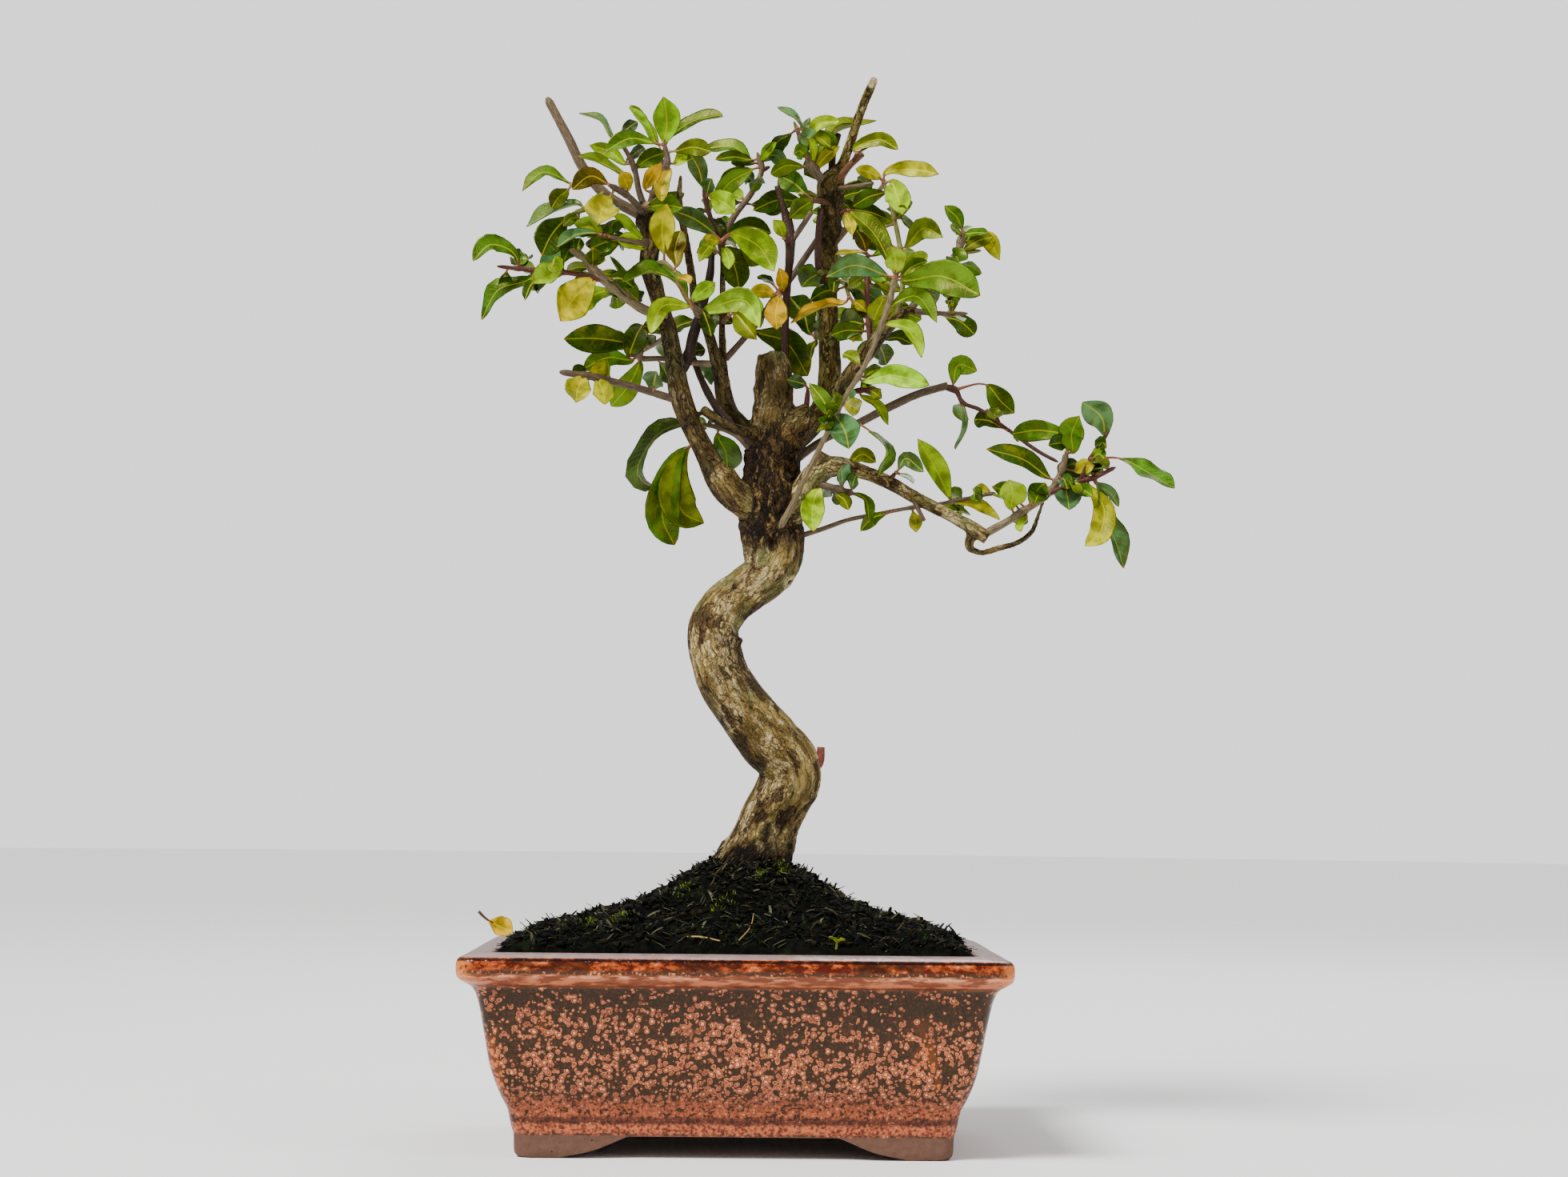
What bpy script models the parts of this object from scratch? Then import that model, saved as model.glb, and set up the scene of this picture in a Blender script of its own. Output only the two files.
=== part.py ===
"""A pomegranate bonsai about 0.41 m tall in a glazed rectangular pot, with its soil and leaves.

Sizes in the tables are millimetres, and the finished model is in metres with +Z up.

The tree is drawn as it is seen from the front. A point of a branch or a leaf is given by how far
right of the pot's middle (u) and how high above the floor (v) it is seen on a flat sheet that hangs
through the trunk, square to the line of sight, and by how deep it lies behind that sheet's middle.
spot() turns the three into a place in space.
"""

import math
import random

import bmesh
import bpy
import numpy as np
from mathutils import Vector
from mathutils.bvhtree import BVHTree

MM = 0.001

# The eye that the tree is drawn from, in mm and degrees
EYE_DISTANCE = 1030.0
EYE_HEIGHT = 127.9
SHEET_MIDDLE = (17.0, 212.0)
EYE_PITCH = 4.65
EYE_TURN = 0.95
EYE_ROLL = 0.6

# The pot
RIM_HALF_WIDTH = 100.0
DEPTH_LESS = 22.5
CORNER_RADIUS = 6.0
CORNER_STEPS = 2
FLOOR_TOP = 15.5
ARCH_TOP = 8.1
FOOT_HALF_WIDTH = 79.8
DRAIN_X = 40.0
DRAIN_RADIUS = 8.0
MESH_SIDE = 28.0
MESH_THICK = 1.2
GAP = 0.3
ROOM = 0.35
TRUNK_SIDES = 4
WELD = 0.000002
TRIES = 5

# The soil
SOIL_EDGE = 73.4
SOIL_STEPS = 28
SOIL_LEVELS = (FLOOR_TOP + GAP, 20.0, 30.0, 45.0, 60.0)
HEAP_RADIUS = 60.0
TRUNK_AT = 5.0
BURIED_ROWS = 5

# The weed seedling and the fallen leaf
SEEDLING_AT = (36.3, -62.0, 75.6)
SEEDLING_HEIGHT = 4.0
SEEDLING_DEPTH = 5.0
LEAFLETS = ((-3.0, -1.2, 1.5), (3.0, -0.8, 0.6))
LEAFLET_WIDTH = 2.4
FALLEN_RIB = ((-95.6, -25.0, 85.9), (-92.8, -25.5, 83.6), (-88.5, -25.5, 81.4), (-83.5, -25.0, 79.6))
FALLEN_WIDTH = 7.4
FALLEN_TURN = 0.5

# Leaf proportions
LEAF_THICK = 1.2
STALK_THICK = 1.3
THIN_HALF = 0.65
FOLD = 0.22
LEAST_LEAF = 14.0
LEAST_FULLNESS = 0.27
MOST_SWING = 26.0
ARCH_LIFT = 0.07
SHORT_LEAF = 20.0
CLEARANCE = 0.45
STALK_FREE = 3.0
END_FAVOUR = 1.2
LONG_SHARES = (0.1, 0.42, 0.78)
LONG_FULLNESS = (0.17, 0.94, 0.86)
SHORT_SHARES = (0.14, 0.58)
SHORT_FULLNESS = (0.2, 0.96)
SWINGS = (0, -5, 5, -9, 9, -14, 14, -19, 19, -25, 25, -31, 31)

# Half-width and height of the pot's outline, from the foot up over the rim and down to the floor
OUTLINE = (
    (78.2, 0.0), (79.8, 1.6), (79.8, 8.1), (80.7, 10.3), (81.3, 13.7), (82.0, 17.7), (83.8, 21.0),
    (85.7, 25.4), (87.8, 31.3), (89.0, 37.2), (90.5, 46.0), (92.6, 57.5), (94.4, 61.8), (97.0, 63.4),
    (99.3, 64.9), (100.0, 67.0), (99.9, 70.5), (99.1, 72.6), (95.0, 73.6), (90.5, 74.3), (88.7, 73.9),
    (87.7, 72.4), (86.2, 60.0), (84.6, 45.0), (81.5, 30.0), (76.5, 19.5), (71.0, FLOOR_TOP),
)
# The arch between two feet: distance from the corner and height
ARCH = ((13.8, -2.0), (14.8, 0.0), (27.8, 2.3), (33.8, 4.7), (38.3, 6.7), (41.8, ARCH_TOP))

# Height of the soil above its edge, by share of the way from the trunk to the wall
SOIL_RINGS = (
    (1.0, 0.0), (0.97, 2.2), (0.9, 5.4), (0.78, 9.0), (0.62, 14.0), (0.48, 19.6),
    (0.36, 25.2), (0.26, 29.8), (0.17, 32.8), (0.1, 33.4),
)

# Woody pieces: rows of u, v, depth and diameter
TRUNK = (
    (5.4, 40, 2, 20), (4, 70, 1, 27), (3, 92, 0, 33), (4.6, 104, 0, 29.6), (8.2, 113, 0, 25.6),
    (11.8, 123.5, -1, 24), (17, 132.5, -3, 24), (19.8, 139, -4, 23.6), (17.6, 145.5, -5, 23.5),
    (12.2, 151.7, -6, 23.5), (3, 164, -8, 22.5), (-6.4, 176.5, -8, 21.5), (-10, 189, -6, 20.5),
    (-10.3, 196.7, -4, 19), (-6.4, 204, -2, 18.3), (3, 212, 0, 18), (9.8, 217.3, 1, 19),
    (12.8, 226, 2, 23), (12.2, 234, 3, 23.5), (11.5, 241.6, 3, 25), (12.2, 254, 3, 21.5),
    (12.8, 266.3, 3, 21), (12.8, 278.8, 2, 16.2), (13, 291.3, 1, 15), (12.4, 299, 1, 13), (11.6, 303, 1, 10),
)
LIMBS = {
    "left_limb": (
        (6, 241.6, -2, 10), (-6.4, 251.5, -5, 11), (-12.7, 263.3, -7, 8.6), (-19.8, 277.3, -10, 8.1),
        (-23.5, 288, -13, 8.3), (-25.7, 300.5, -15, 7.8), (-28, 313, -17, 7), (-32, 325.3, -18, 7),
        (-35.3, 337.7, -18, 7.8), (-34.4, 350, -17, 8.6), (-35.8, 357.5, -16, 9.2), (-36.4, 361.5, -16, 6.5),
    ),
    "left_limb_stub": ((4, 243, -2, 11), (-4, 250.5, -5, 12.4), (-7.5, 255.6, -6, 12)),
    "left_dark": (
        (-23.5, 294.5, -12, 4), (-20.4, 300.5, -9, 4.2), (-18.2, 309.8, -4, 4.2), (-14.8, 320.7, 0, 3.7),
        (-11.5, 334.6, 3, 3.1), (-11, 341.5, 5, 2.4),
    ),
    "middle_limb": (
        (4, 271.5, 4, 7), (-6.5, 285, 3, 6.2), (-8, 294.3, 0, 5.6), (-10.2, 303.6, -6, 5),
        (-13.6, 314.5, -13, 4.3), (-16.4, 319.7, -17, 4), (-18.5, 331.5, -10, 3.4), (-21, 347, -3, 3.1),
        (-23.5, 361, 0, 2.8), (-23, 372.4, 1, 2),
    ),
    "middle_upright": (
        (3.5, 270, 0, 4.6), (-4.3, 285, 8, 4), (-6.5, 299, 6, 3.4), (-7, 312.9, 2, 2.9),
        (-6.8, 328.4, 0, 2.6), (-7, 343.9, -2, 2.4), (-7.6, 348.5, -3, 2.2),
    ),
    "middle_dark": (
        (8, 266.5, -1, 3.8), (2, 270, -4, 3.6), (-8, 280.4, -6, 3.2), (-14.2, 291.2, -2, 2.9),
        (-18.3, 301.5, 2, 2.6),
    ),
    "middle_stub": ((9, 271, 0, 4.6), (3, 272.5, -5, 4.2), (-6.5, 275.7, -9, 3.9), (-14.8, 281.6, -12, 3.7)),
    "diagonal": (
        (-5.5, 301, 6, 2.7), (1.3, 308.6, 9, 2.6), (7.5, 316, 12, 2.6), (13, 324, 15, 2.6),
        (19.9, 332.4, 18, 2.6), (26, 341.4, 20, 2.7), (29.8, 347, 21, 2.6),
    ),
    "centre_twig": (
        (14.5, 290, 2, 4), (17.2, 300, 5, 3.2), (17.4, 309.8, 4, 3), (18.4, 331.5, -4, 3.1),
        (19.3, 340.8, -7, 3.5), (19.3, 347.6, -7, 4.4), (18, 355.7, -7, 3.8), (16.2, 361, -8, 2.6),
        (14.3, 368, -9, 2.3),
    ),
    "centre_side": ((19.5, 346, -7, 2.6), (22.4, 350, -8, 2.3), (27.7, 357.9, -11, 2.1)),
    "right_limb": (
        (17, 266, 3, 9), (24.6, 272, 5, 9), (32.3, 283.5, 7, 8.8), (34.8, 294.3, 9, 9.3),
        (34.5, 306.7, 10, 8.4), (33.9, 325.3, 10, 7.8), (34.2, 337.7, 10, 7.8), (34.8, 350, 9, 8.1),
        (35.4, 361, 8, 8.6), (35.4, 368.7, 7, 11), (39.1, 375, 6, 4.8), (42.5, 384.2, 4, 4),
        (47.8, 399.7, 2, 3.7), (52.3, 410, 0, 3.4),
    ),
    "right_thin": ((33.5, 327, 8, 3), (30.6, 334.6, 3, 2.7), (30.2, 347, 2, 2.7), (31.2, 359, 2, 2.5)),
    "knot_stub": ((37, 368, 6, 3.6), (41, 374.2, 1, 3), (47.2, 380.5, -4, 2.9)),
    "knot_back_stub": ((35.6, 371, 8, 3.2), (36, 381.1, 12, 2.8), (37.9, 387.9, 14, 2.8)),
    "knot_thin": ((37, 367, 5, 2), (41.6, 367.4, 0, 1.8), (51.5, 369, -6, 1.6)),
    "burl": ((14, 269, 2, 18), (21, 274.5, 1, 14.5), (28.4, 281, 0, 9)),
    "rising_limb": (
        (30, 277, 3, 6.4), (35.5, 282, 0, 6.2), (41.6, 293.7, -8, 6.2), (49.4, 303.6, -14, 6.2),
        (54, 309.8, -17, 5.6), (60.2, 316, -20, 4.4), (64.9, 319.7, -22, 3.3), (69, 319.2, -24, 2.5),
    ),
    "level_limb": (
        (22, 262.5, 5, 3.6), (32.3, 269.5, 9, 3), (46.3, 276.3, 14, 3.1), (57.1, 281.9, 18, 3.4),
        (69.5, 287.5, 20, 3.4), (80.4, 290.6, 20, 3.2),
    ),
    "low_limb": (
        (15, 236, -1, 9), (23, 244.5, -3, 10), (27.5, 254, -5, 10), (33, 258.7, -6, 8.8),
        (38.5, 259.3, -7, 7.4), (49.4, 256.5, -9, 5.4), (58.7, 252.5, -11, 5.3), (69.5, 246.3, -13, 5),
        (81.9, 240, -15, 5), (91.2, 234.8, -16, 5.3), (95.9, 231.6, -16, 5.6),
    ),
    "low_limb_stub": ((28, 254, -5, 9), (33.5, 264, -7, 7.4)),
    "low_limb_hook": (
        (90.4, 234.5, -15, 4.6), (88.7, 228, -12, 3.6), (92.8, 226, -9, 2.6), (100.5, 227.7, -6, 2.5),
        (108.3, 230.2, -4, 2.3), (112.9, 233.9, -4, 2.3), (115.4, 240, -6, 2), (117.9, 247, -9, 1.8),
    ),
    "low_stub": ((67, 246.5, -13, 2), (71.3, 238.3, -15.5, 1.6)),
    "red_stub": ((25, 139, -4, 3), (29.4, 144.5, -5, 2.4), (29.9, 150, -5, 2.2)),
}

# Leafy shoots: stems as the woody pieces are given, then leaves.
# A leaf has a tone, its width as seen, a side that its tip leans to (-1 to the eye, 1 away from it),
# and the points that its rib is seen to pass through, from the stalk to the tip.
SHOOTS = {
    "shoot_crown_left": (
        (
            (
                (-35.4, 359, -17, 3.4), (-31.3, 370.3, -19, 2.8), (-28.2, 378.6, -19, 2.4),
                (-29.4, 383.8, -19, 2),
            ),
        ),
        (
            ("lime", 2.6, 1, (-31.5, 384), (-37.5, 392.5), (-42.7, 399.1)),
            ("lime", 9.3, -1, (-29.7, 384.2), (-29.7, 402.5)),
            ("green", 4.3, -1, (-27.8, 385.8), (-18, 393.3), (-6.8, 395.6)),
            ("green", 5.6, -1, (-32.2, 384.2), (-42, 386.5), (-52.3, 381.7)),
            ("gold", 5.2, -1, (-36.5, 366.2), (-30.6, 376.4)),
            ("gold", 5.2, -1, (-28.2, 375.4), (-30.3, 361.6)),
            ("lime", 5.6, 1, (-26.6, 376.5), (-14.2, 382.7)),
        ),
    ),
    "shoot_spike_left": (
        (
            (
                (-36.8, 359, -14, 3), (-39.2, 366, -12, 2.6), (-40.9, 374.3, -12, 2.2),
                (-44.5, 382, -14, 1.8), (-47.2, 385.4, -15, 1.6),
            ),
        ),
        (
            ("teal", 1.5, 1, (-48.3, 385.8), (-53.5, 393.5), (-62.3, 396.9)),
            ("deep", 4.3, 1, (-46.4, 386.7), (-39.6, 393)),
            ("lime", 5, 1, (-43, 376.5), (-49.9, 381), (-58.2, 383.8)),
            ("deep", 3.9, 1, (-43.3, 377.5), (-37.5, 382.6)),
            ("green", 6.2, 1, (-40.6, 374.9), (-28.2, 381.1)),
        ),
    ),
    "shoot_knot_left": (
        (((-36.8, 357, -19, 2.8), (-44, 364.4, -26, 2.4), (-50.8, 368.4, -31, 2)),),
        (
            ("olive", 2.5, -1, (-44.5, 369), (-54, 377), (-63, 379)),
            ("amber", 6.8, -1, (-50.8, 368.1), (-57.5, 371.8), (-65, 366.8)),
            ("yellow", 11.2, -1, (-49.9, 364.4), (-55.1, 352.3)),
            ("gold", 5.4, -1, (-43.7, 365.6), (-46.4, 373.4)),
        ),
    ),
    "shoot_long_cut_left": (
        (
            (
                (-36.4, 355.5, -15, 4.2), (-43, 359, -15, 4.3), (-51.4, 364, -17, 4.2),
                (-59.2, 372.4, -19, 4), (-67, 387.3, -22, 3.7), (-74.9, 402.2, -24, 3.2),
            ),
            ((-59, 372, -20, 2), (-65, 368.5, -27, 1.6)),
            ((-53, 365.2, -19, 2.2), (-59, 359.5, -25, 1.8), (-65.5, 357, -29, 1.5)),
        ),
        (
            ("green", 3.6, -1, (-66, 369), (-76, 373.4), (-84.5, 366.2)),
            ("olive", 6.2, -1, (-66.2, 367), (-73, 359.4)),
            ("teal", 3.1, 1, (-61, 359.8), (-71, 359.2), (-83, 352.3)),
            ("deep", 10.8, -1, (-66.3, 356.3), (-77.1, 340.8)),
            ("olive", 4, -1, (-62.5, 357), (-68, 352.8)),
        ),
    ),
    "shoot_inner_left": (
        (((-34.6, 346, -18, 2.8), (-39, 346, -23, 2.2), (-45.2, 347, -27, 1.8), (-53.5, 349, -31, 1.5)),),
        (
            ("lime", 3.4, -1, (-36.5, 346.5), (-43, 352.5), (-49.5, 356.8)),
            ("lime", 5.6, -1, (-37, 344.5), (-47.8, 347.2)),
            ("deep", 7.2, -1, (-45.2, 347), (-58.2, 343.6)),
            ("teal", 3.2, -1, (-54.5, 349.2), (-63, 349.6), (-71, 345)),
        ),
    ),
    "shoot_gold_left": (
        (((-34.5, 337, -19, 2.4), (-29.5, 338, -23, 2), (-25.5, 335, -25, 1.7)),),
        (
            ("yellow", 8.7, -1, (-29.4, 341), (-28.4, 361)),
            ("amber", 7.2, 1, (-25.3, 336), (-23, 351)),
            ("gold", 3.1, -1, (-24.5, 333), (-19.2, 330.5)),
        ),
    ),
    "shoot_top_teal": (
        (((-7.4, 345.5, -2, 2.4), (-11.7, 356.3, -9, 2), (-14.2, 367, -14, 1.6)),),
        (
            ("teal", 6.4, -1, (-14.2, 367.2), (-19.8, 381)),
            ("green", 6.4, -1, (-12, 362), (-3, 370), (5.3, 374.3)),
            ("lime", 8.6, -1, (-12.7, 364.1), (-1.6, 357.5)),
        ),
    ),
    "shoot_top_middle": (
        (
            (
                (-7.2, 346, -2, 3), (-3, 355, 5, 2.6), (6, 368, 9, 2.4), (8.4, 374.3, 10, 2.2),
                (6.6, 381, 10, 1.7),
            ),
            ((8, 373.8, 10, 2), (11.6, 375.4, 10, 1.8)),
        ),
        (
            ("green", 4.5, 1, (6.3, 376.8), (-2, 383), (-14, 382.6)),
            ("deep", 4, -1, (5.5, 378), (-9.5, 378.4)),
            ("lime", 3.7, -1, (7.5, 376.5), (14, 384.8)),
            ("teal", 5.2, -1, (7.5, 377), (13, 380), (17.7, 373.7)),
            ("deep", 3.9, 1, (5.5, 374.6), (-8, 370)),
        ),
    ),
    "shoot_far_left": (
        (
            (
                (-28.5, 317.5, -19, 4), (-36.5, 319.7, -22, 3.8), (-46.8, 326.9, -26, 3.7),
                (-56, 334.6, -30, 3.4), (-60.7, 340.2, -31, 2.9), (-66.3, 343.3, -33, 2.4),
            ),
            (
                (-53, 331.6, -29, 2.2), (-66.9, 334.3, -34, 1.9), (-82.4, 335.5, -38, 1.7),
                (-94.2, 336.8, -40, 1.4),
            ),
        ),
        (
            ("green", 5.4, -1, (-86, 337.2), (-87, 340.8), (-96.4, 345.2), (-103.3, 338.3)),
            ("green", 5.8, 1, (-80, 334), (-94, 327.5), (-100.1, 316)),
            ("deep", 2.8, -1, (-78.4, 333.5), (-83.3, 323.4)),
            ("pale", 7.4, -1, (-69, 336.2), (-80, 330.6)),
            ("green", 6.4, 1, (-68.5, 337.7), (-63.2, 347)),
            ("olive", 4.3, 1, (-57, 336.4), (-67.5, 335)),
            ("olive", 2.4, -1, (-57.6, 336.8), (-51.8, 339)),
            ("olive", 3.4, 1, (-55, 334.5), (-45.8, 331.5)),
            ("deep", 4, 1, (-62.6, 341.3), (-62, 347.8)),
            ("yellow", 12.4, -1, (-56, 332), (-63, 326), (-70, 315.3)),
            ("lime", 7.6, 1, (-50.5, 328.5), (-63, 321)),
            ("green", 2.2, 1, (-44, 325), (-50, 341)),
        ),
    ),
    "shoot_level_left": (
        (
            (
                (-10.2, 299, -3, 2.8), (-20.4, 299.6, 0, 2.4), (-29.7, 301, -2, 2.2), (-39, 302.4, -8, 2.2),
                (-37.6, 304.5, -9, 1.8),
            ),
        ),
        (
            ("deep", 9.9, -1, (-41.5, 306), (-52, 308.5), (-68.5, 308.8)),
            ("deep", 8.2, -1, (-42, 302), (-38, 314)),
            ("green", 7, 1, (-41, 301), (-51, 301.5), (-60.7, 297)),
            ("green", 8.2, 1, (-38.8, 300.8), (-43, 291), (-49.9, 282.6)),
            ("lime", 6.4, 1, (-17.9, 299), (-17.9, 282)),
        ),
    ),
    "shoot_arched_left": (
        (((-15.8, 318, -17, 3), (-17.5, 320.6, -24, 2.6), (-18.4, 321, -28, 2.4)),),
        (
            ("green", 3.9, -1, (-18.6, 321.3), (-25, 331), (-34, 335.2), (-45.6, 331.2)),
            ("lime", 6.4, -1, (-19, 321), (-29.7, 321.6), (-34.9, 311)),
            ("lime", 5.8, -1, (-18.4, 322.5), (-9.8, 330.5)),
            ("pale", 8.8, -1, (-16, 318.6), (2, 323.3), (7.6, 313)),
            ("deep", 4.6, 1, (-15.6, 319.6), (-11.1, 309.6)),
        ),
    ),
    "shoot_olive_middle": (
        (((-7, 315, 2, 2.2), (-4.5, 317.4, -6, 1.8)),),
        (
            ("olive", 7.6, -1, (-3.4, 318.2), (6, 308.6)),
            ("gold", 3.8, 1, (-4.4, 318.6), (2.5, 320.6)),
        ),
    ),
    "shoot_glossy_centre": (
        (((5, 313, 11, 2.2), (4.5, 312.6, 1, 2)),),
        (("deep", 10.8, -1, (5.5, 312.4), (17, 308), (26.1, 294.3)),),
    ),
    "shoot_gold_centre": (
        (((18.3, 327.5, -7, 2.2), (15.5, 326, -12, 1.8)),),
        (
            ("gold", 8.2, -1, (15.3, 325.3), (14.3, 312.9)),
            ("gold", 4.5, -1, (16, 326.9), (15.3, 335.8)),
            ("gold", 5, -1, (14.3, 325.9), (3.5, 326.9)),
            ("deep", 2.6, 1, (13.5, 329), (7, 333)),
        ),
    ),
    "shoot_centre_fan": (
        (((-7, 342.5, -2, 2.6), (-7.4, 346.5, -9, 2.2)),),
        (
            ("teal", 7, -1, (-9.4, 348.8), (-26.6, 358.6)),
            ("deep", 7, 1, (-5.5, 348.6), (4, 352.2), (12, 349.6)),
            ("lime", 10.4, -1, (-4.5, 348.6), (6, 345.5), (13.1, 335.2)),
            ("yellow", 3.9, -1, (-7.6, 345.5), (-14.2, 347.6)),
            ("lime", 4.6, -1, (-6.6, 345), (-4.3, 335.8)),
            ("pale", 4.6, -1, (-9.6, 346), (-15.8, 339)),
            ("deep", 9.3, 1, (-6, 344), (-0.3, 327.8)),
        ),
    ),
    "shoot_deep_pair": (
        (((34, 361.5, 6, 2.6), (28, 362.5, -2, 2.1)),),
        (
            ("deep", 7.6, -1, (25, 362), (15, 362.5), (5.3, 358.6)),
            ("deep", 8.2, 1, (26.1, 364.1), (15.3, 371.8)),
            ("olive", 7.6, -1, (28.5, 361.8), (19.9, 356)),
        ),
    ),
    "shoot_lime_centre": (
        (((19.3, 345, -7, 2), (17, 347.6, -12, 1.6)),),
        (("lime", 4.4, -1, (16.8, 348), (13.2, 354.5)),),
    ),
    "shoot_crown_middle": (
        (((34, 367.5, 6, 4), (27.6, 376, 2, 3.2), (24.8, 382.7, 0, 2.4), (20.8, 393, -3, 1.4)),),
        (
            ("lime", 4.6, -1, (25.4, 385), (30, 391.8), (38.5, 393.2)),
            ("teal", 1.7, 1, (24.6, 386.7), (22.5, 393.5), (14.6, 399.1)),
            ("teal", 2.8, 1, (25.6, 386.4), (26.7, 394.4)),
            ("lime", 3, -1, (27.8, 375.6), (26.9, 387.3)),
            ("gold", 4.5, -1, (29.3, 374.3), (38.5, 383.3)),
            ("olive", 2.4, -1, (28.6, 376.5), (36, 388.5), (52.8, 392.3)),
        ),
    ),
    "shoot_crown_right": (
        (((44, 377.2, -1, 2.4), (45.5, 380.6, -7, 2)),),
        (
            ("olive", 5, -1, (44.6, 381), (54, 386), (61.1, 382.5)),
            ("green", 2.4, 1, (46.4, 381.2), (58.8, 386.8)),
        ),
    ),
    "shoot_upright_right": (
        (
            (
                (60.4, 316, -20, 2.6), (63, 330, -14, 2.1), (62.4, 340.8, -9, 2), (60.2, 353.2, -6, 1.9),
                (58, 362.5, -5, 1.8), (55.6, 369, -5, 1.6),
            ),
        ),
        (
            ("yellow", 4.6, -1, (55, 370), (44.7, 374.6)),
            ("yellow", 5.4, -1, (55.6, 371.2), (66.4, 374.3), (76.9, 372.4)),
            ("lime", 8.6, -1, (57.2, 369.5), (62.9, 356.6)),
            ("deep", 6.4, 1, (57, 365.6), (43.8, 360)),
            ("olive", 7.6, -1, (63, 343.9), (71, 351.5), (78.8, 347.9)),
            ("deep", 2.8, 1, (60.6, 356.3), (66.8, 350.6)),
        ),
    ),
    "shoot_back_right": (
        (((36.5, 356, 8, 2.6), (41.4, 358.4, 5, 1.9)),),
        (
            ("yellow", 4.4, -1, (40.5, 358.2), (43.6, 348.5)),
            ("deep", 6, -1, (42.2, 358.5), (57.2, 355)),
        ),
    ),
    "shoot_dark_right": (
        (((50.6, 305.6, -14, 2.6), (49.6, 318, -13, 2.1), (49.2, 330, -11, 1.9), (49.4, 341, -9, 1.6)),),
        (
            ("amber", 5.2, -1, (49, 342), (45.3, 350.4)),
            ("gold", 2, -1, (48.6, 341.6), (37, 341.2)),
            ("green", 3.2, -1, (50.6, 340.8), (60.2, 344)),
            ("olive", 4.5, -1, (48.4, 332.5), (41.6, 328.4)),
            ("deep", 9.3, 1, (49, 314.5), (39, 314.8)),
        ),
    ),
    "shoot_long_right": (
        (
            (
                (14, 233, -6, 3.2), (21, 246, -13, 2.4), (25.6, 256, -16.5, 2.1), (30.8, 266.4, -20, 2.1),
                (35.4, 275.7, -23, 2.1), (40, 285, -26, 2.1), (47.8, 297.4, -30, 2.1),
                (52.5, 308.3, -33, 2.1), (57.1, 320.7, -36, 2.2), (60.3, 332.6, -38, 2.3),
            ),
        ),
        (
            ("pale", 7.6, -1, (60.2, 333.6), (58.9, 344)),
            ("pale", 4.6, 1, (61.5, 334.4), (72.6, 341.4)),
            ("green", 11.8, -1, (61.2, 331.5), (78, 333), (92.8, 325.6)),
            ("green", 4.6, 1, (61.4, 332.6), (72.6, 339)),
            ("olive", 6.8, 1, (59.2, 335), (51, 351), (42.5, 358)),
            ("teal", 7.6, -1, (57.6, 333), (44, 337.2), (33.2, 332.6)),
            ("green", 4.5, 1, (58.4, 330), (49, 334.8)),
            ("olive", 7, 1, (57.2, 325), (51.8, 316)),
            ("green", 5.8, -1, (57.6, 320.9), (68, 325.5), (76.3, 315.4)),
            ("lime", 5.2, -1, (55.4, 314.5), (64, 313.2), (70.1, 301.1)),
            ("lime", 7, -1, (46.6, 292.8), (58, 294.6), (73.2, 291)),
            ("olive", 3.4, 1, (46.8, 294), (55.6, 297)),
            ("green", 5.8, 1, (35.4, 277.3), (26.7, 291.6)),
            ("lime", 2.8, 1, (34.4, 274.2), (29.8, 273.6)),
            ("teal", 10.6, -1, (37.3, 279), (42, 266.8)),
            ("green", 2.3, 1, (38.2, 279.6), (50, 273.2), (57.3, 266), (53.8, 255.4)),
            ("yellow", 6.2, 1, (39.6, 284), (46, 281)),
        ),
    ),
    "shoot_mid_right": (
        (((34, 334.5, 9, 2.4), (30, 334.2, -2, 2)),),
        (("green", 9.9, -1, (31, 334.6), (23.6, 328.4)),),
    ),
    "shoot_low_mid_right": (
        (((33.8, 308.5, 10, 2.4), (29, 309.6, 4, 2)),),
        (
            ("deep", 9.3, 1, (28.2, 310), (19, 325.2)),
            ("olive", 3, -1, (29.4, 308.6), (27, 301)),
        ),
    ),
    "shoot_gold_right": (
        (((35, 331, 9, 2.4), (40.2, 330.4, 2, 1.9), (42.2, 325, -3, 1.6)),),
        (
            ("gold", 2.8, -1, (41.6, 323.8), (32.3, 321.6), (19.9, 314.1)),
            ("gold", 6.4, -1, (43.2, 323.4), (43.8, 307.6)),
            ("gold", 3.9, -1, (43.4, 323.8), (48.9, 319)),
        ),
    ),
    "shoot_burl": (
        (((25.5, 280.5, 0, 2.6), (26.3, 289, -4, 1.9)),),
        (("teal", 5.2, -1, (25.8, 290), (18.4, 292.8)),),
    ),
    "shoot_low_left": (
        (((-17.5, 269.5, -9, 2.6), (-18.5, 267.5, 0, 2.2)),),
        (
            ("olive", 12.4, 1, (-19.2, 267), (-25.5, 252), (-22, 241.5), (-13.8, 237.3)),
            ("green", 11.8, 1, (-19.8, 267), (-29, 250), (-30, 239), (-25.4, 228.8)),
        ),
    ),
    "shoot_hook_left": (
        (((4, 266, 0, 3), (-1.5, 271.4, -6, 2.4), (-8, 274.2, -1, 2), (-14.2, 275.6, 3, 1.8)),),
        (
            (
                "deep", 5.6, 1, (-15.8, 275.7), (-29, 274), (-38, 264.5), (-40.5, 256.5),
                (-35.5, 251.3), (-31.6, 252),
            ),
            ("green", 10.6, 1, (-8.6, 272.8), (-4.8, 256.8)),
        ),
    ),
    "shoot_cut_left": (
        (((-24.5, 285, -13, 3.2), (-42, 290.3, -21, 2.8), (-56, 293.7, -26, 2.8), (-70, 295.9, -29, 2.5)),),
        (
            ("yellow", 8.9, -1, (-60.7, 294), (-63.6, 284)),
            ("yellow", 7, -1, (-55.5, 293.2), (-52.3, 283.5)),
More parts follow.
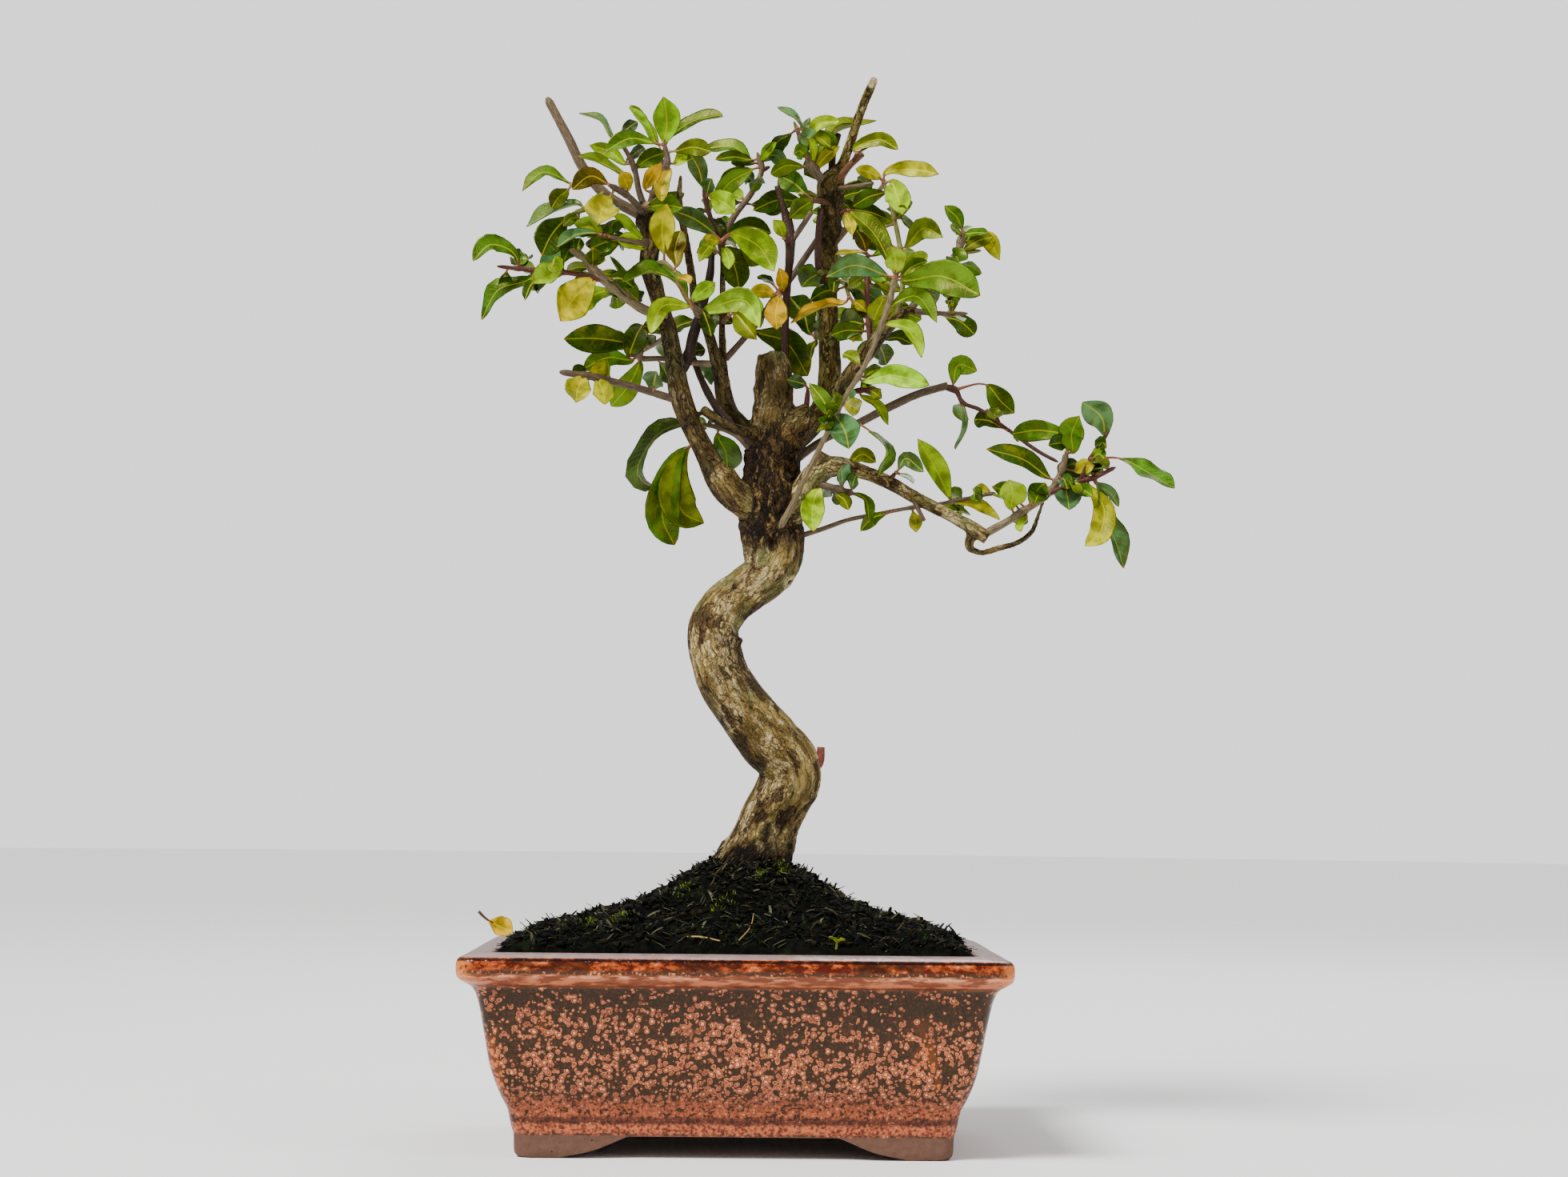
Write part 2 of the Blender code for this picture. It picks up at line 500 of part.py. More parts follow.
            ("yellow", 5.2, 1, (-59.2, 294.4), (-50.8, 297.6)),
        ),
    ),
    "shoot_level_end": (
        (
            (
                (78.8, 290.2, 20, 2.6), (83.4, 288.8, 20, 2.2), (85.9, 284.4, 18, 1.8),
                (92.8, 281.3, 14, 1.6), (102, 274.8, 7, 1.5), (117.6, 263.9, -2, 1.5), (123.2, 261, -5, 1.4),
            ),
        ),
        (
            ("green", 7, -1, (82.4, 290.6), (84.5, 298.5), (92, 296.4)),
            ("green", 8.2, -1, (83.2, 289.6), (95, 291), (101.5, 284), (106.1, 280)),
            ("teal", 2, -1, (86, 284), (87.8, 276), (83.5, 265.8)),
        ),
    ),
    "shoot_spray_right": (
        (
            (
                (94.5, 233, -16, 3.4), (103.6, 238, -17, 3), (111.4, 243, -18, 2.8),
                (119, 248.4, -18.5, 2.8), (122.2, 252.5, -19, 2.7), (124.9, 258.7, -20, 2.6),
                (126.4, 264.4, -21, 2.6),
            ),
            (
                (119.5, 249, -18.5, 2.3), (130, 252.8, -23, 2), (137.7, 255.2, -27, 1.8),
                (145.5, 259, -30, 1.6),
            ),
            ((131.5, 253.5, -23.5, 1.7), (136.2, 263.3, -27, 1.5), (143.3, 273.5, -29, 1.3)),
        ),
        (
            ("green", 7.4, 1, (127.6, 269.5), (117, 273.2), (105.4, 271.8)),
            ("deep", 5.8, -1, (127.6, 268), (119.6, 267.6)),
            ("green", 9, -1, (127.6, 264.5), (131, 278.5)),
            ("yellow", 5.4, -1, (129, 257.6), (137.1, 259.6)),
            ("deep", 7, -1, (120.9, 254.2), (110, 262), (95.5, 266.2)),
            ("green", 6.8, -1, (118.4, 251.6), (114.3, 245.6)),
            ("lime", 3, -1, (110.7, 241), (108.4, 234.6)),
            ("lime", 9.4, -1, (105.6, 242), (104.2, 254)),
            ("lime", 1.5, 1, (107, 244), (98, 248.6)),
            ("green", 5.8, -1, (136.2, 262), (147, 262.4), (157, 257.6), (168.1, 250.3)),
            ("teal", 8.9, -1, (124.4, 252.4), (127.6, 242.6)),
            ("deep", 3, 1, (126, 253), (136, 255.6)),
            ("green", 4.6, -1, (127.6, 252), (136.6, 247.8)),
            ("yellow", 8.2, -1, (134.8, 253), (141, 243), (139.5, 233.5), (133.6, 228.3)),
            ("teal", 3, 1, (137, 254), (143.9, 248.6), (147, 243.6)),
            ("teal", 5.8, 1, (138, 253.5), (142, 238.5), (146.5, 229), (149, 219.8)),
            ("teal", 9.3, -1, (141.2, 270.6), (140.6, 277), (132.5, 284.4)),
        ),
    ),
    "shoot_low_top": (
        (((57, 252.8, -11, 2.6), (60.2, 256.8, -13, 1.8)),),
        (
            ("teal", 5.2, -1, (61, 257.6), (63.6, 262.2), (71.1, 257.2)),
            ("teal", 1.5, -1, (61.2, 256.6), (67.3, 253.4)),
        ),
    ),
    "shoot_low_back": (
        (((40, 258.6, -7, 2.8), (41.5, 260, -1, 2)),),
        (("olive", 5.2, 1, (42, 260.6), (47.5, 263.9), (52.8, 260.6)),),
    ),
    "shoot_low_stub": (
        (((29, 252.8, -6, 3), (36, 251, -10, 2.7), (44, 248.7, -14, 2.5)),),
        (
            ("olive", 4.5, -1, (37.6, 249.6), (42, 242.8)),
            ("green", 3, -1, (43, 249.8), (48, 247), (50, 237.7)),
            ("lime", 8.2, 1, (30.6, 252), (28.2, 233.9)),
        ),
    ),
    "shoot_thin_right": (
        (
            (
                (18, 230.8, 4, 2.8), (32.3, 235.2, 8, 2), (41.6, 238.5, 9, 1.8), (52.5, 240.7, 6, 1.7),
                (63.3, 242.8, 2, 1.6), (80.4, 245.3, -2, 1.5), (89.7, 247.2, -5, 1.5), (99, 249, -8, 1.4),
            ),
        ),
        (
            ("lime", 7, -1, (81.7, 246.3), (76, 258), (68.6, 270.1)),
            ("lime", 2.4, 1, (72.6, 244.7), (89, 240.1)),
            ("yellow", 4, -1, (82.4, 245.2), (91.2, 244.1), (100.5, 238.5)),
            ("yellow", 3.4, 1, (97.5, 249), (90, 250.6)),
            ("yellow", 4.6, -1, (66.8, 242.4), (68, 234.3)),
        ),
    ),
    "shoot_rising_tip": (
        (((68, 319.3, -24, 2.7), (78.8, 318.5, -28, 1.8), (88.1, 318.5, -31, 1.6)),),
        (
            ("yellow", 3, -1, (81.9, 318.8), (80.8, 323.4)),
            ("lime", 2.2, -1, (82.5, 318.2), (86.2, 315.2)),
        ),
    ),
    "shoot_fork_right": (
        (
            (
                (65.5, 319.5, -22, 3.2), (72.6, 328.4, -18, 3), (79.7, 336.2, -11, 3.2),
                (84.4, 342.4, -9, 3.5), (86.2, 349.5, -9, 2.4),
            ),
            ((84, 341.8, -9, 1.9), (93.4, 342.9, -11, 1.6)),
            ((80.5, 337, -11, 1.9), (91.8, 336.8, -8, 1.5)),
        ),
        (
            ("green", 5.2, -1, (86, 350.5), (85, 354), (79.1, 360.3)),
            ("green", 3, -1, (85.6, 348.6), (81.7, 352.4)),
            ("green", 3.2, -1, (86.6, 348.8), (95.9, 349.5)),
            ("green", 3, 1, (86.4, 347), (89.2, 352.4)),
            ("yellow", 5.8, -1, (87.4, 346), (95, 347.8), (100.5, 339.3)),
        ),
    ),
    "shoot_short_right": (
        (((36, 286.5, -2, 2.6), (45, 288.5, -5, 2.1), (54.6, 289, -9, 1.9)),),
        (
            ("olive", 4.4, -1, (50.3, 288.2), (55, 285.6)),
            ("lime", 3.6, 1, (46.4, 287.6), (52, 283.8), (57.4, 275.3)),
        ),
    ),
}

# Shoots that grow on the far side, hidden by their twins in front: the twin, a place on the wood
# that they grow from, how far back they reach and how many of the twin's leaves they repeat
REAR = {
    "rear_crown_left": ("shoot_crown_left", (-35.5, 357, -15), 44, 7),
    "rear_level_left": ("shoot_level_left", (-27.4, 310, -16), 50, 4),
    "rear_centre": ("shoot_centre_fan", (-7, 342, -1), 40, 6),
    "rear_middle": ("shoot_arched_left", (-13.8, 315.5, -13), 62, 5),
    "rear_right": ("shoot_deep_pair", (34.9, 362, 8), 42, 3),
    "rear_long_right": ("shoot_long_right", (53, 308.5, -16), 46, 8),
    "rear_low_mid": ("shoot_low_mid_right", (34, 318, 10), 36, 2),
    "rear_upright": ("shoot_upright_right", (34.5, 343, 9), 38, 4),
}
REAR_SEED = 5
REAR_DIAMETERS = (3.0, 2.6, 2.2, 1.8)
REAR_NARROWER = 0.92

TONES = {
    "deep": (0.02, 0.075, 0.006), "green": (0.09, 0.2, 0.012), "teal": (0.06, 0.16, 0.08),
    "lime": (0.28, 0.36, 0.012), "yellow": (0.72, 0.55, 0.01), "gold": (0.66, 0.33, 0.02),
    "amber": (0.36, 0.13, 0.005), "pale": (0.42, 0.5, 0.2), "olive": (0.2, 0.2, 0.01),
}
CLAY = (0.16, 0.05, 0.03)
PEAT = (0.012, 0.01, 0.008)
BARK = (0.22, 0.16, 0.09)
PLASTIC = (0.05, 0.05, 0.05)


def view_axes():
    """The eye's right, up and forward directions, as the columns of a matrix."""
    pitch, turn, roll = (math.radians(a) for a in (EYE_PITCH, EYE_TURN, EYE_ROLL))
    right = np.array((math.cos(turn), -math.sin(turn), 0.0))
    ahead = np.array((math.sin(turn) * math.cos(pitch), math.cos(turn) * math.cos(pitch), math.sin(pitch)))
    up = np.cross(right, ahead)
    return np.column_stack((
        right * math.cos(roll) + up * math.sin(roll), up * math.cos(roll) - right * math.sin(roll), ahead,
    ))


AXES = view_axes()
EYE = np.array((0.0, -EYE_DISTANCE, EYE_HEIGHT))


def spot(u, v, depth):
    """The place, in mm, that is seen at (u, v) on the sheet and lies this deep."""
    ray = AXES @ np.array((u - SHEET_MIDDLE[0], v - SHEET_MIDDLE[1], EYE_DISTANCE))
    return EYE + ray * ((EYE_DISTANCE + depth) / ray[1])


def along(points, shares):
    """Points at these shares of the way along a smooth curve through the given ones."""
    points = np.asarray(points, float)
    steps = np.linalg.norm(np.diff(points, axis=0), axis=1)
    knots = np.concatenate(([0.0], np.cumsum(steps))) / steps.sum()
    slopes = np.gradient(points, knots, axis=0)
    shares = np.asarray(shares, float)
    left = np.clip(np.searchsorted(knots, shares, side="right") - 1, 0, len(points) - 2)
    span = (knots[left + 1] - knots[left])[:, None]
    t = ((shares - knots[left])[:, None]) / span
    return (
        (2 * t**3 - 3 * t**2 + 1) * points[left] + (t**3 - 2 * t**2 + t) * span * slopes[left]
        + (3 * t**2 - 2 * t**3) * points[left + 1] + (t**3 - t**2) * span * slopes[left + 1]
    )


def clear_scene():
    for obj in list(bpy.data.objects):
        bpy.data.objects.remove(obj, do_unlink=True)


def collection(name, hidden=False):
    made = bpy.data.collections.new(name)
    bpy.context.scene.collection.children.link(made)
    made.hide_render = hidden
    return made


def material(name, colour, roughness, metallic=0.0):
    made = bpy.data.materials.new(name)
    made.use_nodes = True
    shader = made.node_tree.nodes["Principled BSDF"]
    shader.inputs["Base Color"].default_value = (*colour, 1.0)
    shader.inputs["Roughness"].default_value = roughness
    shader.inputs["Metallic"].default_value = metallic
    return made


def mesh_object(name, points_mm, faces, where):
    mesh = bpy.data.meshes.new(name)
    mesh.from_pydata([tuple(p) for p in np.asarray(points_mm) * MM], [], faces)
    made = bpy.data.objects.new(name, mesh)
    where.objects.link(made)
    return made


def shell_object(name, shell, where):
    mesh = bpy.data.meshes.new(name)
    bmesh.ops.recalc_face_normals(shell, faces=shell.faces)
    shell.to_mesh(mesh)
    shell.free()
    made = bpy.data.objects.new(name, mesh)
    where.objects.link(made)
    return made


def loft(rings):
    """Points and faces of rings joined one to the next, closed at both ends, each face split the same way."""
    count = len(rings[0])
    points = [tuple(p) for ring in rings for p in ring]
    faces = []
    for i in range(len(rings) - 1):
        for j in range(count):
            a, b = i * count + j, i * count + (j + 1) % count
            faces += [(a, b, b + count), (a, b + count, a + count)]
    faces.append(tuple(reversed(range(count))))
    faces.append(tuple(range(len(points) - count, len(points))))
    return points, faces


def lengthened(places_mm, extra):
    """The same places, with the two ends moved outward by this much."""
    first, last = (places_mm[0] - places_mm[1]), (places_mm[-1] - places_mm[-2])
    return (
        [places_mm[0] + first * extra / np.linalg.norm(first)] + list(places_mm[1:-1])
        + [places_mm[-1] + last * extra / np.linalg.norm(last)]
    )


def tube(name, places_mm, radii_mm, sides_step, where):
    """A closed mesh tube through the places: a poly curve with filled caps, made a mesh and welded."""
    curve = bpy.data.curves.new(name, "CURVE")
    curve.dimensions = "3D"
    curve.bevel_depth = 1.0
    curve.bevel_resolution = sides_step
    curve.use_fill_caps = True
    spline = curve.splines.new("POLY")
    spline.points.add(len(places_mm) - 1)
    for point, place, radius in zip(spline.points, places_mm, radii_mm):
        point.co = (*(np.asarray(place) * MM), 1.0)
        point.radius = radius * MM
    guide = bpy.data.objects.new(name + "_guide", curve)
    where.objects.link(guide)
    graph = bpy.context.evaluated_depsgraph_get()
    mesh = bpy.data.meshes.new_from_object(guide.evaluated_get(graph))
    made = bpy.data.objects.new(name, mesh)
    made.matrix_world = guide.matrix_world
    bpy.data.objects.remove(guide, do_unlink=True)
    bpy.data.curves.remove(curve)
    shell = bmesh.new()
    shell.from_mesh(mesh)
    bmesh.ops.remove_doubles(shell, verts=shell.verts, dist=1e-6)
    bmesh.ops.recalc_face_normals(shell, faces=shell.faces)
    shell.to_mesh(mesh)
    shell.free()
    where.objects.link(made)
    return made


def applied(obj):
    """The object with its modifiers applied."""
    graph = bpy.context.evaluated_depsgraph_get()
    mesh = bpy.data.meshes.new_from_object(obj.evaluated_get(graph))
    obj.modifiers.clear()
    obj.data = mesh
    return obj


def boolean(obj, others, operation, solver="EXACT"):
    """Joins the other objects to this one, or cuts them from it."""
    step = obj.modifiers.new(operation.lower(), "BOOLEAN")
    step.operation = operation
    step.solver = solver
    step.operand_type = "COLLECTION"
    step.collection = others
    return applied(obj)


def emptied(group):
    for obj in list(group.objects):
        bpy.data.objects.remove(obj, do_unlink=True)
    bpy.data.collections.remove(group)


def body_volume(faces):
    return sum(f.verts[0].co.dot(f.verts[1].co.cross(f.verts[2].co)) for f in faces) / 6


def largest_body(obj):
    """Keeps the biggest of the object's loose bodies, and tells whether it is a clean closed one.

    Points that a cut leaves almost together are welded, and its scraps are dropped.
    """
    shell = bmesh.new()
    shell.from_mesh(obj.data)
    bmesh.ops.triangulate(shell, faces=shell.faces)
    bmesh.ops.remove_doubles(shell, verts=shell.verts, dist=WELD)
    bmesh.ops.dissolve_degenerate(shell, edges=shell.edges, dist=WELD)
    bmesh.ops.triangulate(shell, faces=shell.faces)
    left, bodies = set(shell.faces), []
    while left:
        body, edge = set(), {left.pop()}
        while edge:
            body |= edge
            joins = {e for f in edge for e in f.edges if len(e.link_faces) == 2}
            edge = {f for e in joins for f in e.link_faces} - body
        left -= body
        bodies.append(body)
    bodies.sort(key=body_volume)
    doomed = [f for body in bodies[:-1] for f in body]
    bmesh.ops.delete(shell, geom=doomed, context="FACES")
    loose = [v for v in shell.verts if not v.link_faces]
    bmesh.ops.delete(shell, geom=loose, context="VERTS")
    sound = all(len(e.link_faces) == 2 for e in shell.edges)
    shell.to_mesh(obj.data)
    shell.free()
    return sound


def rounded_rectangle(half_width, half_depth, radius, height):
    """A ring of points round a rectangle with round corners."""
    ring = []
    for k, (sx, sy) in enumerate(((1, 1), (-1, 1), (-1, -1), (1, -1))):
        for i in range(CORNER_STEPS + 1):
            angle = math.pi / 2 * (k + i / CORNER_STEPS)
            ring.append((
                sx * (half_width - radius) + radius * math.cos(angle),
                sy * (half_depth - radius) + radius * math.sin(angle),
                height,
            ))
    return ring


def box(name, middle, size, where):
    shell = bmesh.new()
    bmesh.ops.create_cube(shell, size=MM)
    bmesh.ops.scale(shell, vec=size, verts=shell.verts)
    bmesh.ops.translate(shell, vec=Vector(middle) * MM, verts=shell.verts)
    return shell_object(name, shell, where)


def drill(name, x, radius, low, high, where):
    shell = bmesh.new()
    bmesh.ops.create_cone(
        shell, cap_ends=True, segments=16, radius1=radius * MM, radius2=radius * MM, depth=(high - low) * MM,
    )
    bmesh.ops.translate(shell, vec=Vector((x, 0, (low + high) / 2)) * MM, verts=shell.verts)
    return shell_object(name, shell, where)


def arch_cutter(name, half_length, across, where):
    """A tunnel whose section follows the feet's arch, run along X or Y under the pot."""
    side = [(half_length - inset, z) for inset, z in ARCH]
    section = side + [(-x, z) for x, z in reversed(side)]
    reach = RIM_HALF_WIDTH
    if across:
        rings = [[(reach * s, x, z) for x, z in section] for s in (-1, 1)]
    else:
        rings = [[(-x, reach * s, z) for x, z in section] for s in (-1, 1)]
    cutter = mesh_object(name, *loft(rings), where)
    shell = bmesh.new()
    shell.from_mesh(cutter.data)
    bmesh.ops.recalc_face_normals(shell, faces=shell.faces)
    shell.to_mesh(cutter.data)
    shell.free()
    return cutter


def make_pot(parts):
    rings = []
    for half_width, height in OUTLINE:
        radius = CORNER_RADIUS * (0.6 + 0.4 * half_width / RIM_HALF_WIDTH)
        rings.append(rounded_rectangle(half_width, half_width - DEPTH_LESS, radius, height))
    pot = mesh_object("pot", *loft(rings), parts)
    cutters = collection("pot_cutters", hidden=True)
    arch_cutter("arch_long", FOOT_HALF_WIDTH, False, cutters)
    boolean(pot, cutters, "DIFFERENCE")
    emptied(cutters)
    cutters = collection("pot_cutters", hidden=True)
    arch_cutter("arch_short", FOOT_HALF_WIDTH - DEPTH_LESS, True, cutters)
    for side in (-1, 1):
        drill(f"drain_{side}", side * DRAIN_X, DRAIN_RADIUS, ARCH_TOP - 3, FLOOR_TOP + 3, cutters)
    boolean(pot, cutters, "DIFFERENCE")
    emptied(cutters)
    return pot


def make_drain_mesh(name, x, parts):
    """A square screen with nine openings, on the floor of the pot over a drainage hole."""
    middle = FLOOR_TOP + GAP + MESH_THICK / 2
    screen = box(name, (x, 0, middle), (MESH_SIDE, MESH_SIDE, MESH_THICK), parts)
    openings = collection("openings", hidden=True)
    pitch = MESH_SIDE / 3.4
    clear = (pitch * 0.8, pitch * 0.8, 5 * MESH_THICK)
    for i in (-1, 0, 1):
        for j in (-1, 0, 1):
            box(f"opening_{i}_{j}", (x + i * pitch, j * pitch, middle), clear, openings)
    boolean(screen, openings, "DIFFERENCE")
    emptied(openings)
    return screen


def wall_inside(height):
    """Half-width of the pot's inside at this height."""
    inner = sorted(((z, w) for w, z in OUTLINE[-6:]))
    return float(np.interp(height, [z for z, _ in inner], [w for _, w in inner]))


def soil_lump(x, y):
    """Small rises and hollows of the soil, in mm: a sum of slanting waves."""
    return (
        0.7 * math.sin(0.21 * x + 0.12 * y) + 0.6 * math.sin(0.17 * y - 0.33 * x + 1.3)
        + 0.5 * math.sin(0.41 * y + 0.23 * x + 2.1)
    )


def soil_ring(share, height, steps):
    """A ring of the soil's surface, a round one at the trunk and the pot's outline at the wall."""
    half_width = wall_inside(SOIL_EDGE - 1) - GAP
    wall = rounded_rectangle(half_width, half_width - DEPTH_LESS, CORNER_RADIUS, 0)
    wall = wall + [wall[0]]
    marks = np.concatenate(([0.0], np.cumsum([math.dist(a, b) for a, b in zip(wall, wall[1:])])))
    ring = []
    for t in np.linspace(0, marks[-1], steps, endpoint=False):
        x, y = (float(np.interp(t, marks, [p[k] for p in wall])) for k in (0, 1))
        angle = math.atan2(y, x - TRUNK_AT)
        round_x, round_y = TRUNK_AT + HEAP_RADIUS * math.cos(angle), HEAP_RADIUS * math.sin(angle)
        square = share**1.5
        px = TRUNK_AT + share * (square * (x - TRUNK_AT) + (1 - square) * (round_x - TRUNK_AT))
        py = share * (square * y + (1 - square) * round_y)
        lump = 0 if share > 0.99 else soil_lump(px, py)
        ring.append((px, py, height + lump))
    return ring


def make_soil(parts, stump):
    rings = []
    top = soil_ring(1.0, SOIL_EDGE, SOIL_STEPS)
    for height in SOIL_LEVELS:
        scale_x = (wall_inside(height) - GAP) / (wall_inside(SOIL_EDGE - 1) - GAP)
        scale_y = (wall_inside(height) - DEPTH_LESS - GAP) / (wall_inside(SOIL_EDGE - 1) - DEPTH_LESS - GAP)
        rings.append([(x * scale_x, y * scale_y, height) for x, y, _ in top])
    for share, rise in SOIL_RINGS:
        rings.append(soil_ring(share, SOIL_EDGE + rise, SOIL_STEPS))
    soil = mesh_object("soil", *loft(rings), parts)
    cutters = collection("soil_cutters", hidden=True)
    tube("stump_hole", lengthened(stump[0], GAP), [r + GAP for r in stump[1]], 4, cutters)
    box("seedling_hole", SEEDLING_AT, (2.2, 2.2, 2 * (SEEDLING_DEPTH + GAP)), cutters)
    for side in (-1, 1):
        room = (MESH_SIDE + 2 * GAP, MESH_SIDE + 2 * GAP, 2 * (MESH_THICK + GAP))
        box(f"screen_room_{side}", (side * DRAIN_X, 0, FLOOR_TOP + GAP), room, cutters)
    boolean(soil, cutters, "DIFFERENCE")
    emptied(cutters)
    return soil


def places(rows):
    return [spot(u, v, depth) for u, v, depth, _ in rows]


def swell(rows, extra):
    return [diameter / 2 + extra for *_, diameter in rows]


def sides_for(rows):
    """The bevel resolution of a limb or stem: 8 sides for a thick one, 6 for a middling one, 4 for a twig."""
    thick = max(row[3] for row in rows)
    return 2 if thick > 8 else 1 if thick > 3.2 else 0


def make_wood(parts):
    wood = tube("trunk_and_limbs", places(TRUNK), swell(TRUNK, 0), TRUNK_SIDES, parts)
    limbs = collection("limbs", hidden=True)
    for name, rows in LIMBS.items():
        tube(name, places(rows), swell(rows, 0), sides_for(rows), limbs)
    boolean(wood, limbs, "UNION")
    emptied(limbs)
    largest_body(wood)
    return wood


def tree_of(points, faces):
    return BVHTree.FromPolygons([Vector(p) for p in points], faces)


def obstacle(obj):
    """What a leaf must stay clear of: the object's surface for overlap tests, in mm, and its box."""
    points = np.array([tuple(obj.matrix_world @ v.co) for v in obj.data.vertices]) / MM
    faces = [tuple(p.vertices) for p in obj.data.polygons]
    return tree_of(points, faces), points.min(0), points.max(0)


def meets(points, faces, obstacles):
    low, high = points.min(0), points.max(0)
    near = [o for o in obstacles if (o[1] <= high).all() and (o[2] >= low).all()]
    if not near:
        return False
    tree = tree_of(points, faces)
    return any(tree.overlap(other[0]) for other in near)


def nearest_on_stem(stems, u, v):
    """The point of the stems that is seen nearest to (u, v), a stem's outer end being favoured."""
    best, found = 1e9, None
    for rows in stems:
        for k, (a, b) in enumerate(zip(rows, rows[1:])):
            step = np.array(b[:2]) - np.array(a[:2])
            t = float(np.clip(np.dot(np.array((u, v)) - a[:2], step) / max(step @ step, 1e-9), 0, 1))
            point = np.array(a[:3]) + t * (np.array(b[:3]) - np.array(a[:3]))
            gap = math.dist(point[:2], (u, v)) - END_FAVOUR * (k + t) / (len(rows) - 1)
            if gap < best:
                best, found = gap, point
    return found


def leaf_form(stems, leaf, swing_more):
    """A leaf's rib as places in space, its true width, and how far its blade is turned.

    A leaf that looks shorter than its width allows swings its tip towards the eye or away, and one
    that looks narrower than its length allows is turned about its rib.
    """
    _, seen_width, lean, *seen = leaf
    seen = [np.array(p, float) for p in seen]
    root = nearest_on_stem(stems, *seen[0])
    if len(seen) == 2:
        chord = seen[1] - seen[0]
        lift = np.array((-chord[1], chord[0])) * math.copysign(ARCH_LIFT, chord[0])
        seen.insert(1, (seen[0] + seen[1]) / 2 + lift)
    steps = [math.dist(a, b) for a, b in zip(seen, seen[1:])]
    length_seen = sum(steps)
    length = max(1.04 * length_seen, 2.2 * seen_width, LEAST_LEAF)
    swing = lean * math.sqrt(max(length**2 - length_seen**2, 0.0)) + swing_more
    swing = max(-MOST_SWING, min(MOST_SWING, swing))
    rib = [spot(*root)]
    covered = 0.0
    for k, point in enumerate(seen):
        share = covered / length_seen
        rib.append(spot(point[0], point[1], root[2] + swing * share**1.2))
        if k < len(steps):
            covered += steps[k]
    if np.linalg.norm(rib[1] - rib[0]) < 0.8:
        rib.pop(1)
    width = max(seen_width, LEAST_FULLNESS * length)
    turn = math.acos(min(1.0, seen_width / width))
    return rib, width, turn


def blade_frames(rib, shares, turn, faces_up=False):
    """Places along the rib, with the blade's sideways and outward directions at each."""
    middle = along(rib, shares)
    shares = np.asarray(shares)
    ahead = along(rib, np.minimum(shares + 0.02, 1)) - along(rib, np.maximum(shares - 0.02, 0))
    ahead /= np.linalg.norm(ahead, axis=1)[:, None]
    facing = np.tile((0.0, 0.0, 1.0), (len(middle), 1)) if faces_up else EYE - middle
    facing /= np.linalg.norm(facing, axis=1)[:, None]
    side = np.cross(ahead, facing)
    side /= np.linalg.norm(side, axis=1)[:, None]
    out = np.cross(side, ahead)
    up_turn = 1 if side[:, 2].sum() > 0 else -1
    c, s = math.cos(turn), math.sin(turn) * up_turn
    return middle, side * c - out * s, out * c + side * s


def leaf_mesh(rib, width, turn, more=0.0, free=False, faces_up=False):
    """A leaf as rings of four points, folded a little along its rib, and drawn to a point at its tip."""
    start = np.linalg.norm(np.asarray(rib[1]) - np.asarray(rib[0]))
    total = sum(np.linalg.norm(np.subtract(a, b)) for a, b in zip(rib, rib[1:]))
    stalk = min(start / total, 0.5) if len(rib) > 3 else 0.0
    first = STALK_FREE / total if free else 0.0
    short = total < SHORT_LEAF
    inner = SHORT_SHARES if short else LONG_SHARES
    shares = [first] + [stalk + (1 - stalk) * s for s in inner] + [1.0]
    if shares[1] <= first + 0.02:
        shares[1] = first + 0.05
    middle, side, out = blade_frames(rib, shares, turn, faces_up)
    fullness = SHORT_FULLNESS if short else LONG_FULLNESS
    halves = [THIN_HALF] + [max(THIN_HALF, f * width / 2) for f in fullness]
    rings = []
    for i, half in enumerate(halves):
        half += more
        rise = FOLD * half if i > 1 else 0.0
        thick = (LEAF_THICK if i > 0 else STALK_THICK) / 2 + more
        rings.append([
            middle[i] + side[i] * half + out[i] * rise, middle[i] + out[i] * thick,
            middle[i] - side[i] * half + out[i] * rise, middle[i] - out[i] * thick,
        ])
    points = [p for ring in rings for p in ring] + [middle[-1] + more * (middle[-1] - middle[-2]) / 6]
    faces = [(1, 2, 3), (0, 1, 3)]
    for i in range(len(rings) - 1):
        for j in range(4):
            a, b = i * 4 + j, i * 4 + (j + 1) % 4
            if j in (0, 2):
                faces += [(b + 4, b, a), (a + 4, b + 4, a)]
            else:
                faces += [(a + 4, b, a), (a + 4, b + 4, b)]
    last, tip = (len(rings) - 1) * 4, len(points) - 1
    faces += [(tip, last + (j + 1) % 4, last + j) for j in range(4)]
    return np.array(points), faces


def settled(stems, leaf, others, sisters, may_fuse):
    """The first of a few swings, nearest to the wanted one, at which the leaf meets nothing.

    If there is none, a leaf that may fuse crosses a sister leaf of its own shoot.
    """
    for obstacles in (others + sisters, others)[:1 + may_fuse]:
        for more in SWINGS:
            form = leaf_form(stems, leaf, more)
            if not meets(*leaf_mesh(*form, more=CLEARANCE, free=True), obstacles):
                return form
    return None


def rear_shoot(twin, root, reach, count, rng):
    """A shoot on the far side of the tree: a stem straight back along the line of sight."""
    stems, leaves = SHOOTS[twin]
    u, v, depth = root
    middle = np.mean([leaf[3] for leaf in leaves[:count]], axis=0)
    end = np.array((u, v)) + 0.5 * (middle - (u, v))
    ways = ((u, v), (u, v), end, middle)
    stem = tuple(
        (float(way[0]), float(way[1]), depth + share * reach, diameter)
        for way, share, diameter in zip(ways, (0, 0.45, 0.8, 1), REAR_DIAMETERS)
    )
    turned = []
    for tone, width, _, *points in leaves[:count]:
        turned.append((tone, width * REAR_NARROWER, rng.choice((1, 1, -1)), *points))
    return (stem,), tuple(turned)


def all_shoots():
    rng = random.Random(REAR_SEED)
    shoots = dict(SHOOTS)
    for name, (twin, root, reach, count) in REAR.items():
        shoots[name] = rear_shoot(twin, root, reach, count, rng)
    return shoots


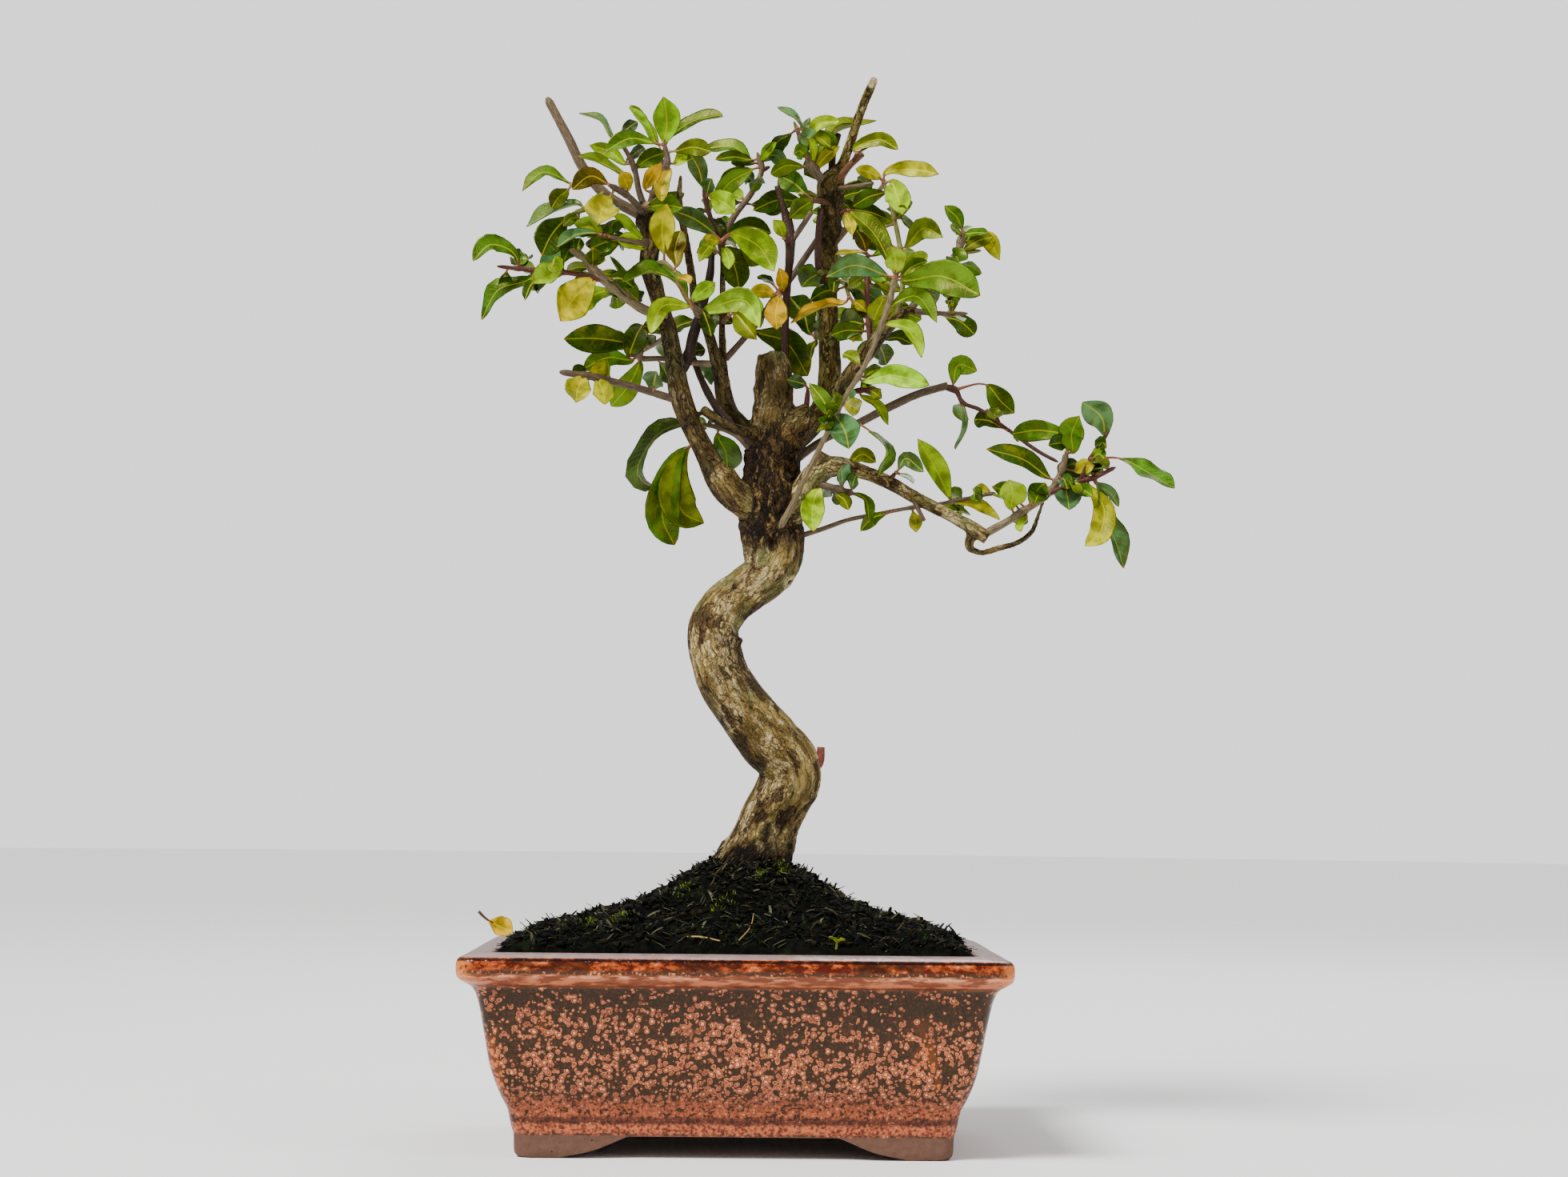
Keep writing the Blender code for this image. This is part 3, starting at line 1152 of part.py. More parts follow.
def main_tone(leaves):
    tones = [leaf[0] for leaf in leaves]
    return max(sorted(set(tones)), key=tones.count)


def joined_shoot(name, stems, found, keep_off, parts, more):
    """One solid of a shoot's stems and leaves, cut clear of the wood, and whether it came out sound."""
    joined = collection("joined", hidden=True)
    for k, rows in enumerate(stems[1:]):
        tube(f"side_stem_{k}", places(rows), swell(rows, 0), sides_for(rows), joined)
    for k, (form, _) in enumerate(found):
        mesh_object(f"leaf_{k}", *leaf_mesh(*form, more=more), joined)
    shoot = tube(name, places(stems[0]), swell(stems[0], 0), sides_for(stems[0]), parts)
    boolean(shoot, joined, "UNION")
    emptied(joined)
    boolean(shoot, keep_off, "DIFFERENCE")
    return shoot, largest_body(shoot)


def make_shoots(parts, wood):
    """Every leafy shoot. The stems come first, then each leaf where it is clear of what stands already."""
    shoots = all_shoots()
    keep_off = collection("keep_off", hidden=True)
    tube("trunk_room", lengthened(places(TRUNK), ROOM), swell(TRUNK, ROOM), TRUNK_SIDES, keep_off)
    for name, rows in LIMBS.items():
        tube(name + "_room", lengthened(places(rows), ROOM), swell(rows, ROOM), sides_for(rows), keep_off)
    wood_obstacle = obstacle(wood)
    stem_obstacles = {}
    stem_group = collection("stems", hidden=True)
    for name, (stems, _) in shoots.items():
        made = [tube(name, places(rows), swell(rows, 0), sides_for(rows), stem_group) for rows in stems]
        stem_obstacles[name] = [obstacle(obj) for obj in made]
    placed = {name: [] for name in shoots}
    for name, (stems, leaves) in shoots.items():
        others = [o for other, found in stem_obstacles.items() if other != name for o in found]
        others.append(wood_obstacle)
        for leaf in leaves:
            taken = [o for other, found in placed.items() if other != name for _, o in found]
            sisters = [o for _, o in placed[name]]
            form = settled(stems, leaf, others + taken, sisters, name in SHOOTS)
            if form is None:
                continue
            points, faces = leaf_mesh(*form)
            placed[name].append((form, (tree_of(points, faces), points.min(0), points.max(0))))
    emptied(stem_group)
    for name, (stems, leaves) in shoots.items():
        for attempt in range(TRIES):
            shoot, sound = joined_shoot(name, stems, placed[name], keep_off, parts, 0.02 * attempt)
            if sound or attempt == TRIES - 1:
                break
            bpy.data.objects.remove(shoot, do_unlink=True)
        shoot.data.materials.append(material(name, TONES[main_tone(leaves)], 0.45))
    emptied(keep_off)


def make_fallen_leaf(parts):
    """A yellow leaf whose tip is down in the soil's left edge and whose stalk stands up over the rim."""
    points, faces = leaf_mesh(FALLEN_RIB, FALLEN_WIDTH, FALLEN_TURN)
    return mesh_object("fallen_leaf", points, faces, parts)


def make_seedling(parts):
    """A weed seedling with two leaflets, at the front edge of the soil."""
    root = np.array(SEEDLING_AT)
    top = root + (0.2, -0.8, SEEDLING_HEIGHT)
    stalk = tube("seedling", [root - (0, 0, SEEDLING_DEPTH), root, top], (0.7, 0.7, 0.6), 0, parts)
    leaflets = collection("leaflets", hidden=True)
    for k, reach in enumerate(LEAFLETS):
        start = top - (0, 0, 0.6)
        rib = [start, start + np.array(reach) * 0.45 + (0, 0, 0.5), start + np.array(reach)]
        points, faces = leaf_mesh(rib, LEAFLET_WIDTH, 0.0, faces_up=True)
        mesh_object(f"leaflet_{k}", points, faces, leaflets)
    boolean(stalk, leaflets, "UNION")
    emptied(leaflets)
    return stalk


def finish(parts):
    """Shades round pieces smooth, and moves the model: its origin is the middle of its box's underside."""
    lows, highs = [], []
    for obj in parts.objects:
        points = np.array([tuple(v.co) for v in obj.data.vertices])
        lows.append(points.min(0))
        highs.append(points.max(0))
    low, high = np.min(lows, axis=0), np.max(highs, axis=0)
    for obj in parts.objects:
        obj.location = (-(low[0] + high[0]) / 2, -(low[1] + high[1]) / 2, -low[2])
        obj.data.shade_smooth()
        obj.data.set_sharp_from_angle(angle=math.radians(35))


def main():
    clear_scene()
    parts = collection("pomegranate_bonsai")
    pot = make_pot(parts)
    pot.data.materials.append(material("glazed_clay", CLAY, 0.2))
    for name, x in (("drain_mesh_left", -DRAIN_X), ("drain_mesh_right", DRAIN_X)):
        make_drain_mesh(name, x, parts).data.materials.append(material(name, PLASTIC, 0.6))
    buried = TRUNK[:BURIED_ROWS]
    stump = (places(buried), swell(buried, 0))
    soil = make_soil(parts, stump)
    soil.data.materials.append(material("peat", PEAT, 0.95))
    wood = make_wood(parts)
    wood.data.materials.append(material("bark", BARK, 0.8))
    make_shoots(parts, wood)
    make_fallen_leaf(parts).data.materials.append(material("fallen_leaf", TONES["yellow"], 0.5))
    make_seedling(parts).data.materials.append(material("seedling", TONES["green"], 0.5))
    finish(parts)


main()
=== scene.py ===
"""A pomegranate bonsai in a glazed pot: its fine pieces, finishes, light and camera."""

import math
import random

import bpy
import numpy as np
from mathutils import Matrix, Vector
from mathutils.bvhtree import BVHTree


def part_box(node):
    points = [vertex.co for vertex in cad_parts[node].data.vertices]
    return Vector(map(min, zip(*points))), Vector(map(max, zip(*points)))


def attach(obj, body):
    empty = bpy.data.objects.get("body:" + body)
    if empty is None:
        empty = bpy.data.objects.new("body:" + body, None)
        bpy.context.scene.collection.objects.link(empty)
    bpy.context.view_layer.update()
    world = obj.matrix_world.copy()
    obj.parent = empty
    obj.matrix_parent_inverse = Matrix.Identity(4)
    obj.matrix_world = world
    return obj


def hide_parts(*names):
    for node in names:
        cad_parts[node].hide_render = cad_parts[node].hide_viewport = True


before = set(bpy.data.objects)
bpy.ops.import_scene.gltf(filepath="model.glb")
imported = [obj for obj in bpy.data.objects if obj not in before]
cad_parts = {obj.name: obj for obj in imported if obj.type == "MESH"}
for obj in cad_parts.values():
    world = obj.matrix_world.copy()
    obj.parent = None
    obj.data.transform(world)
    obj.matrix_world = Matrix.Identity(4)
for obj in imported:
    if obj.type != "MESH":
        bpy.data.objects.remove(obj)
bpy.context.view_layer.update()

MM = 0.001
SEED = 11

# Strength of the white sky as the eye sees it, of the sky as it lights the model, and of the sun
SKY_SEEN = 1.5
SKY_LIGHT = 0.4
SUN = 3.7

# The eye. Lengths are in mm, from the middle of the pot's underside, and angles in degrees.
EYE_DISTANCE = 1030.0
EYE_HEIGHT = 127.9
SHEET_MIDDLE = (17.0, 212.0)
EYE_PITCH = 4.65
EYE_TURN = 0.95
EYE_ROLL = 0.6
LENS = 61.04
SENSOR = 36.0
PIXEL = 0.31
SHEET_LEFT, SHEET_TOP = -286.75, 440.0

# The pot and its soil
DEPTH_LESS = 22.5
RIM_HALF_WIDTH = 100.0
CORNER_RADIUS = 6.0
CORNER_STEPS = 9
FLOOR_TOP = 15.5
ARCH_TOP = 8.1
FOOT_HALF_WIDTH = 79.8
DRAIN_X = 40.0
DRAIN_RADIUS = 8.0
GAP = 0.3
SOIL_EDGE = 73.4
TRUNK_AT = 5.0
SEEDLING_AT = (36.3, -62.0, 75.6)
SEEDLING_HEIGHT = 4.0
SEEDLING_DEPTH = 5.0
LEAFLETS = ((-3.0, -1.2, 1.5), (3.0, -0.8, 0.6))
LEAFLET_WIDTH = 2.4
FALLEN_RIB = ((-95.6, -25.0, 85.9), (-92.8, -25.5, 83.6), (-88.5, -25.5, 81.4), (-83.5, -25.0, 79.6))
FALLEN_WIDTH = 7.4
FALLEN_TURN = 0.5

# Leaves
REAR_SEED = 5
LEAST_LEAF = 14.0
END_FAVOUR = 1.2
SWINGS = (0, -5, 5, -9, 9, -14, 14, -19, 19, -25, 25, -31, 31)
MOST_SWING = 26.0
FULLER = 1.16
LEAF_STATIONS = 15
LEAF_ACROSS = (-1, -0.86, -0.55, -0.2, 0, 0.2, 0.55, 0.86, 1)

# Small leaves that fill the crown's depth: where they grow thickest (u, v and half-sizes), how many each
# stem bears there and elsewhere, their length and their tones
CROWN_AT = (8.0, 335.0)
CROWN_SIZE = (62.0, 52.0)
INNER_LEAVES, OUTER_LEAVES, DEEP_LEAVES = 5, 1, 3
INNER_LENGTH = (12.0, 18.0)
INNER_TONES = ("deep", "green", "olive", "green", "deep", "lime", "teal", "olive")
CLEAR_OF_WOOD = 2.5
SHORT_STEM = 15
LEAFLESS_ABOVE = 408.0
LEAFLESS_LEFT, LEAFLESS_LEFT_ABOVE = -24.0, 352.0

# Half-width and height of the pot's outline, from the foot up over the rim and down to the floor
OUTLINE = (
    (78.2, 0.0), (79.8, 1.6), (79.8, 8.1), (80.7, 10.3), (81.3, 13.7), (82.0, 17.7), (83.8, 21.0),
    (85.7, 25.4), (87.8, 31.3), (89.0, 37.2), (90.5, 46.0), (92.6, 57.5), (94.4, 61.8), (97.0, 63.4),
    (99.3, 64.9), (100.0, 67.0), (99.9, 70.5), (99.1, 72.6), (95.0, 73.6), (90.5, 74.3), (88.7, 73.9),
    (87.7, 72.4), (86.2, 60.0), (84.6, 45.0), (81.5, 30.0), (76.5, 19.5), (71.0, FLOOR_TOP),
)
# The arch between two feet: distance from the corner and height
ARCH = ((13.8, -2.0), (14.8, 0.0), (27.8, 2.3), (33.8, 4.7), (38.3, 6.7), (41.8, ARCH_TOP))

# Height of the soil above its edge, by share of the way from the trunk to the wall
SOIL_RINGS = (
    (1.0, 0.0), (0.97, 2.2), (0.9, 5.4), (0.78, 9.0), (0.62, 14.0), (0.48, 19.6),
    (0.36, 25.2), (0.26, 29.8), (0.17, 32.8), (0.1, 33.4),
)

# Woody pieces: rows of u, v, depth and diameter
WOOD = """
trunk 5.4,40,2,20 4,70,1,27 3,92,0,33 4.6,104,0,29.6 8.2,113,0,25.6 11.8,123.5,-1,24 17,132.5,-3,24
    19.8,139,-4,23.6 17.6,145.5,-5,23.5 12.2,151.7,-6,23.5 3,164,-8,22.5 -6.4,176.5,-8,21.5 -10,189,-6,20.5
    -10.3,196.7,-4,19 -6.4,204,-2,18.3 3,212,0,18 9.8,217.3,1,19 12.8,226,2,23 12.2,234,3,23.5
    11.5,241.6,3,25 12.2,254,3,21.5 12.8,266.3,3,21 12.8,278.8,2,16.2 13,291.3,1,15 12.4,299,1,13
    11.6,303,1,10
left_limb 6,241.6,-2,10 -6.4,251.5,-5,11 -12.7,263.3,-7,8.6 -19.8,277.3,-10,8.1 -23.5,288,-13,8.3
    -25.7,300.5,-15,7.8 -28,313,-17,7 -32,325.3,-18,7 -35.3,337.7,-18,7.8 -34.4,350,-17,8.6
    -35.8,357.5,-16,9.2 -36.4,361.5,-16,6.5
left_limb_stub 4,243,-2,11 -4,250.5,-5,12.4 -7.5,255.6,-6,12
left_dark -23.5,294.5,-12,4 -20.4,300.5,-9,4.2 -18.2,309.8,-4,4.2 -14.8,320.7,0,3.7 -11.5,334.6,3,3.1
    -11,341.5,5,2.4
middle_limb 4,271.5,4,7 -6.5,285,3,6.2 -8,294.3,0,5.6 -10.2,303.6,-6,5 -13.6,314.5,-13,4.3
    -16.4,319.7,-17,4 -18.5,331.5,-10,3.4 -21,347,-3,3.1 -23.5,361,0,2.8 -23,372.4,1,2
middle_upright 3.5,270,0,4.6 -4.3,285,8,4 -6.5,299,6,3.4 -7,312.9,2,2.9 -6.8,328.4,0,2.6 -7,343.9,-2,2.4
    -7.6,348.5,-3,2.2
middle_dark 8,266.5,-1,3.8 2,270,-4,3.6 -8,280.4,-6,3.2 -14.2,291.2,-2,2.9 -18.3,301.5,2,2.6
middle_stub 9,271,0,4.6 3,272.5,-5,4.2 -6.5,275.7,-9,3.9 -14.8,281.6,-12,3.7
diagonal -5.5,301,6,2.7 1.3,308.6,9,2.6 7.5,316,12,2.6 13,324,15,2.6 19.9,332.4,18,2.6 26,341.4,20,2.7
    29.8,347,21,2.6
centre_twig 14.5,290,2,4 17.2,300,5,3.2 17.4,309.8,4,3 18.4,331.5,-4,3.1 19.3,340.8,-7,3.5
    19.3,347.6,-7,4.4 18,355.7,-7,3.8 16.2,361,-8,2.6 14.3,368,-9,2.3
centre_side 19.5,346,-7,2.6 22.4,350,-8,2.3 27.7,357.9,-11,2.1
right_limb 17,266,3,9 24.6,272,5,9 32.3,283.5,7,8.8 34.8,294.3,9,9.3 34.5,306.7,10,8.4 33.9,325.3,10,7.8
    34.2,337.7,10,7.8 34.8,350,9,8.1 35.4,361,8,8.6 35.4,368.7,7,11 39.1,375,6,4.8 42.5,384.2,4,4
    47.8,399.7,2,3.7 52.3,410,0,3.4
right_thin 33.5,327,8,3 30.6,334.6,3,2.7 30.2,347,2,2.7 31.2,359,2,2.5
knot_stub 37,368,6,3.6 41,374.2,1,3 47.2,380.5,-4,2.9
knot_back_stub 35.6,371,8,3.2 36,381.1,12,2.8 37.9,387.9,14,2.8
knot_thin 37,367,5,2 41.6,367.4,0,1.8 51.5,369,-6,1.6
burl 14,269,2,18 21,274.5,1,14.5 28.4,281,0,9
rising_limb 30,277,3,6.4 35.5,282,0,6.2 41.6,293.7,-8,6.2 49.4,303.6,-14,6.2 54,309.8,-17,5.6
    60.2,316,-20,4.4 64.9,319.7,-22,3.3 69,319.2,-24,2.5
level_limb 22,262.5,5,3.6 32.3,269.5,9,3 46.3,276.3,14,3.1 57.1,281.9,18,3.4 69.5,287.5,20,3.4
    80.4,290.6,20,3.2
low_limb 15,236,-1,9 23,244.5,-3,10 27.5,254,-5,10 33,258.7,-6,8.8 38.5,259.3,-7,7.4 49.4,256.5,-9,5.4
    58.7,252.5,-11,5.3 69.5,246.3,-13,5 81.9,240,-15,5 91.2,234.8,-16,5.3 95.9,231.6,-16,5.6
low_limb_stub 28,254,-5,9 33.5,264,-7,7.4
low_limb_hook 90.4,234.5,-15,4.6 88.7,228,-12,3.6 92.8,226,-9,2.6 100.5,227.7,-6,2.5 108.3,230.2,-4,2.3
    112.9,233.9,-4,2.3 115.4,240,-6,2 117.9,247,-9,1.8
low_stub 67,246.5,-13,2 71.3,238.3,-15.5,1.6
red_stub 25,139,-4,3 29.4,144.5,-5,2.4 29.9,150,-5,2.2
"""
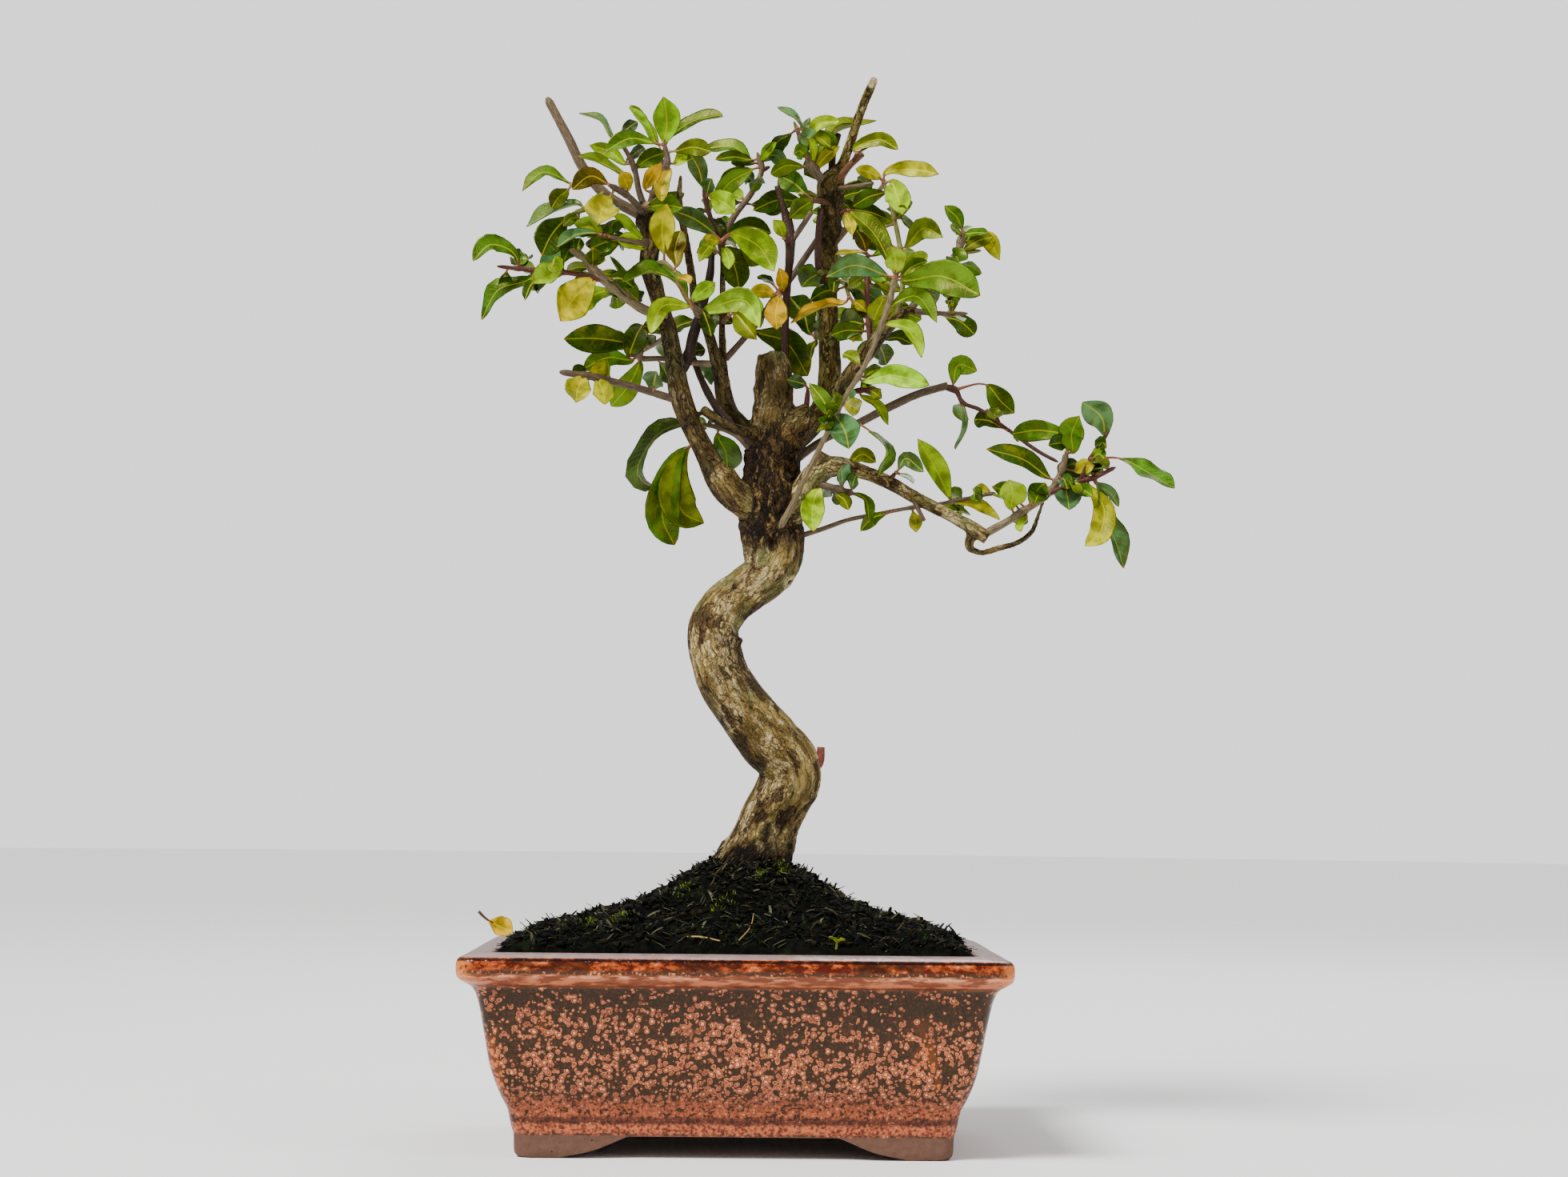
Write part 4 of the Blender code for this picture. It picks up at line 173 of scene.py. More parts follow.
SHOOTS = """
shoot_crown_left
  stem -35.4,359,-17,3.4 -31.3,370.3,-19,2.8 -28.2,378.6,-19,2.4 -29.4,383.8,-19,2
  lime 2.6 away -31.5,384 -37.5,392.5 -42.7,399.1
  lime 9.3 near -29.7,384.2 -29.7,402.5
  green 4.3 near -27.8,385.8 -18,393.3 -6.8,395.6
  green 5.6 near -32.2,384.2 -42,386.5 -52.3,381.7
  gold 5.2 near -36.5,366.2 -30.6,376.4
  gold 5.2 near -28.2,375.4 -30.3,361.6
  lime 5.6 away -26.6,376.5 -14.2,382.7
shoot_spike_left
  stem -36.8,359,-14,3 -39.2,366,-12,2.6 -40.9,374.3,-12,2.2 -44.5,382,-14,1.8 -47.2,385.4,-15,1.6
  teal 1.5 away -48.3,385.8 -53.5,393.5 -62.3,396.9
  deep 4.3 away -46.4,386.7 -39.6,393
  lime 5 away -43,376.5 -49.9,381 -58.2,383.8
  deep 3.9 away -43.3,377.5 -37.5,382.6
  green 6.2 away -40.6,374.9 -28.2,381.1
shoot_knot_left
  stem -36.8,357,-19,2.8 -44,364.4,-26,2.4 -50.8,368.4,-31,2
  olive 2.5 near -44.5,369 -54,377 -63,379
  amber 6.8 near -50.8,368.1 -57.5,371.8 -65,366.8
  yellow 11.2 near -49.9,364.4 -55.1,352.3
  gold 5.4 near -43.7,365.6 -46.4,373.4
shoot_long_cut_left
  stem -36.4,355.5,-15,4.2 -43,359,-15,4.3 -51.4,364,-17,4.2 -59.2,372.4,-19,4 -67,387.3,-22,3.7
    -74.9,402.2,-24,3.2
  stem -59,372,-20,2 -65,368.5,-27,1.6
  stem -53,365.2,-19,2.2 -59,359.5,-25,1.8 -65.5,357,-29,1.5
  green 3.6 near -66,369 -76,373.4 -84.5,366.2
  olive 6.2 near -66.2,367 -73,359.4
  teal 3.1 away -61,359.8 -71,359.2 -83,352.3
  deep 10.8 near -66.3,356.3 -77.1,340.8
  olive 4 near -62.5,357 -68,352.8
shoot_inner_left
  stem -34.6,346,-18,2.8 -39,346,-23,2.2 -45.2,347,-27,1.8 -53.5,349,-31,1.5
  lime 3.4 near -36.5,346.5 -43,352.5 -49.5,356.8
  lime 5.6 near -37,344.5 -47.8,347.2
  deep 7.2 near -45.2,347 -58.2,343.6
  teal 3.2 near -54.5,349.2 -63,349.6 -71,345
shoot_gold_left
  stem -34.5,337,-19,2.4 -29.5,338,-23,2 -25.5,335,-25,1.7
  yellow 8.7 near -29.4,341 -28.4,361
  amber 7.2 away -25.3,336 -23,351
  gold 3.1 near -24.5,333 -19.2,330.5
shoot_top_teal
  stem -7.4,345.5,-2,2.4 -11.7,356.3,-9,2 -14.2,367,-14,1.6
  teal 6.4 near -14.2,367.2 -19.8,381
  green 6.4 near -12,362 -3,370 5.3,374.3
  lime 8.6 near -12.7,364.1 -1.6,357.5
shoot_top_middle
  stem -7.2,346,-2,3 -3,355,5,2.6 6,368,9,2.4 8.4,374.3,10,2.2 6.6,381,10,1.7
  stem 8,373.8,10,2 11.6,375.4,10,1.8
  green 4.5 away 6.3,376.8 -2,383 -14,382.6
  deep 4 near 5.5,378 -9.5,378.4
  lime 3.7 near 7.5,376.5 14,384.8
  teal 5.2 near 7.5,377 13,380 17.7,373.7
  deep 3.9 away 5.5,374.6 -8,370
shoot_far_left
  stem -28.5,317.5,-19,4 -36.5,319.7,-22,3.8 -46.8,326.9,-26,3.7 -56,334.6,-30,3.4 -60.7,340.2,-31,2.9
    -66.3,343.3,-33,2.4
  stem -53,331.6,-29,2.2 -66.9,334.3,-34,1.9 -82.4,335.5,-38,1.7 -94.2,336.8,-40,1.4
  green 5.4 near -86,337.2 -87,340.8 -96.4,345.2 -103.3,338.3
  green 5.8 away -80,334 -94,327.5 -100.1,316
  deep 2.8 near -78.4,333.5 -83.3,323.4
  pale 7.4 near -69,336.2 -80,330.6
  green 6.4 away -68.5,337.7 -63.2,347
  olive 4.3 away -57,336.4 -67.5,335
  olive 2.4 near -57.6,336.8 -51.8,339
  olive 3.4 away -55,334.5 -45.8,331.5
  deep 4 away -62.6,341.3 -62,347.8
  yellow 12.4 near -56,332 -63,326 -70,315.3
  lime 7.6 away -50.5,328.5 -63,321
  green 2.2 away -44,325 -50,341
shoot_level_left
  stem -10.2,299,-3,2.8 -20.4,299.6,0,2.4 -29.7,301,-2,2.2 -39,302.4,-8,2.2 -37.6,304.5,-9,1.8
  deep 9.9 near -41.5,306 -52,308.5 -68.5,308.8
  deep 8.2 near -42,302 -38,314
  green 7 away -41,301 -51,301.5 -60.7,297
  green 8.2 away -38.8,300.8 -43,291 -49.9,282.6
  lime 6.4 away -17.9,299 -17.9,282
shoot_arched_left
  stem -15.8,318,-17,3 -17.5,320.6,-24,2.6 -18.4,321,-28,2.4
  green 3.9 near -18.6,321.3 -25,331 -34,335.2 -45.6,331.2
  lime 6.4 near -19,321 -29.7,321.6 -34.9,311
  lime 5.8 near -18.4,322.5 -9.8,330.5
  pale 8.8 near -16,318.6 2,323.3 7.6,313
  deep 4.6 away -15.6,319.6 -11.1,309.6
shoot_olive_middle
  stem -7,315,2,2.2 -4.5,317.4,-6,1.8
  olive 7.6 near -3.4,318.2 6,308.6
  gold 3.8 away -4.4,318.6 2.5,320.6
shoot_glossy_centre
  stem 5,313,11,2.2 4.5,312.6,1,2
  deep 10.8 near 5.5,312.4 17,308 26.1,294.3
shoot_gold_centre
  stem 18.3,327.5,-7,2.2 15.5,326,-12,1.8
  gold 8.2 near 15.3,325.3 14.3,312.9
  gold 4.5 near 16,326.9 15.3,335.8
  gold 5 near 14.3,325.9 3.5,326.9
  deep 2.6 away 13.5,329 7,333
shoot_centre_fan
  stem -7,342.5,-2,2.6 -7.4,346.5,-9,2.2
  teal 7 near -9.4,348.8 -26.6,358.6
  deep 7 away -5.5,348.6 4,352.2 12,349.6
  lime 10.4 near -4.5,348.6 6,345.5 13.1,335.2
  yellow 3.9 near -7.6,345.5 -14.2,347.6
  lime 4.6 near -6.6,345 -4.3,335.8
  pale 4.6 near -9.6,346 -15.8,339
  deep 9.3 away -6,344 -0.3,327.8
shoot_deep_pair
  stem 34,361.5,6,2.6 28,362.5,-2,2.1
  deep 7.6 near 25,362 15,362.5 5.3,358.6
  deep 8.2 away 26.1,364.1 15.3,371.8
  olive 7.6 near 28.5,361.8 19.9,356
shoot_lime_centre
  stem 19.3,345,-7,2 17,347.6,-12,1.6
  lime 4.4 near 16.8,348 13.2,354.5
shoot_crown_middle
  stem 34,367.5,6,4 27.6,376,2,3.2 24.8,382.7,0,2.4 20.8,393,-3,1.4
  lime 4.6 near 25.4,385 30,391.8 38.5,393.2
  teal 1.7 away 24.6,386.7 22.5,393.5 14.6,399.1
  teal 2.8 away 25.6,386.4 26.7,394.4
  lime 3 near 27.8,375.6 26.9,387.3
  gold 4.5 near 29.3,374.3 38.5,383.3
  olive 2.4 near 28.6,376.5 36,388.5 52.8,392.3
shoot_crown_right
  stem 44,377.2,-1,2.4 45.5,380.6,-7,2
  olive 5 near 44.6,381 54,386 61.1,382.5
  green 2.4 away 46.4,381.2 58.8,386.8
shoot_upright_right
  stem 60.4,316,-20,2.6 63,330,-14,2.1 62.4,340.8,-9,2 60.2,353.2,-6,1.9 58,362.5,-5,1.8 55.6,369,-5,1.6
  yellow 4.6 near 55,370 44.7,374.6
  yellow 5.4 near 55.6,371.2 66.4,374.3 76.9,372.4
  lime 8.6 near 57.2,369.5 62.9,356.6
  deep 6.4 away 57,365.6 43.8,360
  olive 7.6 near 63,343.9 71,351.5 78.8,347.9
  deep 2.8 away 60.6,356.3 66.8,350.6
shoot_back_right
  stem 36.5,356,8,2.6 41.4,358.4,5,1.9
  yellow 4.4 near 40.5,358.2 43.6,348.5
  deep 6 near 42.2,358.5 57.2,355
shoot_dark_right
  stem 50.6,305.6,-14,2.6 49.6,318,-13,2.1 49.2,330,-11,1.9 49.4,341,-9,1.6
  amber 5.2 near 49,342 45.3,350.4
  gold 2 near 48.6,341.6 37,341.2
  green 3.2 near 50.6,340.8 60.2,344
  olive 4.5 near 48.4,332.5 41.6,328.4
  deep 9.3 away 49,314.5 39,314.8
shoot_long_right
  stem 14,233,-6,3.2 21,246,-13,2.4 25.6,256,-16.5,2.1 30.8,266.4,-20,2.1 35.4,275.7,-23,2.1 40,285,-26,2.1
    47.8,297.4,-30,2.1 52.5,308.3,-33,2.1 57.1,320.7,-36,2.2 60.3,332.6,-38,2.3
  pale 7.6 near 60.2,333.6 58.9,344
  pale 4.6 away 61.5,334.4 72.6,341.4
  green 11.8 near 61.2,331.5 78,333 92.8,325.6
  green 4.6 away 61.4,332.6 72.6,339
  olive 6.8 away 59.2,335 51,351 42.5,358
  teal 7.6 near 57.6,333 44,337.2 33.2,332.6
  green 4.5 away 58.4,330 49,334.8
  olive 7 away 57.2,325 51.8,316
  green 5.8 near 57.6,320.9 68,325.5 76.3,315.4
  lime 5.2 near 55.4,314.5 64,313.2 70.1,301.1
  lime 7 near 46.6,292.8 58,294.6 73.2,291
  olive 3.4 away 46.8,294 55.6,297
  green 5.8 away 35.4,277.3 26.7,291.6
  lime 2.8 away 34.4,274.2 29.8,273.6
  teal 10.6 near 37.3,279 42,266.8
  green 2.3 away 38.2,279.6 50,273.2 57.3,266 53.8,255.4
  yellow 6.2 away 39.6,284 46,281
shoot_mid_right
  stem 34,334.5,9,2.4 30,334.2,-2,2
  green 9.9 near 31,334.6 23.6,328.4
shoot_low_mid_right
  stem 33.8,308.5,10,2.4 29,309.6,4,2
  deep 9.3 away 28.2,310 19,325.2
  olive 3 near 29.4,308.6 27,301
shoot_gold_right
  stem 35,331,9,2.4 40.2,330.4,2,1.9 42.2,325,-3,1.6
  gold 2.8 near 41.6,323.8 32.3,321.6 19.9,314.1
  gold 6.4 near 43.2,323.4 43.8,307.6
  gold 3.9 near 43.4,323.8 48.9,319
shoot_burl
  stem 25.5,280.5,0,2.6 26.3,289,-4,1.9
  teal 5.2 near 25.8,290 18.4,292.8
shoot_low_left
  stem -17.5,269.5,-9,2.6 -18.5,267.5,0,2.2
  olive 12.4 away -19.2,267 -25.5,252 -22,241.5 -13.8,237.3
  green 11.8 away -19.8,267 -29,250 -30,239 -25.4,228.8
shoot_hook_left
  stem 4,266,0,3 -1.5,271.4,-6,2.4 -8,274.2,-1,2 -14.2,275.6,3,1.8
  deep 5.6 away -15.8,275.7 -29,274 -38,264.5 -40.5,256.5 -35.5,251.3 -31.6,252
  green 10.6 away -8.6,272.8 -4.8,256.8
shoot_cut_left
  stem -24.5,285,-13,3.2 -42,290.3,-21,2.8 -56,293.7,-26,2.8 -70,295.9,-29,2.5
  yellow 8.9 near -60.7,294 -63.6,284
  yellow 7 near -55.5,293.2 -52.3,283.5
  yellow 5.2 away -59.2,294.4 -50.8,297.6
shoot_level_end
  stem 78.8,290.2,20,2.6 83.4,288.8,20,2.2 85.9,284.4,18,1.8 92.8,281.3,14,1.6 102,274.8,7,1.5
    117.6,263.9,-2,1.5 123.2,261,-5,1.4
  green 7 near 82.4,290.6 84.5,298.5 92,296.4
  green 8.2 near 83.2,289.6 95,291 101.5,284 106.1,280
  teal 2 near 86,284 87.8,276 83.5,265.8
shoot_spray_right
  stem 94.5,233,-16,3.4 103.6,238,-17,3 111.4,243,-18,2.8 119,248.4,-18.5,2.8 122.2,252.5,-19,2.7
    124.9,258.7,-20,2.6 126.4,264.4,-21,2.6
  stem 119.5,249,-18.5,2.3 130,252.8,-23,2 137.7,255.2,-27,1.8 145.5,259,-30,1.6
  stem 131.5,253.5,-23.5,1.7 136.2,263.3,-27,1.5 143.3,273.5,-29,1.3
  green 7.4 away 127.6,269.5 117,273.2 105.4,271.8
  deep 5.8 near 127.6,268 119.6,267.6
  green 9 near 127.6,264.5 131,278.5
  yellow 5.4 near 129,257.6 137.1,259.6
  deep 7 near 120.9,254.2 110,262 95.5,266.2
  green 6.8 near 118.4,251.6 114.3,245.6
  lime 3 near 110.7,241 108.4,234.6
  lime 9.4 near 105.6,242 104.2,254
  lime 1.5 away 107,244 98,248.6
  green 5.8 near 136.2,262 147,262.4 157,257.6 168.1,250.3
  teal 8.9 near 124.4,252.4 127.6,242.6
  deep 3 away 126,253 136,255.6
  green 4.6 near 127.6,252 136.6,247.8
  yellow 8.2 near 134.8,253 141,243 139.5,233.5 133.6,228.3
  teal 3 away 137,254 143.9,248.6 147,243.6
  teal 5.8 away 138,253.5 142,238.5 146.5,229 149,219.8
  teal 9.3 near 141.2,270.6 140.6,277 132.5,284.4
shoot_low_top
  stem 57,252.8,-11,2.6 60.2,256.8,-13,1.8
  teal 5.2 near 61,257.6 63.6,262.2 71.1,257.2
  teal 1.5 near 61.2,256.6 67.3,253.4
shoot_low_back
  stem 40,258.6,-7,2.8 41.5,260,-1,2
  olive 5.2 away 42,260.6 47.5,263.9 52.8,260.6
shoot_low_stub
  stem 29,252.8,-6,3 36,251,-10,2.7 44,248.7,-14,2.5
  olive 4.5 near 37.6,249.6 42,242.8
  green 3 near 43,249.8 48,247 50,237.7
  lime 8.2 away 30.6,252 28.2,233.9
shoot_thin_right
  stem 18,230.8,4,2.8 32.3,235.2,8,2 41.6,238.5,9,1.8 52.5,240.7,6,1.7 63.3,242.8,2,1.6 80.4,245.3,-2,1.5
    89.7,247.2,-5,1.5 99,249,-8,1.4
  lime 7 near 81.7,246.3 76,258 68.6,270.1
  lime 2.4 away 72.6,244.7 89,240.1
  yellow 4 near 82.4,245.2 91.2,244.1 100.5,238.5
  yellow 3.4 away 97.5,249 90,250.6
  yellow 4.6 near 66.8,242.4 68,234.3
shoot_rising_tip
  stem 68,319.3,-24,2.7 78.8,318.5,-28,1.8 88.1,318.5,-31,1.6
  yellow 3 near 81.9,318.8 80.8,323.4
  lime 2.2 near 82.5,318.2 86.2,315.2
shoot_fork_right
  stem 65.5,319.5,-22,3.2 72.6,328.4,-18,3 79.7,336.2,-11,3.2 84.4,342.4,-9,3.5 86.2,349.5,-9,2.4
  stem 84,341.8,-9,1.9 93.4,342.9,-11,1.6
  stem 80.5,337,-11,1.9 91.8,336.8,-8,1.5
  green 5.2 near 86,350.5 85,354 79.1,360.3
  green 3 near 85.6,348.6 81.7,352.4
  green 3.2 near 86.6,348.8 95.9,349.5
  green 3 away 86.4,347 89.2,352.4
  yellow 5.8 near 87.4,346 95,347.8 100.5,339.3
shoot_short_right
  stem 36,286.5,-2,2.6 45,288.5,-5,2.1 54.6,289,-9,1.9
  olive 4.4 near 50.3,288.2 55,285.6
  lime 3.6 away 46.4,287.6 52,283.8 57.4,275.3
"""
REAR = {'rear_crown_left': ('shoot_crown_left', (-35.5, 357, -15), 44, 7),
    'rear_level_left': ('shoot_level_left', (-27.4, 310, -16), 50, 4),
    'rear_centre': ('shoot_centre_fan', (-7, 342, -1), 40, 6),
    'rear_middle': ('shoot_arched_left', (-13.8, 315.5, -13), 62, 5),
    'rear_right': ('shoot_deep_pair', (34.9, 362, 8), 42, 3),
    'rear_long_right': ('shoot_long_right', (53, 308.5, -16), 46, 8),
    'rear_low_mid': ('shoot_low_mid_right', (34, 318, 10), 36, 2),
    'rear_upright': ('shoot_upright_right', (34.5, 343, 9), 38, 4)}


def numbers(text):
    """Rows of numbers from words such as 5.4,40,2,20."""
    return [tuple(float(n) for n in word.split(",")) for word in text.split()]


def read_wood():
    """The woody pieces by name, each as rows of u, v, depth and diameter."""
    found = {}
    for line in WOOD.strip().splitlines():
        if not line.startswith(" "):
            name, line = line.split(" ", 1)
            found[name] = []
        found[name] += numbers(line)
    return found


def read_shoots():
    """The leafy shoots by name, each as its stems and its leaves: tone, seen width, lean and seen points."""
    found = {}
    for line in SHOOTS.strip().splitlines():
        if line.startswith("    "):
            rows += numbers(line)
        elif line.startswith("  stem"):
            rows = numbers(line[6:])
            stems.append(rows)
        elif line.startswith("  "):
            tone, width, lean, rest = line.split(None, 3)
            rows = numbers(rest)
            leaves.append((tone, float(width), -1 if lean == "near" else 1, rows))
        else:
            stems, leaves = [], []
            found[line] = (stems, leaves)
    return found


def view_axes():
    """The eye's right, up and forward directions, as the columns of a matrix."""
    pitch, turn, roll = (math.radians(a) for a in (EYE_PITCH, EYE_TURN, EYE_ROLL))
    right = np.array((math.cos(turn), -math.sin(turn), 0.0))
    ahead = np.array((math.sin(turn) * math.cos(pitch), math.cos(turn) * math.cos(pitch), math.sin(pitch)))
    up = np.cross(right, ahead)
    return np.column_stack((
        right * math.cos(roll) + up * math.sin(roll), up * math.cos(roll) - right * math.sin(roll), ahead,
    ))


AXES = view_axes()
EYE = np.array((0.0, -EYE_DISTANCE, EYE_HEIGHT))
POT_LOW, POT_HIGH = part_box("pot")
SHIFT = np.array(((POT_LOW.x + POT_HIGH.x) / 2, (POT_LOW.y + POT_HIGH.y) / 2, 0.0))


def ray_to(u, v):
    return AXES @ np.array((u - SHEET_MIDDLE[0], v - SHEET_MIDDLE[1], EYE_DISTANCE))


def spot(u, v, depth):
    """The place, in mm, that is seen at (u, v) on the sheet and lies this deep."""
    ray = ray_to(u, v)
    return EYE + ray * ((EYE_DISTANCE + depth) / ray[1])


def seen_on(tree, px, py):
    """The place on a surface that the eye sees at a pixel of the photograph, or None."""
    ray = Vector(ray_to(PIXEL * px + SHEET_LEFT, SHEET_TOP - PIXEL * py)).normalized()
    hit = tree.ray_cast(Vector(EYE), ray)[0]
    return None if hit is None else np.array(hit)


def along(points, shares):
    """Points at these shares of the way along a smooth curve through the given ones, a cubic Hermite spline."""
    points = np.asarray(points, float)
    steps = np.linalg.norm(np.diff(points[:, :3], axis=0), axis=1)
    knots = np.concatenate(([0.0], np.cumsum(steps))) / steps.sum()
    slopes = np.gradient(points, knots, axis=0)
    shares = np.asarray(shares, float)
    left = np.clip(np.searchsorted(knots, shares, side="right") - 1, 0, len(points) - 2)
    span = (knots[left + 1] - knots[left])[:, None]
    t = ((shares - knots[left])[:, None]) / span
    return (
        (2 * t**3 - 3 * t**2 + 1) * points[left] + (t**3 - 2 * t**2 + t) * span * slopes[left]
        + (3 * t**2 - 2 * t**3) * points[left + 1] + (t**3 - t**2) * span * slopes[left + 1]
    )


# Shapes as arrays


def lattice(cells, seed):
    """A number from 0 to 1 for each whole-numbered cell: the fraction of a large sine of a mix of its indices."""
    mix = cells @ np.array((127.1, 311.7, 74.7)) + 53.3 * seed
    return np.mod(np.sin(mix) * 43758.5453, 1.0)


def noise(points, size, seed=0):
    """Smooth noise from -1 to 1: the values at a cell's eight corners, blended by 3t^2 - 2t^3 along each axis."""
    scaled = np.asarray(points, float) / size
    cell = np.floor(scaled)
    t = scaled - cell
    t = t * t * (3 - 2 * t)
    total = 0.0
    for corner in np.ndindex(2, 2, 2):
        corner = np.array(corner)
        weight = np.prod(np.where(corner, t, 1 - t), axis=-1)
        total = total + weight * lattice(cell + corner, seed)
    return 2 * total - 1


def layered(points, size, seed=0, layers=3):
    """Noise of halving size and strength, summed."""
    return sum(noise(points, size / 2**k, seed + 7 * k) / 2**k for k in range(layers))


def frames(path):
    """Two directions across a path at each point, carried along it without twist."""
    ahead = np.gradient(path, axis=0)
    ahead /= np.linalg.norm(ahead, axis=1)[:, None]
    helper = np.array((0.0, 1.0, 0.0)) if abs(ahead[0, 1]) < 0.9 else np.array((1.0, 0.0, 0.0))
    first = np.empty_like(path)
    for k, direction in enumerate(ahead):
        helper = helper - direction * (helper @ direction)
        helper = helper / np.linalg.norm(helper)
        first[k] = helper
    return first, np.cross(ahead, first)


def sweep(path, radii, sides):
    """A closed tube: at each point of the path a circle of the given radius, and a pole at each end.

    It gives the points, the faces, and each point's grain, which is (r cos a, r sin a, way along).
    """
    path = np.asarray(path, float)
    radii = np.broadcast_to(np.asarray(radii, float), len(path))
    first, second = frames(path)
    angle = np.arange(sides) * (2 * math.pi / sides)
    around = np.cos(angle)[None, :, None] * first[:, None] + np.sin(angle)[None, :, None] * second[:, None]
    rings = path[:, None] + radii[:, None, None] * around
    way = np.concatenate(([0.0], np.cumsum(np.linalg.norm(np.diff(path, axis=0), axis=1))))
    grain = np.stack((
        radii[:, None] * np.cos(angle), radii[:, None] * np.sin(angle), np.broadcast_to(way[:, None], (len(path), sides)),
    ), axis=2).reshape(-1, 3)
    points, faces = capped(rings)
    return points, faces, np.vstack((grain, (0, 0, way[0]), (0, 0, way[-1])))


def capped(rings):
    """A closed skin over a stack of rings, an array (rings, points round, 3), with a pole at each end."""
    count, sides = rings.shape[:2]
    index = np.arange(count * sides).reshape(count, sides)
    turned = np.roll(index, -1, axis=1)
    quads = np.stack((index[:-1], turned[:-1], turned[1:], index[1:]), axis=-1).reshape(-1, 4)
    start, end = count * sides, count * sides + 1
    ends = np.concatenate((
        np.stack((turned[0], index[0], np.full(sides, start), np.full(sides, start)), axis=1),
        np.stack((index[-1], turned[-1], np.full(sides, end), np.full(sides, end)), axis=1),
    ))
    points = np.vstack((rings.reshape(-1, 3), rings[0].mean(0), rings[-1].mean(0)))
    return points, outward(points, np.vstack((quads, ends)))


def outward(points, faces):
    """The faces, turned round where the shell they close has a negative volume. A row that repeats its last index is a triangle."""
    a, b, c, d = (points[faces[:, k]] for k in range(4))
    volume = np.einsum("ij,ij->", a, np.cross(b, c)) + np.einsum("ij,ij->", a, np.cross(c, d))
    if volume > 0:
        return faces
    turned = faces[:, ::-1].copy()
    turned[:, :] = np.where((faces[:, 2] == faces[:, 3])[:, None], faces[:, [1, 0, 2, 2]], turned)
    return turned


def joined(shells):
    """One list of points and one of faces from several closed shells, with their other columns joined too."""
    starts = np.cumsum([0] + [len(s[0]) for s in shells[:-1]])
    faces = np.vstack([s[1] + k for s, k in zip(shells, starts)])
    return (np.vstack([s[0] for s in shells]), faces) + tuple(
        np.concatenate([s[k] for s in shells]) for k in range(2, len(shells[0]))
    )


def mesh_of(name, points_mm, faces):
    """A mesh from points in mm and rows of four indices, where a row that repeats its last index is a triangle."""
    three = faces[:, 2] == faces[:, 3]
    totals = np.where(three, 3, 4)
    starts = np.concatenate(([0], np.cumsum(totals)[:-1]))
    loops = faces.reshape(-1)[np.stack((np.ones_like(three), np.ones_like(three), np.ones_like(three), ~three), 1).reshape(-1)]
    mesh = bpy.data.meshes.new(name)
    mesh.vertices.add(len(points_mm))
    mesh.vertices.foreach_set("co", (np.asarray(points_mm) * MM + SHIFT).astype(np.float32).reshape(-1))
    mesh.loops.add(len(loops))
    mesh.loops.foreach_set("vertex_index", loops.astype(np.int32))
    mesh.polygons.add(len(faces))
    mesh.polygons.foreach_set("loop_start", starts.astype(np.int32))
    mesh.polygons.foreach_set("use_smooth", np.ones(len(faces), bool))
    mesh.update(calc_edges=True)
    mesh.validate()
    return mesh


def placed(mesh, finish, materials, replaced=()):
    """The mesh as a piece that rides on the model."""
    piece = bpy.data.objects.new(mesh.name, mesh)
    bpy.context.scene.collection.objects.link(piece)
    for material in materials:
        mesh.materials.append(material)
    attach(piece, "root")
    if replaced:
        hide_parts(*replaced)
    return piece


def column(mesh, name, values):
    """Puts one vector for each point into the mesh, for the material to read."""
    mesh.attributes.new(name, "FLOAT_VECTOR", "POINT").data.foreach_set("vector", np.asarray(values, np.float32).reshape(-1))


def surface_of(points, faces):
    """The shell as a tree for finding what a ray hits and what lies nearest, in mm."""
    three = faces[:, 2] == faces[:, 3]
    lists = faces.tolist()
    return BVHTree.FromPolygons(points.tolist(), [f[:3] if t else f for f, t in zip(lists, three.tolist())])


# Shader maths


class Wire:
    """A socket that takes part in sums: an expression on wires adds its Math nodes."""

    def __init__(self, tree, socket):
        self.tree = tree
        self.socket = socket

    def math(self, operation, *values):
        made = self.tree.nodes.new("ShaderNodeMath")
        made.operation = operation
        for socket, value in zip(made.inputs, values):
            if isinstance(value, Wire):
                self.tree.links.new(value.socket, socket)
            else:
                socket.default_value = value
        return Wire(self.tree, made.outputs[0])

    def __add__(self, other):
        return self.math("ADD", self, other)

    def __radd__(self, other):
        return self.math("ADD", other, self)

    def __sub__(self, other):
        return self.math("SUBTRACT", self, other)

    def __rsub__(self, other):
        return self.math("SUBTRACT", other, self)

    def __mul__(self, other):
        return self.math("MULTIPLY", self, other)

    def __rmul__(self, other):
        return self.math("MULTIPLY", other, self)

    def __truediv__(self, other):
        return self.math("DIVIDE", self, other)

    def __rtruediv__(self, other):
        return self.math("DIVIDE", other, self)

    def __abs__(self):
        return self.math("ABSOLUTE", self)

    def top(self, other):
        return self.math("MAXIMUM", self, other)

    def low(self, other):
        return self.math("MINIMUM", self, other)

    def rise(self, start, end):
        """0 before start, 1 after end, and smooth between them."""
        made = self.tree.nodes.new("ShaderNodeMapRange")
        made.interpolation_type = "SMOOTHSTEP"
        self.tree.links.new(self.socket, made.inputs["Value"])
        made.inputs["From Min"].default_value = start
        made.inputs["From Max"].default_value = end
        return Wire(self.tree, made.outputs[0])

    def band(self, start, full, fade, end):
        """1 from full to fade, and 0 outside start to end."""
        return self.rise(start, full) * (1 - self.rise(fade, end))


def hex_colour(text):
    """A linear colour from six hexadecimal digits."""
    values = [int(text[k:k + 2], 16) / 255 for k in (0, 2, 4)]
    return tuple(v / 12.92 if v <= 0.04045 else ((v + 0.055) / 1.055) ** 2.4 for v in values) + (1.0,)


